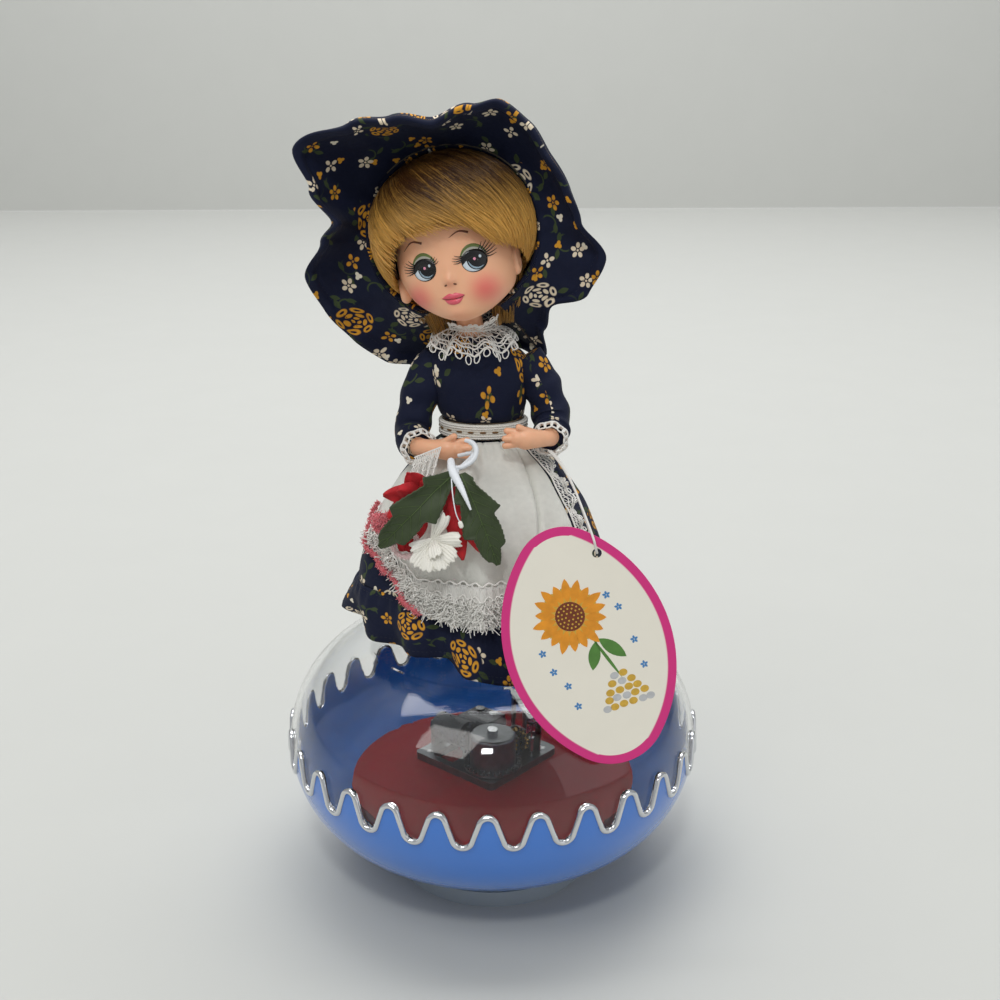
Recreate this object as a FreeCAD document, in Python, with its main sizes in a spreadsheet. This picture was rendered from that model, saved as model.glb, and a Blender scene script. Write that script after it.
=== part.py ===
"""Musical doll bank: a wind-up doll bank, in millimetres, +Z up.

A squat round coin globe has a clear dome over a blue bowl, joined along a
scalloped line.  Inside it a wind-up movement sits on a red floor.  A dressed
doll with a floppy bonnet stands on top, and a card tag hangs from her wrist.
The origin is the centre of the foot ring's resting plane, the doll faces -Y.
"""
import FreeCAD, Part
import Sketcher
import math
import os

from FreeCAD import Placement, Rotation, Vector

doc = FreeCAD.newDocument("MusicalDollBank")

# Driving dimensions
SIZES = {
    # Globe
    "globe_radius": 76.2,
    "globe_middle": 54.7,
    "globe_shoulder": 40.0,
    "globe_top": 99.0,
    "globe_bottom": 13.3,
    "globe_wall": 2.0,
    "wave_count": 28,
    "wave_peak": 61.0,
    "wave_trough": 49.6,
    "wave_peak_radius": 3.0,
    "wave_trough_radius": 3.4,
    "wave_turn": -0.9,
    "wave_gap": 0.4,
    "slot_length": 32.0,
    "slot_width": 3.2,
    "slot_angle": 50.0,
    "cut_overrun": 6.0,
    # Foot ring
    "foot_radius": 37.0,
    "foot_wall": 3.4,
    "foot_step_height": 6.0,
    "foot_groove_height": 1.2,
    "foot_groove_depth": 1.4,
    "foot_upper_inset": 0.6,
    # Coin plug in the underside of the bowl
    "plug_angle": 64.0,
    "plug_hole_radius": 13.0,
    "plug_clearance": 0.1,
    "plug_flange": 1.6,
    "plug_flange_thickness": 1.4,
    "plug_depth": 6.0,
    "plug_wall": 1.6,
    "plug_grip_length": 16.0,
    "plug_grip_width": 2.4,
    "plug_grip_height": 3.0,
    "plug_boss_radius": 16.6,
    # Red floor on its pedestal
    "floor_radius": 54.0,
    "floor_top": 35.0,
    "floor_thickness": 2.0,
    "floor_lip": 4.0,
    "floor_lip_wall": 1.6,
    "pedestal_radius": 15.0,
    "pedestal_wall": 4.0,
    "seat_gap": 0.2,
    "floor_screw_radius": 1.3,
    "floor_screw_head": 2.6,
    "floor_screw_head_height": 1.4,
    "floor_screw_length": 9.0,
    # Movement, in its own frame about the winding axis
    "movement_turn": 49.1,
    "plate_back": 11.5,
    "plate_front": 27.5,
    "plate_side": 9.5,
    "plate_far": 30.5,
    "plate_thickness": 3.0,
    "plate_corner": 2.0,
    "running_gap": 0.05,
    "barrel_radius": 8.8,
    "barrel_height": 12.8,
    "barrel_wall": 0.9,
    "barrel_round": 1.2,
    "barrel_lift": 0.4,
    "crown_inner": 9.5,
    "crown_outer": 11.2,
    "crown_web": 0.9,
    "crown_tooth_height": 1.2,
    "crown_tooth_width": 0.55,
    "crown_teeth": 32,
    "crown_pitch_radius": 10.24,
    "tooth_addendum": 0.42,
    "tooth_dedendum": 0.75,
    "tooth_thickness": 0.62,
    "tooth_tip": 0.38,
    "spring_thickness": 0.3,
    "spring_pitch": 0.72,
    "spring_half_turns": 12,
    "spring_height": 9.6,
    "arbor_radius": 2.0,
    "arbor_top": 54.0,
    "key_bottom": 3.0,
    "key_hub_radius": 3.6,
    "key_hub_height": 9.0,
    "key_wing_span": 24.0,
    "key_wing_thickness": 2.0,
    "key_wing_height": 7.0,
    "key_wing_round": 3.0,
    # Pinned cylinder and comb
    "cylinder_teeth": 20,
    "cylinder_radius": 5.6,
    "cylinder_start": 13.3,
    "cylinder_length": 14.2,
    "cylinder_arbor": 0.8,
    "gear_width": 1.4,
    "pin_height": 0.45,
    "pin_width": 0.34,
    "pins_per_note": 2,
    "bearing_thickness": 1.0,
    "bearing_half_width": 3.0,
    "bearing_crown": 2.2,
    "post_gap": 0.3,
    "comb_teeth": 18,
    "comb_tooth_pitch": 0.8,
    "comb_tooth_width": 0.58,
    "comb_thickness": 0.9,
    "comb_tip_gap": 0.25,
    "comb_tooth_length": 8.6,
    "comb_base_depth": 8.2,
    "comb_base_taper": 2.6,
    "comb_screw_radius": 1.1,
    "comb_screw_head": 1.9,
    "comb_screw_head_height": 1.1,
    "comb_screw_length": 4.0,
    # Governor with its air brake
    "governor_pinion_teeth": 10,
    "governor_wheel_teeth": 14,
    "governor_wheel_radius": 4.5,
    "governor_wheel_place": 15.6,
    "governor_wheel_width": 1.2,
    "governor_arbor": 0.6,
    "governor_near": 12.2,
    "governor_far": 19.4,
    "worm_radius": 1.0,
    "worm_gap": 0.3,
    "worm_length": 6.0,
    "fly_arbor": 0.5,
    "vane_reach": 3.0,
    "vane_height": 3.0,
    "vane_thickness": 0.3,
    "vane_bottom": 48.6,
    "fly_top": 53.0,
    "bracket_thickness": 0.8,
    "bracket_half_width": 2.6,
    "bracket_tab_height": 51.9,
    "bracket_foot_reach": 8.6,
    # Trip lever under the coin slot
    "lever_pad_height": 53.3,
    "lever_thickness": 1.0,
    "lever_width": 3.0,
    "lever_pivot_place": 16.5,
    "lever_paddle_place": 47.0,
    "lever_paddle_length": 13.0,
    "lever_paddle_width": 20.0,
    "lever_pin_radius": 0.6,
    "lever_ear_gap": 0.3,
    "lever_ear_thickness": 1.0,
    # Doll stand inside the skirt
    "stand_seat_radius": 15.0,
    "stand_seat_height": 3.0,
    "stand_stem_radius": 6.0,
    "stand_screw_radius": 2.0,
    "stand_screw_head": 4.0,
    "stand_screw_head_height": 2.4,
    "stand_screw_length": 10.0,
    "stand_washer_radius": 6.5,
    "stand_washer_thickness": 1.0,
    # Doll's body and clothes, about the middle of the waist
    "waist_place": -2.6,
    "waist_height": 171.0,
    "waist_half_width": 14.4,
    "waist_half_depth": 10.6,
    "cloth_thickness": 1.0,
    "cloth_gap": 0.4,
    "waistband_height": 5.6,
    "waistband_thickness": 1.2,
    "bodice_height": 35.5,
    "bodice_half_width": 17.3,
    "bodice_half_depth": 11.5,
    "neck_radius": 4.6,
    "collar_radius": 17.2,
    "collar_back_radius": 10.8,
    "collar_neck_radius": 8.7,
    "collar_neck_height": 38.0,
    "collar_drop": 6.6,
    "collar_fold": 0.9,
    "collar_folds": 9,
    "skirt_length": 52.0,
    "skirt_hem_radius": 43.5,
    "skirt_hem_depth": 41.0,
    "skirt_bell": 7.0,
    "skirt_fold": 1.1,
    "skirt_folds": 12,
    "flounce_radius": 50.0,
    "flounce_drop": 21.0,
    "flounce_fold": 1.2,
    "flounce_folds": 15,
    "flounce_bell": 1.4,
    "apron_offset": 2.9,
    "apron_length": 50.0,
    "apron_fold": 0.9,
    "apron_folds": 24,
    "lace_drop": 9.6,
    "lace_offset": 4.6,
    "sleeve_length": 40.0,
    "cuff_radius": 6.3,
    "cuff_width": 4.0,
    "cuff_bore": 4.9,
    "finger_radius": 1.15,
    # Bouquet, about the middle of its stems
    "bouquet_length": 30.0,
    "leaf_thickness": 0.6,
    "leaf_cup": 1.6,
    "bloom_wall": 0.9,
    "stem_radius": 0.8,
    # Head, hair and bonnet, about the middle of the head
    "head_side": -8.8,
    "head_forward": 8.0,
    "head_lift": 63.6,
    "head_roll": -11.0,
    "head_yaw": -6.6,
    "head_pitch": -7.3,
    "head_half_width": 19.6,
    "head_half_height": 21.2,
    "ear_radius": 3.6,
    "nose_radius": 2.5,
    "hair_rise": 7.7,
    "hair_set_back": 2.9,
    "hair_half_width": 27.4,
    "hair_half_height": 26.0,
    "face_opening_width": 24.1,
    "face_opening_height": 18.3,
    "face_opening_drop": 11.6,
    "crown_clearance": 0.8,
    "crown_puff": 5.6,
    "crown_wall": 1.2,
    "brim_radius": 50.0,
    "brim_gap": 0.4,
    "brim_thickness": 1.6,
    "brim_cup": 2.4,
    # Hang tag and its string
    "tag_front": 51.3,
    "tag_side": 34.6,
    "tag_height": 144.4,
    "tag_length_between": 47.4,
    "tag_top_radius": 16.3,
    "tag_bottom_radius": 18.3,
    "tag_side_radius": 49.7,
    "tag_thickness": 0.7,
    "tag_lean": 11.0,
    "tag_slant": 18.8,
    "tag_hole_radius": 1.6,
    "tag_hole_side": 12.4,
    "tag_hole_rise": 3.8,
    "string_radius": 0.4,
}

sheet = doc.addObject("Spreadsheet::Sheet", "Sizes")
for row, (alias, number) in enumerate(SIZES.items(), start=1):
    sheet.set("A" + str(row), alias.replace("_", " "))
    sheet.set("B" + str(row), str(number))
    sheet.setAlias("B" + str(row), alias)
doc.recompute()


# A number that carries the sheet expression it is worked out from
class Size(float):
    def __new__(cls, number, text):
        size = super().__new__(cls, number)
        size.text = text
        return size

    def __add__(self, other):
        return Size(float(self) + float(other), joined(self, "+", other))

    def __radd__(self, other):
        return Size(float(other) + float(self), joined(other, "+", self))

    def __sub__(self, other):
        return Size(float(self) - float(other), joined(self, "-", other))

    def __rsub__(self, other):
        return Size(float(other) - float(self), joined(other, "-", self))

    def __mul__(self, other):
        return Size(float(self) * float(other), joined(self, "*", other))

    def __rmul__(self, other):
        return Size(float(other) * float(self), joined(other, "*", self))

    def __truediv__(self, other):
        return Size(float(self) / float(other), joined(self, "/", other))

    def __neg__(self):
        return Size(-float(self), "(0 - " + self.text + ")")


def words(value):
    return value.text if isinstance(value, Size) else repr(float(value))


def joined(left, sign, right):
    return "(" + words(left) + " " + sign + " " + words(right) + ")"


def root(value):
    return Size(math.sqrt(value), "sqrt(" + value.text + ")")


def sine(angle):
    return Size(math.sin(math.radians(angle)), "sin(" + angle.text + " * 1 deg)")


def cosine(angle):
    return Size(math.cos(math.radians(angle)), "cos(" + angle.text + " * 1 deg)")


def size(alias):
    return Size(getattr(sheet, alias), "Sizes." + alias)


def bind(piece, prop, value):
    if isinstance(value, Size):
        piece.setExpression(prop, value.text)
    else:
        setattr(piece, prop, value)


# Sketches, bodies and booleans
def origin_feature(body, role):
    return next(item for item in body.Origin.OriginFeatures if item.Role == role)


def draw(body, plane, name, steps, height=None):
    """Closed outline: ("line", x, y) or ("arc", x, y, centre_x, centre_y, counter_clockwise)."""
    sketch = body.newObject("Sketcher::SketchObject", name)
    sketch.AttachmentSupport = [(origin_feature(body, plane), "")]
    sketch.MapMode = "FlatFace"
    if height is not None:
        sketch.setExpression("AttachmentOffset.Base.z", words(height))
    ends = []
    for index, step in enumerate(steps):
        before = steps[index - 1]
        start = Vector(before[1], before[2], 0)
        end = Vector(step[1], step[2], 0)
        if step[0] == "line":
            sketch.addGeometry(Part.LineSegment(start, end), False)
            ends.append((1, 2))
            continue
        centre = Vector(step[3], step[4], 0)
        first, last = (start, end) if step[5] else (end, start)
        begin = math.atan2(first.y - centre.y, first.x - centre.x)
        finish = math.atan2(last.y - centre.y, last.x - centre.x)
        if finish < begin:
            finish += 2 * math.pi
        circle = Part.Circle(centre, Vector(0, 0, 1), (first - centre).Length)
        sketch.addGeometry(Part.ArcOfCircle(circle, begin, finish), False)
        ends.append((1, 2) if step[5] else (2, 1))
    constrain(sketch, steps, ends)
    return sketch


def constrain(sketch, steps, ends):
    count = len(steps)
    for index, step in enumerate(steps):
        after = (index + 1) % count
        join = Sketcher.Constraint("Coincident", index, ends[index][1], after, ends[after][0])
        sketch.addConstraint(join)
        for kind, axis, value in (("DistanceX", -2, step[1]), ("DistanceY", -1, step[2])):
            if float(value) == 0:
                on_axis = Sketcher.Constraint("PointOnObject", index, ends[index][1], axis)
                sketch.addConstraint(on_axis)
                continue
            rule = Sketcher.Constraint(kind, -1, 1, index, ends[index][1], float(value))
            number = sketch.addConstraint(rule)
            if isinstance(value, Size):
                sketch.setExpression("Constraints[" + str(number) + "]", value.text)
        if step[0] == "arc" and len(step) > 6:
            rule = Sketcher.Constraint("Radius", index, float(step[6]))
            number = sketch.addConstraint(rule)
            sketch.setExpression("Constraints[" + str(number) + "]", step[6].text)


def new_body(name):
    return doc.addObject("PartDesign::Body", name)


def revolve(body, name, steps):
    turned = body.newObject("PartDesign::Revolution", name)
    sketch = draw(body, "XZ_Plane", name + "_profile", steps)
    turned.Profile = sketch
    turned.ReferenceAxis = (sketch, ["V_Axis"])
    turned.Angle = 360
    body.Tip = turned
    return turned


def pad(body, name, steps, length, height=None):
    raised = body.newObject("PartDesign::Pad", name)
    raised.Profile = draw(body, "XY_Plane", name + "_outline", steps, height)
    bind(raised, "Length", length)
    body.Tip = raised
    return raised


def pocket(body, name, steps, depth, plane="XY_Plane", height=None, reverse=False):
    sunk = body.newObject("PartDesign::Pocket", name)
    sunk.Profile = draw(body, plane, name + "_outline", steps, height)
    bind(sunk, "Length", depth)
    sunk.Reversed = reverse
    body.Tip = sunk
    return sunk


def polar(body, feature, count):
    ring = body.newObject("PartDesign::PolarPattern", feature.Name + "_ring")
    ring.Originals = [feature]
    ring.Axis = (origin_feature(body, "Z_Axis"), [""])
    ring.Angle = 360
    bind(ring, "Occurrences", count)
    body.Tip = ring
    return ring


def rectangle(x1, y1, x2, y2):
    return [("line", x1, y1), ("line", x2, y1), ("line", x2, y2), ("line", x1, y2)]


def at(piece, x, y, z, rotation=None):
    piece.Placement = Placement(Vector(0, 0, 0), rotation or Rotation())
    for axis, value in (("x", x), ("y", y), ("z", z)):
        if isinstance(value, Size):
            piece.setExpression("Placement.Base." + axis, value.text)
    fixed = [0 if isinstance(value, Size) else value for value in (x, y, z)]
    piece.Placement.Base = Vector(*fixed)
    return piece


def cylinder(name, radius, height, x=0, y=0, z=0, rotation=None):
    piece = doc.addObject("Part::Cylinder", name)
    bind(piece, "Radius", radius)
    bind(piece, "Height", height)
    return at(piece, x, y, z, rotation)


def block(name, x1, x2, y1, y2, z1, z2):
    piece = doc.addObject("Part::Box", name)
    bind(piece, "Length", x2 - x1)
    bind(piece, "Width", y2 - y1)
    bind(piece, "Height", z2 - z1)
    return at(piece, x1, y1, z1)


def fuse(name, pieces):
    whole = doc.addObject("Part::MultiFuse", name)
    whole.Shapes = pieces
    return whole


def cut(name, base, tool):
    left = doc.addObject("Part::Cut", name)
    left.Base = base
    left.Tool = tool
    return left


def group(name, pieces):
    whole = doc.addObject("Part::Compound", name)
    whole.Links = pieces
    return whole


def shaped(name, shape):
    piece = doc.addObject("Part::Feature", name)
    piece.Shape = shape
    return piece


NODES = []


def node(label, piece, placement=None):
    if placement is not None:
        piece.Placement = placement
    piece.Label = label
    NODES.append(piece)


X_AXIS = Vector(1, 0, 0)
Y_AXIS = Vector(0, 1, 0)
Z_AXIS = Vector(0, 0, 1)


# Globe: one shell profile serves the bowl and the dome
def shell_steps(pole, sign, inset, edge):
    """Arcs of one half of the globe's wall face, from the pole to the height of its edge."""
    radius = size("globe_radius") - inset
    shoulder = size("globe_shoulder") - inset
    middle = size("globe_middle")
    reach = size("globe_radius") - size("globe_shoulder")
    rise = (pole - middle) * sign
    crown = crown_radius(rise)
    crown_centre = middle + (rise - crown) * sign
    share = (crown - inset) / (crown - size("globe_shoulder"))
    turn_x = reach * share
    turn_z = crown_centre + (middle - crown_centre) * share
    edge_x = reach + root(shoulder * shoulder - (edge - middle) * (edge - middle))
    return radius, reach, middle, crown_centre, crown, shoulder, turn_x, turn_z, edge_x


def crown_radius(rise):
    """Radius of the flat arc that is tangent to the shoulder and square to the axis."""
    reach = size("globe_radius") - size("globe_shoulder")
    shoulder = size("globe_shoulder")
    span = reach * reach + rise * rise - shoulder * shoulder
    return span / (2 * (rise - shoulder))


def globe_half(name, pole, sign, edge):
    """Turned shell from its pole to its edge, open at the edge."""
    wall = size("globe_wall")
    outer = shell_steps(pole, sign, 0 * wall, edge)
    inner = shell_steps(pole, sign, wall, edge)
    up = sign > 0
    steps = [
        ("line", 0, pole),
        ("arc", outer[6], outer[7], 0, outer[3], not up),
        ("arc", outer[8], edge, outer[1], outer[2], not up),
        ("line", inner[8], edge),
        ("arc", inner[6], inner[7], inner[1], inner[2], up),
        ("arc", 0, pole - wall * sign, 0, inner[3], up),
    ]
    body = new_body(name)
    revolve(body, name + "_shell", steps)
    return body


def wave_flank():
    """Touch points of the straight flank between the peak arc and the trough arc."""
    half = math.pi * size("globe_radius") / size("wave_count")
    peak_z = size("wave_peak") - size("wave_peak_radius")
    trough_z = size("wave_trough") + size("wave_trough_radius")
    span = math.hypot(half, peak_z - trough_z)
    tilt = math.atan2(trough_z - peak_z, half)
    lean = tilt + math.acos((size("wave_peak_radius") + size("wave_trough_radius")) / span)
    return float(half), lean


def wave_cut(body, name, keep_low):
    """Scallops cut through the wall at the front, then repeated all round."""
    half, lean = wave_flank()
    peak_r, trough_r = size("wave_peak_radius"), size("wave_trough_radius")
    lift = size("wave_gap") * (0 if keep_low else 1)
    peak, trough, over = size("wave_peak") + lift, size("wave_trough") + lift, size("cut_overrun")
    peak_z, trough_z = peak - peak_r, trough + trough_r
    px, pz = peak_r * math.cos(lean), peak_z + peak_r * math.sin(lean)
    tx, tz = trough_r * math.cos(lean), trough_z - trough_r * math.sin(lean)
    pitch = size("globe_radius") * math.pi / size("wave_count")
    if keep_low:
        steps = [
            ("line", -pitch, peak + over),
            ("line", -pitch, peak),
            ("arc", px - pitch, pz, -pitch, peak_z, False),
            ("line", -tx, tz),
            ("arc", tx, tz, 0, trough_z, True),
            ("line", pitch - px, pz),
            ("arc", pitch, peak, pitch, peak_z, False),
            ("line", pitch, peak + over),
        ]
    else:
        steps = [
            ("line", -pitch, trough - over),
            ("line", pitch, trough - over),
            ("line", pitch, trough),
            ("arc", pitch - tx, tz, pitch, trough_z, False),
            ("line", px, pz),
            ("arc", -px, pz, 0, peak_z, True),
            ("line", tx - pitch, tz),
            ("arc", -pitch, trough, -pitch, trough_z, False),
        ]
    notch = pocket(body, name, steps, size("globe_radius") + over, "XZ_Plane", None, True)
    return polar(body, notch, size("wave_count"))


def lower_bowl():
    body = globe_half("bowl_shell", size("globe_bottom"), -1, size("wave_peak"))
    wave_cut(body, "bowl_scallop", True)
    turn = Rotation(Z_AXIS, SIZES["wave_turn"] + 180 / SIZES["wave_count"])
    body.Placement = Placement(Vector(0, 0, 0), turn)
    over = size("cut_overrun")
    key_hole = cylinder("bowl_key_hole", size("key_hub_radius") + size("cloth_gap"),
                        size("globe_wall") + 2 * over, 0, 0, size("globe_bottom") - over)
    tools = fuse("bowl_holes", [key_hole, plug_bore()] + floor_screw_holes("bowl"))
    whole = fuse("bowl_whole", [body, plug_boss()])
    node("lower_bowl", cut("bowl_wall", whole, tools))


def upper_dome():
    body = globe_half("dome_shell", size("globe_top"), 1, size("wave_trough") + size("wave_gap"))
    wave_cut(body, "dome_scallop", False)
    turn = Rotation(Z_AXIS, SIZES["wave_turn"])
    body.Placement = Placement(Vector(0, 0, 0), turn)
    over = size("cut_overrun")
    screw_hole = cylinder("dome_screw_hole", size("stand_screw_radius"),
                          size("globe_wall") + 2 * over, 0, 0,
                          size("globe_top") - size("globe_wall") - over)
    tools = fuse("dome_holes", [screw_hole, coin_slot()])
    node("upper_dome", cut("dome_wall", body, tools))


def shoulder_point(angle, sign, lift):
    """A point at an angle on the globe's shoulder arc at the back, a little off its face."""
    reach = size("globe_radius") - size("globe_shoulder")
    arm = size("globe_shoulder") + lift
    return reach + arm * cosine(angle), size("globe_middle") + sign * arm * sine(angle)


def coin_slot():
    over = size("cut_overrun")
    slot = doc.addObject("Part::Box", "coin_slot")
    bind(slot, "Length", size("slot_length"))
    bind(slot, "Width", size("slot_width"))
    bind(slot, "Height", size("globe_wall") + 2 * over)
    angle = size("slot_angle")
    y, z = shoulder_point(angle, 1, -size("globe_wall") - over)
    half = size("slot_width") / 2
    tilt = Rotation(X_AXIS, SIZES["slot_angle"] - 90)
    return at(slot, -size("slot_length") / 2, y - half * sine(angle), z + half * cosine(angle), tilt)


def plug_rotation():
    return Rotation(X_AXIS, 180 - (SIZES["plug_angle"] - 90))


def plug_sag(radius):
    """Depth of the globe's shoulder arc below its crest, across a radius."""
    arm = size("globe_shoulder")
    return arm - root(arm * arm - radius * radius)


def plug_boss():
    """Round boss that carries the plug's flat seat, sunk into the wall."""
    depth = plug_sag(size("plug_boss_radius")) + size("seat_gap") + size("globe_wall") / 2
    y, z = shoulder_point(size("plug_angle"), -1, size("seat_gap") - depth)
    return cylinder("plug_boss", size("plug_boss_radius"), depth, 0, y, z, plug_rotation())


def plug_bore():
    over = size("cut_overrun")
    y, z = shoulder_point(size("plug_angle"), -1, -size("globe_wall") - over)
    return cylinder("plug_bore", size("plug_hole_radius"), size("globe_wall") + 2 * over,
                    0, y, z, plug_rotation())


def coin_plug():
    """Stopper: a cup that fills the hole, a flange outside and a finger bar."""
    radius = size("plug_hole_radius") - size("plug_clearance")
    wall, flange = size("plug_wall"), size("plug_flange_thickness")
    rim = size("plug_hole_radius") + size("plug_flange")
    inner = radius - wall
    depth = size("plug_depth")
    body = new_body("plug_body")
    steps = [
        ("line", 0, 0), ("line", 0, flange), ("line", rim, flange), ("line", rim, 0),
        ("line", radius, 0), ("line", radius, -depth), ("line", inner, -depth), ("line", inner, 0),
    ]
    revolve(body, "plug_cup", steps)
    half, wide = size("plug_grip_length") / 2, size("plug_grip_width") / 2
    pad(body, "plug_grip", rectangle(-half, -wide, half, wide), size("plug_grip_height"), flange)
    y, z = shoulder_point(size("plug_angle"), -1, size("seat_gap"))
    body.Placement.Rotation = plug_rotation()
    body.setExpression("Placement.Base.y", y.text)
    body.setExpression("Placement.Base.z", z.text)
    node("coin_plug", body)


def foot_ring():
    """Stepped resting ring with a groove between its two steps, shaped to the bowl above."""
    outer, wall = size("foot_radius"), size("foot_wall")
    step, groove = size("foot_step_height"), size("foot_groove_height")
    upper = outer - size("foot_upper_inset")
    middle, pole = size("globe_middle"), size("globe_bottom")
    crown = crown_radius(middle - pole)
    centre = pole + crown
    inner = outer - wall
    top_in = centre - root(crown * crown - inner * inner)
    top_out = centre - root(crown * crown - upper * upper)
    steps = [
        ("line", inner, 0), ("line", outer, 0), ("line", outer, step),
        ("line", outer - size("foot_groove_depth"), step),
        ("line", outer - size("foot_groove_depth"), step + groove),
        ("line", upper, step + groove), ("line", upper, top_out),
        ("arc", inner, top_in, 0, centre, False),
    ]
    body = new_body("foot_body")
    revolve(body, "foot_turned", steps)
    node("foot_ring", body)


# Red floor, its pedestal and screws
def pedestal_seat(radius):
    middle, pole = size("globe_middle"), size("globe_bottom")
    crown = crown_radius(middle - pole)
    centre = pole + crown
    inside = crown - size("globe_wall")
    return centre, inside, centre - root(inside * inside - radius * radius)


def red_floor():
    top, thick = size("floor_top"), size("floor_thickness")
    outer, lip, lip_wall = size("floor_radius"), size("floor_lip"), size("floor_lip_wall")
    post = size("pedestal_radius")
    bore = post - size("pedestal_wall")
    centre, inside, low_out = pedestal_seat(post)
    low_in = pedestal_seat(bore)[2]
    steps = [
        ("line", bore, top), ("line", outer, top), ("line", outer, top - lip),
        ("line", outer - lip_wall, top - lip), ("line", outer - lip_wall, top - thick),
        ("line", post, top - thick), ("line", post, low_out),
        ("arc", bore, low_in, 0, centre, False),
    ]
    body = new_body("floor_body")
    revolve(body, "floor_turned", steps)
    web = cylinder("floor_web", bore, thick, 0, 0, top - thick)
    bore_hole = cylinder("floor_arbor_hole", size("arbor_radius") + size("cloth_gap"),
                         thick + 2 * size("cut_overrun"), 0, 0, top - thick - size("cut_overrun"))
    holes = fuse("floor_holes", [bore_hole] + floor_screw_holes("floor") + plate_screw_holes("floor"))
    node("red_floor", cut("floor_drilled", fuse("floor_whole", [body, web]), holes))


FLOOR_SCREW_COUNT = 3
FLOOR_SCREW_START = 90
PLATE_SCREW_PLACES = (("plate_back", -1, "plate_far", 1), ("plate_front", 1, "plate_side", -1),
                      ("plate_front", 1, "plate_far", 1))


def floor_screw_spots():
    ring = size("pedestal_radius") - size("pedestal_wall") / 2
    for index in range(FLOOR_SCREW_COUNT):
        angle = math.radians(FLOOR_SCREW_START + 360 * index / FLOOR_SCREW_COUNT)
        yield ring * math.cos(angle), ring * math.sin(angle)


def floor_screw_holes(prefix):
    low = size("globe_bottom") - size("cut_overrun")
    height = size("floor_screw_length") + size("cut_overrun")
    return [cylinder(prefix + "_screw_hole", size("floor_screw_radius"), height, x, y, low)
            for x, y in floor_screw_spots()]


def floor_screws():
    """Three screws from under the bowl up into the pedestal."""
    pieces = []
    shank_top = size("globe_bottom") + size("floor_screw_length")
    for x, y in floor_screw_spots():
        shank = cylinder("floor_screw_shank", size("floor_screw_radius"),
                         size("floor_screw_length"), x, y, size("globe_bottom"))
        head = cylinder("floor_screw_cap", size("floor_screw_head"), size("floor_screw_head_height"),
                        x, y, size("globe_bottom") - size("floor_screw_head_height"))
        pieces.append(fuse("floor_screw", [shank, head]))
    node("floor_screws", group("floor_screw_set", pieces))


# Movement: everything below is drawn about the winding axis, then turned into place
def movement_place():
    turn = Rotation(Z_AXIS, SIZES["movement_turn"])
    return Placement(Vector(0, 0, 0), turn)


def plate_screw_spots():
    inset = 2 * size("plate_corner")
    for x_name, x_sign, y_name, y_sign in PLATE_SCREW_PLACES:
        yield (size(x_name) - inset) * x_sign, (size(y_name) - inset) * y_sign


def plate_screw_holes(prefix):
    """Clearance holes through the red floor, under the bedplate's screws."""
    turn = movement_place()
    holes = []
    for x, y in plate_screw_spots():
        spot = turn.multVec(Vector(x, y, 0))
        low = size("floor_top") - size("floor_thickness") - size("cut_overrun")
        holes.append(cylinder(prefix + "_plate_hole", size("comb_screw_radius"),
                              size("floor_thickness") + 2 * size("cut_overrun"),
                              spot.x, spot.y, low))
    return holes


def plate_top():
    return size("floor_top") + size("plate_thickness")


def crown_face():
    """Height of the barrel's flange, on which the crown teeth stand."""
    return plate_top() + size("barrel_lift") + size("crown_web")


def crown_pitch_height():
    return crown_face() + size("crown_tooth_height") - size("tooth_addendum")


def pinion_radius(teeth):
    """Pitch radius of a pinion that runs on the crown wheel."""
    return size("crown_pitch_radius") * size(teeth) / size("crown_teeth")


def cylinder_height():
    return crown_pitch_height() + pinion_radius("cylinder_teeth")


def governor_height():
    return crown_pitch_height() + pinion_radius("governor_pinion_teeth")


def comb_bottom():
    return cylinder_height() - size("comb_thickness") / 2


def comb_front():
    return size("cylinder_radius") + size("pin_height") + size("comb_tip_gap") \
        + size("comb_tooth_length")


def comb_end():
    return size("cylinder_start") + size("cylinder_length")


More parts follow.
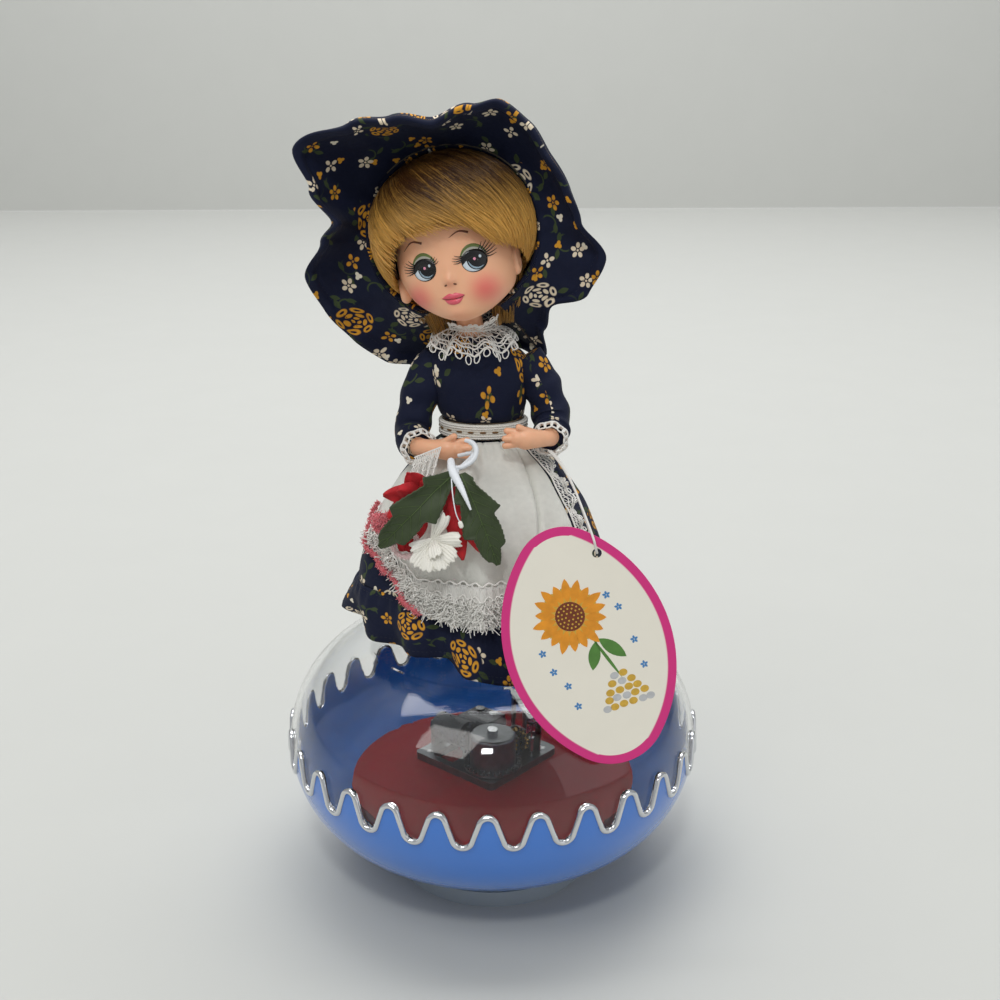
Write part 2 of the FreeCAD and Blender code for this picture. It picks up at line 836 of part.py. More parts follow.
def bedplate():
    """Cast frame: a plate with openings, the comb's bench and the cylinder's far post."""
    back, front = size("plate_back"), size("plate_front")
    side, far, round_ = size("plate_side"), size("plate_far"), size("plate_corner")
    bottom, top = size("floor_top"), plate_top()
    body = new_body("plate_body")
    outline = [
        ("line", front - round_, -side),
        ("arc", front, round_ - side, front - round_, round_ - side, True),
        ("line", front, far - round_),
        ("arc", front - round_, far, front - round_, far - round_, True),
        ("line", round_ - back, far),
        ("arc", -back, far - round_, round_ - back, far - round_, True),
        ("line", -back, round_ - side),
        ("arc", round_ - back, -side, round_ - back, round_ - side, True),
    ]
    pad(body, "plate_slab", outline, size("plate_thickness"), bottom)
    start, length = size("cylinder_start"), size("cylinder_length")
    window = rectangle(round_ * 1.5 - back, start, size("comb_tooth_length"), start + length - 2 * round_)
    pocket(body, "plate_window", window, size("plate_thickness"), "XY_Plane", top)
    bench = block("comb_bench", comb_front(), comb_front() + size("comb_base_depth"),
                  start, comb_end(), bottom, comb_bottom())
    half, thick = size("bearing_half_width"), size("bearing_thickness")
    far_post = block("cylinder_post", -half, half, comb_end() + size("post_gap"),
                     comb_end() + size("post_gap") + thick * 2, bottom,
                     cylinder_height() + size("bearing_crown"))
    near_post = block("cylinder_bearing", -half, half, start - size("post_gap") - thick,
                      start - size("post_gap"), bottom, cylinder_height() + size("bearing_crown"))
    whole = fuse("plate_whole", [body, bench, far_post, near_post])
    over = size("cut_overrun")
    gap = size("running_gap")
    tools = [
        cylinder("plate_arbor_bore", size("arbor_radius") + gap, 3 * over, 0, 0, bottom - over),
        cylinder("cylinder_bore", size("cylinder_arbor") + gap, comb_end(), 0,
                 start - size("post_gap") - thick - over / 2, cylinder_height(),
                 Rotation(X_AXIS, -90)),
        cylinder("fly_step", size("fly_arbor") + gap, over, size("governor_wheel_place"),
                 -fly_offset(), top - size("plate_thickness") / 3),
    ]
    for index, (x, y) in enumerate(plate_screw_spots()):
        tools.append(cylinder("plate_thread", size("comb_screw_radius"),
                              size("plate_thickness") + over, x, y, bottom - over))
    for x, y in comb_screw_spots():
        tools.append(cylinder("bench_thread", size("comb_screw_radius"),
                              size("comb_screw_length") + over, x, y,
                              comb_bottom() + size("comb_thickness") - size("comb_screw_length")))
    node("bedplate", cut("plate_bored", whole, fuse("plate_tools", tools)), movement_place())


def plate_screws():
    """Screws from under the red floor, threaded up through the bedplate's corners."""
    pieces = []
    low = size("floor_top") - size("floor_thickness")
    for x, y in plate_screw_spots():
        shank = cylinder("plate_screw_shank", size("comb_screw_radius"),
                         size("floor_thickness") + size("plate_thickness"), x, y, low)
        head = cylinder("plate_screw_cap", size("comb_screw_head"), size("comb_screw_head_height"),
                        x, y, low - size("comb_screw_head_height"))
        pieces.append(fuse("plate_screw", [shank, head]))
    node("bedplate_screws", group("plate_screw_set", pieces), movement_place())


def comb_screw_spots():
    middle = comb_front() + size("comb_base_depth") * 0.6
    quarter = size("cylinder_length") / 4
    for step in (1, 3):
        yield middle, size("cylinder_start") + quarter * step


def music_comb():
    """Steel comb: a screwed-down base and eighteen tuned teeth cut back along a slant."""
    start, length = size("cylinder_start"), size("cylinder_length")
    front, back = comb_front(), comb_front() + size("comb_base_depth")
    tip = front - size("comb_tooth_length")
    bottom, thick = comb_bottom(), size("comb_thickness")
    pitch, wide = size("comb_tooth_pitch"), size("comb_tooth_width")
    margin = (length - pitch * (size("comb_teeth") - 1) - wide) / 2
    body = new_body("comb_body")
    base = [("line", front - size("comb_base_taper"), start), ("line", back, start),
            ("line", back, start + length), ("line", front, start + length)]
    pad(body, "comb_base", base, thick, bottom)
    tooth = pad(body, "comb_tooth", rectangle(tip, start + margin, front + pitch, start + margin + wide),
                thick, bottom)
    row = body.newObject("PartDesign::LinearPattern", "comb_row")
    row.Originals = [tooth]
    row.Direction = (origin_feature(body, "Y_Axis"), [""])
    bind(row, "Length", pitch * (size("comb_teeth") - 1))
    bind(row, "Occurrences", size("comb_teeth"))
    body.Tip = row
    holes = [cylinder("comb_hole", size("comb_screw_radius"), thick * 3, x, y, bottom - thick)
             for x, y in comb_screw_spots()]
    node("music_comb", cut("comb_drilled", body, fuse("comb_holes", holes)), movement_place())


def comb_screws():
    top = comb_bottom() + size("comb_thickness")
    pieces = []
    for x, y in comb_screw_spots():
        shank = cylinder("comb_screw_shank", size("comb_screw_radius"), size("comb_screw_length"),
                         x, y, top - size("comb_screw_length"))
        head = cylinder("comb_screw_cap", size("comb_screw_head"), size("comb_screw_head_height"),
                        x, y, top)
        pieces.append(fuse("comb_screw", [shank, head]))
    node("comb_screws", group("comb_screw_set", pieces), movement_place())


def spring_barrel():
    """Hollow drum with a crown wheel round its foot."""
    gap = size("running_gap")
    bore, web = size("arbor_radius") + gap, size("crown_web")
    radius, wall = size("barrel_radius"), size("barrel_wall")
    low, face = plate_top() + size("barrel_lift"), crown_face()
    top, curve = face + size("barrel_height"), size("barrel_round")
    inner = radius - wall
    steps = [
        ("line", bore, low), ("line", size("crown_outer"), low), ("line", size("crown_outer"), face),
        ("line", radius, face), ("line", radius, top - curve),
        ("arc", radius - curve, top, radius - curve, top - curve, True),
        ("line", bore, top), ("line", bore, top - wall), ("line", inner, top - wall),
        ("line", inner, face), ("line", bore, face),
    ]
    body = new_body("barrel_body")
    revolve(body, "barrel_drum", steps)
    half = size("crown_tooth_width") / 2
    tooth = pad(body, "crown_tooth",
                rectangle(-half, size("crown_inner"), half, size("crown_outer") - gap),
                size("crown_tooth_height"), face)
    polar(body, tooth, size("crown_teeth"))
    node("spring_barrel", body, movement_place())


def mainspring():
    """Flat steel ribbon coiled inside the drum, one half turn after another."""
    gap, thick, pitch = size("running_gap"), size("spring_thickness"), size("spring_pitch")
    outer = size("barrel_radius") - size("barrel_wall") - gap
    edges_out, edges_in = [], []
    radius, shift, sign = outer, 0 * outer, 1
    for _ in range(int(size("spring_half_turns"))):
        start = Vector(shift + radius * sign, 0, 0)
        end = Vector(shift - radius * sign, 0, 0)
        crest = Vector(shift, radius * sign, 0)
        edges_out.append(Part.Arc(start, crest, end).toShape())
        lean = X_AXIS * thick * sign
        edges_in.append(Part.Arc(start - lean, crest - Y_AXIS * thick * sign, end + lean).toShape())
        shift = shift - pitch / 2 * sign
        radius = radius - pitch / 2
        sign = -sign
    first = Part.LineSegment(edges_in[0].Vertexes[0].Point, edges_out[0].Vertexes[0].Point).toShape()
    last = Part.LineSegment(edges_out[-1].Vertexes[-1].Point,
                            edges_in[-1].Vertexes[-1].Point).toShape()
    outline = Part.Wire(Part.__sortEdges__([first] + edges_out + [last] + edges_in))
    ribbon = Part.Face(outline).extrude(Z_AXIS * size("spring_height"))
    rise = Placement(Z_AXIS * (crown_face() + gap), Rotation())
    node("mainspring", shaped("mainspring_ribbon", ribbon), movement_place().multiply(rise))


def winding_arbor():
    """Steel arbor from the key up through the drum, squared at its lower end."""
    low = size("key_bottom") + size("key_wing_height")
    shaft = cylinder("arbor_shaft", size("arbor_radius"), size("arbor_top") - low, 0, 0, low)
    collar = cylinder("arbor_collar", size("arbor_radius") + size("crown_web"), size("crown_web"),
                      0, 0, size("floor_top") - size("floor_thickness") - size("crown_web")
                      - size("seat_gap"))
    node("winding_arbor", fuse("arbor_whole", [shaft, collar]), movement_place())


def winding_key():
    """Butterfly key: a round hub with a rounded wing plate across it."""
    low, high = size("key_bottom"), size("key_wing_height")
    span, curve = size("key_wing_span") / 2, size("key_wing_round")
    body = new_body("key_body")
    wing = [
        ("line", span - curve, low), ("arc", span, low + curve, span - curve, low + curve, True),
        ("line", span, low + high - curve),
        ("arc", span - curve, low + high, span - curve, low + high - curve, True),
        ("line", curve - span, low + high),
        ("arc", -span, low + high - curve, curve - span, low + high - curve, True),
        ("line", -span, low + curve),
        ("arc", curve - span, low, curve - span, low + curve, True),
    ]
    plate = body.newObject("PartDesign::Pad", "key_wings")
    plate.Profile = draw(body, "XZ_Plane", "key_wing_outline", wing)
    bind(plate, "Length", size("key_wing_thickness"))
    plate.Midplane = True
    body.Tip = plate
    hub = cylinder("key_hub", size("key_hub_radius"), size("key_hub_height"), 0, 0, low + high / 2)
    bore = cylinder("key_bore", size("arbor_radius"), size("key_hub_height"), 0, 0, low + high)
    node("winding_key", cut("key_bored", fuse("key_whole", [body, hub]), bore), movement_place())


def toothed_wheel(name, teeth, radius, width, start_angle):
    """Spur wheel about Z from 0 to its width, with one tooth at the start angle."""
    tip, base = radius + size("tooth_addendum"), radius - size("tooth_dedendum")
    half, top = size("tooth_thickness") / 2, size("tooth_tip") / 2
    foot = half + (half - top)
    body = new_body(name + "_body")
    pad(body, name + "_disc", [("arc", -base, 0, 0, 0, True), ("arc", base, 0, 0, 0, True)], width)
    inside = base - size("tooth_addendum")
    outline = [("line", inside, -foot), ("line", base, -foot), ("line", tip, -top),
               ("line", tip, top), ("line", base, foot), ("line", inside, foot)]
    tooth = pad(body, name + "_tooth", outline, width)
    polar(body, tooth, teeth)
    body.Placement = Placement(Vector(0, 0, 0), Rotation(Z_AXIS, start_angle))
    return body


def music_cylinder():
    """Pinned brass drum with its wheel on one end, both on one arbor."""
    teeth, start, length = size("cylinder_teeth"), size("cylinder_start"), size("cylinder_length")
    radius, thick = size("cylinder_radius"), size("bearing_thickness")
    wheel = toothed_wheel("cylinder_wheel", teeth, pinion_radius("cylinder_teeth"),
                          size("gear_width"), 90 + 180 / SIZES["cylinder_teeth"])
    wheel.setExpression("Placement.Base.z", (size("crown_inner") + size("running_gap")).text)
    drum = cylinder("cylinder_drum", radius, length, 0, 0, start)
    low = size("crown_inner") + size("running_gap")
    arbor = cylinder("cylinder_arbor", size("cylinder_arbor"),
                     comb_end() + size("post_gap") + thick * 2 - low, 0, 0, low)
    whole = fuse("cylinder_whole", [wheel, drum, arbor, melody_pins()])
    turn = Placement(Vector(0, 0, cylinder_height()), Rotation(X_AXIS, -90))
    node("music_cylinder", whole, movement_place().multiply(turn))


PIN_TURN = 137.5
PIN_START = 20.0


def melody_pins():
    """Pins in eighteen tracks, spread round the drum by a steady turn."""
    wide, high = size("pin_width"), size("pin_height")
    radius, pitch = size("cylinder_radius"), size("comb_tooth_pitch")
    margin = (size("cylinder_length") - pitch * (size("comb_teeth") - 1)) / 2
    pins = []
    for note in range(int(size("comb_teeth"))):
        for repeat in range(int(size("pins_per_note"))):
            angle = PIN_START + PIN_TURN * (note + repeat * size("comb_teeth"))
            pin = Part.makeBox(high * 2, wide, wide, Vector(radius - high, -wide / 2, -wide / 2))
            pin.rotate(Vector(0, 0, 0), Z_AXIS, float(angle))
            pin.translate(Z_AXIS * (size("cylinder_start") + margin + pitch * note))
            pins.append(pin)
    return shaped("melody_pins", Part.makeCompound(pins))


def fly_offset():
    return size("governor_wheel_radius") + size("tooth_addendum") + size("worm_gap") \
        + size("worm_radius")


def governor_shaft():
    """Pinion on the crown wheel and the worm's wheel, on one arbor."""
    pinion = toothed_wheel("governor_pinion", size("governor_pinion_teeth"),
                           pinion_radius("governor_pinion_teeth"), size("gear_width"),
                           180 / SIZES["governor_pinion_teeth"])
    low = size("crown_inner") + size("running_gap")
    pinion.setExpression("Placement.Base.z", low.text)
    wheel = toothed_wheel("worm_wheel", size("governor_wheel_teeth"), size("governor_wheel_radius"),
                          size("governor_wheel_width"), 0)
    place = size("governor_wheel_place") - size("governor_wheel_width") / 2
    wheel.setExpression("Placement.Base.z", place.text)
    arbor = cylinder("governor_arbor", size("governor_arbor"),
                     size("governor_far") + size("bracket_thickness") - low, 0, 0, low)
    turn = Placement(Vector(0, 0, governor_height()), Rotation(Y_AXIS, 90))
    whole = fuse("governor_whole", [pinion, wheel, arbor])
    node("governor_wheel", whole, movement_place().multiply(turn))


def governor_fly():
    """Upright arbor with a worm and two braking vanes."""
    x, y = size("governor_wheel_place"), -fly_offset()
    low = plate_top() - size("plate_thickness") / 3
    arbor = cylinder("fly_arbor", size("fly_arbor"), size("fly_top") - low, x, y, low)
    worm = cylinder("fly_worm", size("worm_radius"), size("worm_length"), x, y,
                    governor_height() - size("worm_length") / 2)
    reach, half = size("vane_reach"), size("vane_thickness") / 2
    vanes = block("fly_vanes", x - reach, x + reach, y - half, y + half, size("vane_bottom"),
                  size("vane_bottom") + size("vane_height"))
    node("governor_fly", fuse("fly_whole", [arbor, worm, vanes]), movement_place())


def governor_bracket():
    """Bent steel bracket that carries the governor's arbor and the top of the fly."""
    thick, half = size("bracket_thickness"), size("bracket_half_width")
    near, far = size("governor_near"), size("governor_far")
    top, reach = plate_top(), size("bracket_foot_reach")
    upright = governor_height() + half
    tab = size("bracket_tab_height")
    y, gap = -fly_offset(), size("running_gap")
    wall = size("governor_wheel_radius") + size("tooth_addendum") + size("worm_gap")
    pieces = [
        block("bracket_near", near, near + thick, -half, wall + thick, top, upright),
        block("bracket_far", far, far + thick, y - half / 2, wall + thick, top, upright),
        block("bracket_wall", near, far + thick, wall, wall + thick, top, upright),
        block("bracket_foot", near, far + thick, wall, reach, top, top + thick),
        block("bracket_mast", far, far + thick, y - half / 2, y + half / 2, top, tab + thick),
        block("bracket_tab", size("governor_wheel_place") - half / 2, far + thick,
              y - half / 2, y + half / 2, tab, tab + thick),
    ]
    over = size("cut_overrun")
    tools = [
        cylinder("bracket_bore", size("governor_arbor") + gap, far + over, near - over, 0,
                 governor_height(), Rotation(Y_AXIS, 90)),
        cylinder("fly_pivot", size("fly_arbor") + gap, thick * 3, size("governor_wheel_place"), y,
                 tab - thick),
    ]
    whole = cut("bracket_bored", fuse("bracket_whole", pieces), fuse("bracket_tools", tools))
    node("governor_bracket", whole, movement_place())


# Trip lever, in a frame that runs from the fly towards the coin slot
def lever_place():
    """Origin at the lever's pivot, X towards the paddle."""
    turn = movement_place()
    fly = turn.multVec(Vector(size("governor_wheel_place"), -fly_offset(), 0))
    slot_y = float(shoulder_point(size("slot_angle"), 1, -size("globe_wall"))[0])
    heading = Vector(0, slot_y, 0) - Vector(fly.x, fly.y, 0)
    angle = math.degrees(math.atan2(heading.y, heading.x))
    heading.normalize()
    pivot = fly + heading * size("lever_pivot_place")
    return Placement(Vector(pivot.x, pivot.y, lever_pivot_height()), Rotation(Z_AXIS, angle))


def lever_pivot_height():
    return size("lever_pad_height") + size("lever_thickness") * 2


def trip_lever():
    """Sheet lever: a brake pad over the fly, a pivot and a paddle under the slot."""
    thick, half = size("lever_thickness"), size("lever_width") / 2
    back = size("lever_pivot_place")
    paddle = size("lever_paddle_place") - back
    wide = size("lever_paddle_width") / 2
    long_ = size("lever_paddle_length")
    pin = size("lever_pin_radius") + size("running_gap")
    pieces = [
        block("lever_arm", -back - half, paddle, -half, half, -thick, 0 * thick),
        block("lever_pad", -back - half, half - back, -half, half, -thick * 2, 0 * thick),
        block("lever_paddle", paddle - long_ / 2, paddle + long_ / 2, -wide, wide, -thick, 0 * thick),
        cylinder("lever_tube", pin + thick * 0.6, half * 2, 0, half, -thick, Rotation(X_AXIS, 90)),
    ]
    bore = cylinder("lever_bore", pin, half * 4, 0, half * 2, -thick, Rotation(X_AXIS, 90))
    node("trip_lever", cut("lever_bored", fuse("lever_whole", pieces), bore), lever_place())


def lever_bracket():
    """Two ears on the bedplate with the lever's pivot pin between them."""
    thick, half = size("lever_ear_thickness"), size("lever_width") / 2 + size("lever_ear_gap")
    pin, lift = size("lever_pin_radius"), lever_pivot_height()
    foot = plate_top() - lift
    long_, low = size("lever_width"), -size("lever_thickness")
    pieces = [
        block("lever_ear_left", -long_ / 2, long_ / 2, half, half + thick, foot, -low),
        block("lever_ear_right", -long_ / 2, long_ / 2, -half - thick, -half, foot, -low),
        block("lever_foot", -long_ / 2, long_ / 2, -half - thick, half + thick, foot, foot + thick),
        cylinder("lever_pin", pin, (half + thick) * 2, 0, half + thick, low, Rotation(X_AXIS, 90)),
    ]
    node("lever_bracket", fuse("lever_bracket_whole", pieces), lever_place())


# Doll stand, from the dome's crown up into the doll's body
def doll_stand():
    """Turned post with a seat shaped to the dome."""
    pole, middle = size("globe_top"), size("globe_middle")
    crown = crown_radius(pole - middle)
    centre = pole - crown
    seat, stem = size("stand_seat_radius"), size("stand_stem_radius")
    edge = centre + root(crown * crown - seat * seat)
    top = size("waist_height") - size("waistband_height") / 2
    steps = [
        ("line", 0, pole), ("arc", seat, edge, 0, centre, False),
        ("line", seat, pole + size("stand_seat_height") / 2),
        ("line", stem, pole + size("stand_seat_height") * 2), ("line", stem, top), ("line", 0, top),
    ]
    body = new_body("stand_body")
    revolve(body, "stand_turned", steps)
    hole = cylinder("stand_thread", size("stand_screw_radius"),
                    size("stand_screw_length") + size("cut_overrun"), 0, 0, stand_screw_low())
    node("doll_stand", cut("stand_drilled", body, hole))


def stand_screw_low():
    return size("globe_top") - size("globe_wall") - size("stand_washer_thickness") \
        - washer_sag()


def washer_sag():
    """Drop of the dome's inner face across the washer."""
    crown = crown_radius(size("globe_top") - size("globe_middle")) - size("globe_wall")
    washer = size("stand_washer_radius")
    return crown - root(crown * crown - washer * washer)


def stand_screw():
    """Screw and washer that hold the stand from inside the dome."""
    low = stand_screw_low()
    shank = cylinder("stand_screw_shank", size("stand_screw_radius"), size("stand_screw_length"),
                     0, 0, low)
    head = cylinder("stand_screw_cap", size("stand_screw_head"), size("stand_screw_head_height"),
                    0, 0, low - size("stand_screw_head_height"))
    washer = cylinder("stand_washer", size("stand_washer_radius"), size("stand_washer_thickness"),
                      0, 0, low)
    node("stand_screw", fuse("stand_screw_whole", [shank, head, washer]))


# Doll: every soft piece is drawn about the middle of the waist
def waist_spot(x, y, z):
    return Vector(size("waist_place") + x, y, size("waist_height") + z)


def oval(x, y, z, half_width, half_depth):
    """Level ellipse, its longer axis to the doll's side."""
    ring = Part.Ellipse(waist_spot(x, y, z), half_width, half_depth)
    return Part.Wire(ring.toShape())


def loft(rings, closed=False, ruled=False):
    solid = Part.makeLoft(rings, True, ruled, closed)
    if solid.Volume < 0:
        solid.reverse()
    return solid


def cloth(sections, closed=False):
    """Ruled skin through the upright sections of a hanging cloth."""
    return loft(sections, closed, True)


def strip_section(top, hem, bulge, thickness, side):
    """Closed upright section of hanging cloth, bowed to its outer side."""
    along = hem - top
    across = side - along * (side.dot(along) / along.dot(along))
    across.normalize()
    middle = (top + hem) * 0.5 + across * bulge
    back = across * (-thickness)
    edges = [
        Part.Arc(top, middle, hem).toShape(),
        Part.LineSegment(hem, hem + back).toShape(),
        Part.Arc(hem + back, middle + back, top + back).toShape(),
        Part.LineSegment(top + back, top).toShape(),
    ]
    return Part.Wire(edges)


BACK = 90
STEPS_PER_FOLD = 4


def round_the_doll(folds):
    """Azimuths of the sections of a closed cloth with a count of folds."""
    count = STEPS_PER_FOLD * folds
    return [BACK + 360 * index / count for index in range(count)]


def heading(azimuth):
    angle = math.radians(azimuth)
    return Vector(math.cos(angle), math.sin(angle), 0)


def wave(azimuth, folds):
    return math.cos(math.radians(azimuth) * folds)


# Share of the half width, of the height, of the half width and of the half depth
BODICE_shares = (
    (0.0, 0.168, 0.80, 0.86), (-0.035, 0.254, 0.88, 0.957), (-0.075, 0.535, 0.985, 1.0),
    (-0.116, 0.76, 1.01, 0.87), (-0.15, 0.90, 0.70, 0.70), (-0.185, 1.0, 0.45, 0.61),
)


def bodice_rings(inset):
    """Level rings of the doll's upper body, drawn in by an inset."""
    wide, deep, high = size("bodice_half_width"), size("bodice_half_depth"), size("bodice_height")
    rings = []
    for x, z, width, depth in BODICE_shares:
        rings.append(oval(wide * x, 0, high * z, wide * width - inset, deep * depth - inset))
    return rings


def neck_line():
    """Foot of the neck and its top inside the head."""
    wide, high = size("bodice_half_width"), size("bodice_height")
    foot = waist_spot(wide * BODICE_shares[-1][0], 0, high - size("neck_radius") / 2)
    top = head_place().multVec(Vector(0, size("hair_set_back") * 0.7, -size("head_half_height") * 0.55))
    return foot, top


def rod(name, start, end, radius):
    """Straight round bar between two points."""
    line = Vector(end) - Vector(start)
    piece = cylinder(name, radius, line.Length)
    piece.Placement = Placement(start, Rotation(Z_AXIS, line))
    return piece


def torso():
    """Stuffed body on the stand's stem, with the neck peg on top."""
    gap = size("cloth_thickness") + size("cloth_gap")
    low, share = -size("waistband_height") / 2, BODICE_shares[0]
    wide = size("bodice_half_width") * share[2] - gap
    deep = size("bodice_half_depth") * share[3] - gap
    waist = loft([oval(0, 0, low, wide, deep), oval(0, 0, size("bodice_height") * share[1], wide, deep)])
    pieces = [shaped("torso_form", loft(bodice_rings(gap))), shaped("torso_waist", waist)]
    foot, top = neck_line()
    node("torso", fuse("torso_whole", pieces + [rod("neck", foot, top, size("neck_radius"))]))


def bodice():
    """Printed cotton bodice, open at the neck and the waist."""
    outer = loft(bodice_rings(0))
    inner = loft(bodice_rings(size("cloth_thickness")))
    node("bodice", shaped("bodice_shell", outer.cut(inner)))


def waistband():
    gap, thick = size("seat_gap"), size("waistband_thickness")
    wide, deep = size("waist_half_width"), size("waist_half_depth")
    rings = []
    for reach in (thick, -size("cloth_gap")):
        low = oval(0, 0, gap, wide + reach, deep + reach)
        high = oval(0, 0, size("waistband_height"), wide + reach, deep + reach)
        rings.append(loft([low, high]))
    node("waistband", shaped("waistband_ring", rings[0].cut(rings[1])))


def lace_collar():
    """Gathered lace collar: folds round the neck, short at the back under the hair."""
    folds = int(size("collar_folds"))
    neck, lift = size("collar_neck_radius"), size("collar_neck_height")
    side = size("bodice_half_width") * BODICE_shares[-1][0]
    sections = []
    for azimuth in round_the_doll(folds):
        front = (1 - math.sin(math.radians(azimuth))) / 2
        reach = size("collar_back_radius") * (1 - front) + size("collar_radius") * front
        fold = size("collar_fold") * wave(azimuth - BACK, folds)
        out = heading(azimuth)
        top = waist_spot(side, 0, lift) + out * (neck + fold / 2)
        drop = size("collar_drop") * (reach / size("collar_radius"))
        hem = waist_spot(side, 0, lift - drop + fold) + out * (reach + fold)
        sections.append(strip_section(top, hem, size("collar_fold"), size("cloth_thickness") / 2,
                                      out + Z_AXIS))
    node("lace_collar", shaped("collar_form", cloth(sections, True)))


def skirt_point(azimuth, share, lift=0):
    """Point on the skirt's ring: share 0 at the waist, 1 at the hem."""
    out = heading(azimuth)
    if share == 0:
        wide, deep, z = size("waist_half_width"), size("waist_half_depth"), 0
        fold = 0
    else:
        wide, deep, z = size("skirt_hem_radius"), size("skirt_hem_depth"), -size("skirt_length")
        fold = size("skirt_fold") * wave(azimuth, int(size("skirt_folds")))
    reach = wide * deep / math.hypot(deep * out.x, wide * out.y)
    return waist_spot(0, 0, z) + out * (reach + fold + lift)


def skirt():
    """Gathered skirt from the waistband to the seam of its flounce."""
    sections = []
    for azimuth in round_the_doll(int(size("skirt_folds"))):
        sections.append(strip_section(skirt_point(azimuth, 0), skirt_point(azimuth, 1),
                                      size("skirt_bell"), size("cloth_thickness"), heading(azimuth)))
    node("skirt", shaped("skirt_form", cloth(sections, True)))


# Azimuth, reach as a share of the flounce radius, drop as a share of its drop
FLOUNCE_shares = (
    (0, 1.0, 1.0), (90, 1.0, 1.0), (150, 1.02, 0.86), (180, 1.07, 0.52), (205, 1.01, 0.43),
    (220, 0.965, 0.66), (235, 0.965, 0.66), (250, 0.965, 0.71), (262, 0.965, 1.0),
    (276, 0.97, 1.17), (292, 0.985, 1.12), (330, 0.99, 1.1), (360, 1.0, 1.0),
)


def between(table, azimuth):
    """Values of a table at an azimuth, eased from one row to the next."""
    for low, high in zip(table, table[1:]):
        if low[0] <= azimuth <= high[0]:
            share = (azimuth - low[0]) / (high[0] - low[0])
            share = share * share * (3 - 2 * share)
            return [a + (b - a) * share for a, b in zip(low[1:], high[1:])]
    raise ValueError("no row for azimuth " + str(azimuth))


def flounce_point(azimuth):
    reach, drop = between(FLOUNCE_shares, azimuth % 360)
    fold = size("flounce_fold") * wave(azimuth, int(size("flounce_folds")))
    z = -size("skirt_length") - size("flounce_drop") * drop
    return waist_spot(-size("waist_place") * 0.8, 0, z) + heading(azimuth) * (
        size("flounce_radius") * reach + fold)


def skirt_flounce():
    """Flounce sewn round the skirt; its hem lies on the dome at the front."""
    sections = []
    for azimuth in round_the_doll(int(size("flounce_folds"))):
        top = skirt_point(azimuth, 1) - Z_AXIS * (size("cloth_thickness") * 0.6 + size("seat_gap"))
        sections.append(strip_section(top, flounce_point(azimuth), size("flounce_bell"),
                                      size("cloth_thickness"), heading(azimuth)))
    node("skirt_flounce", shaped("flounce_form", cloth(sections, True)))


APRON_START = 203
APRON_END = 319
APRON_STEPS = 32


def apron_point(azimuth, share):
    """Point on the apron: it lies over the skirt and ends a little above the seam."""
    if share == 0:
        return skirt_point(azimuth, 0) + heading(azimuth) * (
            size("cloth_thickness") * 2 + size("cloth_gap")) - Z_AXIS * size("seat_gap")
    fold = size("apron_fold") * wave(azimuth, int(size("apron_folds")))
    point = skirt_point(azimuth, 1, size("apron_offset") + fold)
    return point + Z_AXIS * (size("skirt_length") - size("apron_length"))


def apron():
    """White apron gathered at the waist, with long folds."""
    sections = []
    for step in range(APRON_STEPS + 1):
        azimuth = APRON_START + (APRON_END - APRON_START) * step / APRON_STEPS
        sections.append(strip_section(apron_point(azimuth, 0), apron_point(azimuth, 1),
                                      size("skirt_bell") + 3 * size("cloth_gap"),
                                      size("cloth_thickness"), heading(azimuth)))
    node("apron", shaped("apron_form", cloth(sections)))


def apron_lace():
    """Wide lace edging along the apron's hem."""
    sections = []
    for step in range(APRON_STEPS + 1):
        azimuth = APRON_START + (APRON_END - APRON_START) * step / APRON_STEPS
        top = apron_point(azimuth, 1) - Z_AXIS * size("seat_gap")
        swing = size("apron_fold") * wave(azimuth, int(size("apron_folds")) * 0.5)
        hem = top + heading(azimuth) * size("lace_offset") - Z_AXIS * (size("lace_drop") + swing)
        sections.append(strip_section(top, hem, size("cloth_gap"), size("cloth_thickness"),
                                      heading(azimuth)))
    node("apron_lace", shaped("apron_lace_form", cloth(sections)))


# Arms: places and radii as shares of the sleeve length
SLEEVE_LEFT_shares = (
    (-0.372, 0.050, 0.662, 0.165), (-0.497, 0.025, 0.475, 0.185), (-0.580, -0.025, 0.237, 0.163),
    (-0.620, -0.113, 0.057, 0.160), (-0.605, -0.287, -0.017, 0.145), (-0.565, -0.400, -0.010, 0.120),
)
SLEEVE_RIGHT_shares = (
    (0.360, 0.050, 0.670, 0.165), (0.470, 0.025, 0.487, 0.180), (0.552, -0.025, 0.325, 0.163),
    (0.600, -0.100, 0.150, 0.170), (0.590, -0.237, 0.065, 0.155), (0.580, -0.350, 0.055, 0.125),
)
HAND_LEFT_shares = (
    (-0.561, -0.406, -0.009, 0.082), (-0.492, -0.495, 0.008, 0.070), (-0.385, -0.540, 0.008, 0.080),
    (-0.293, -0.560, 0.010, 0.098), (-0.230, -0.570, 0.015, 0.080),
)
HAND_RIGHT_shares = (
    (0.579, -0.355, 0.055, 0.082), (0.545, -0.450, 0.070, 0.070), (0.450, -0.535, 0.090, 0.080),
    (0.360, -0.570, 0.105, 0.098), (0.295, -0.580, 0.110, 0.080),
)
FINGER_LEFT_shares = (
    (-0.250, -0.585, 0.070, -0.130, -0.575, 0.090), (-0.240, -0.610, 0.030, -0.115, -0.600, 0.030),
    (-0.245, -0.600, -0.025, -0.133, -0.590, -0.040), (-0.345, -0.575, 0.065, -0.240, -0.610, 0.135),
)
FINGER_RIGHT_shares = (
    (0.312, -0.595, 0.165, 0.205, -0.585, 0.175), (0.300, -0.620, 0.118, 0.188, -0.610, 0.113),
    (0.300, -0.610, 0.065, 0.190, -0.600, 0.048), (0.405, -0.585, 0.150, 0.305, -0.620, 0.215),
)


def arm_spot(share):
    return waist_spot(*[size("sleeve_length") * value for value in share[:3]])


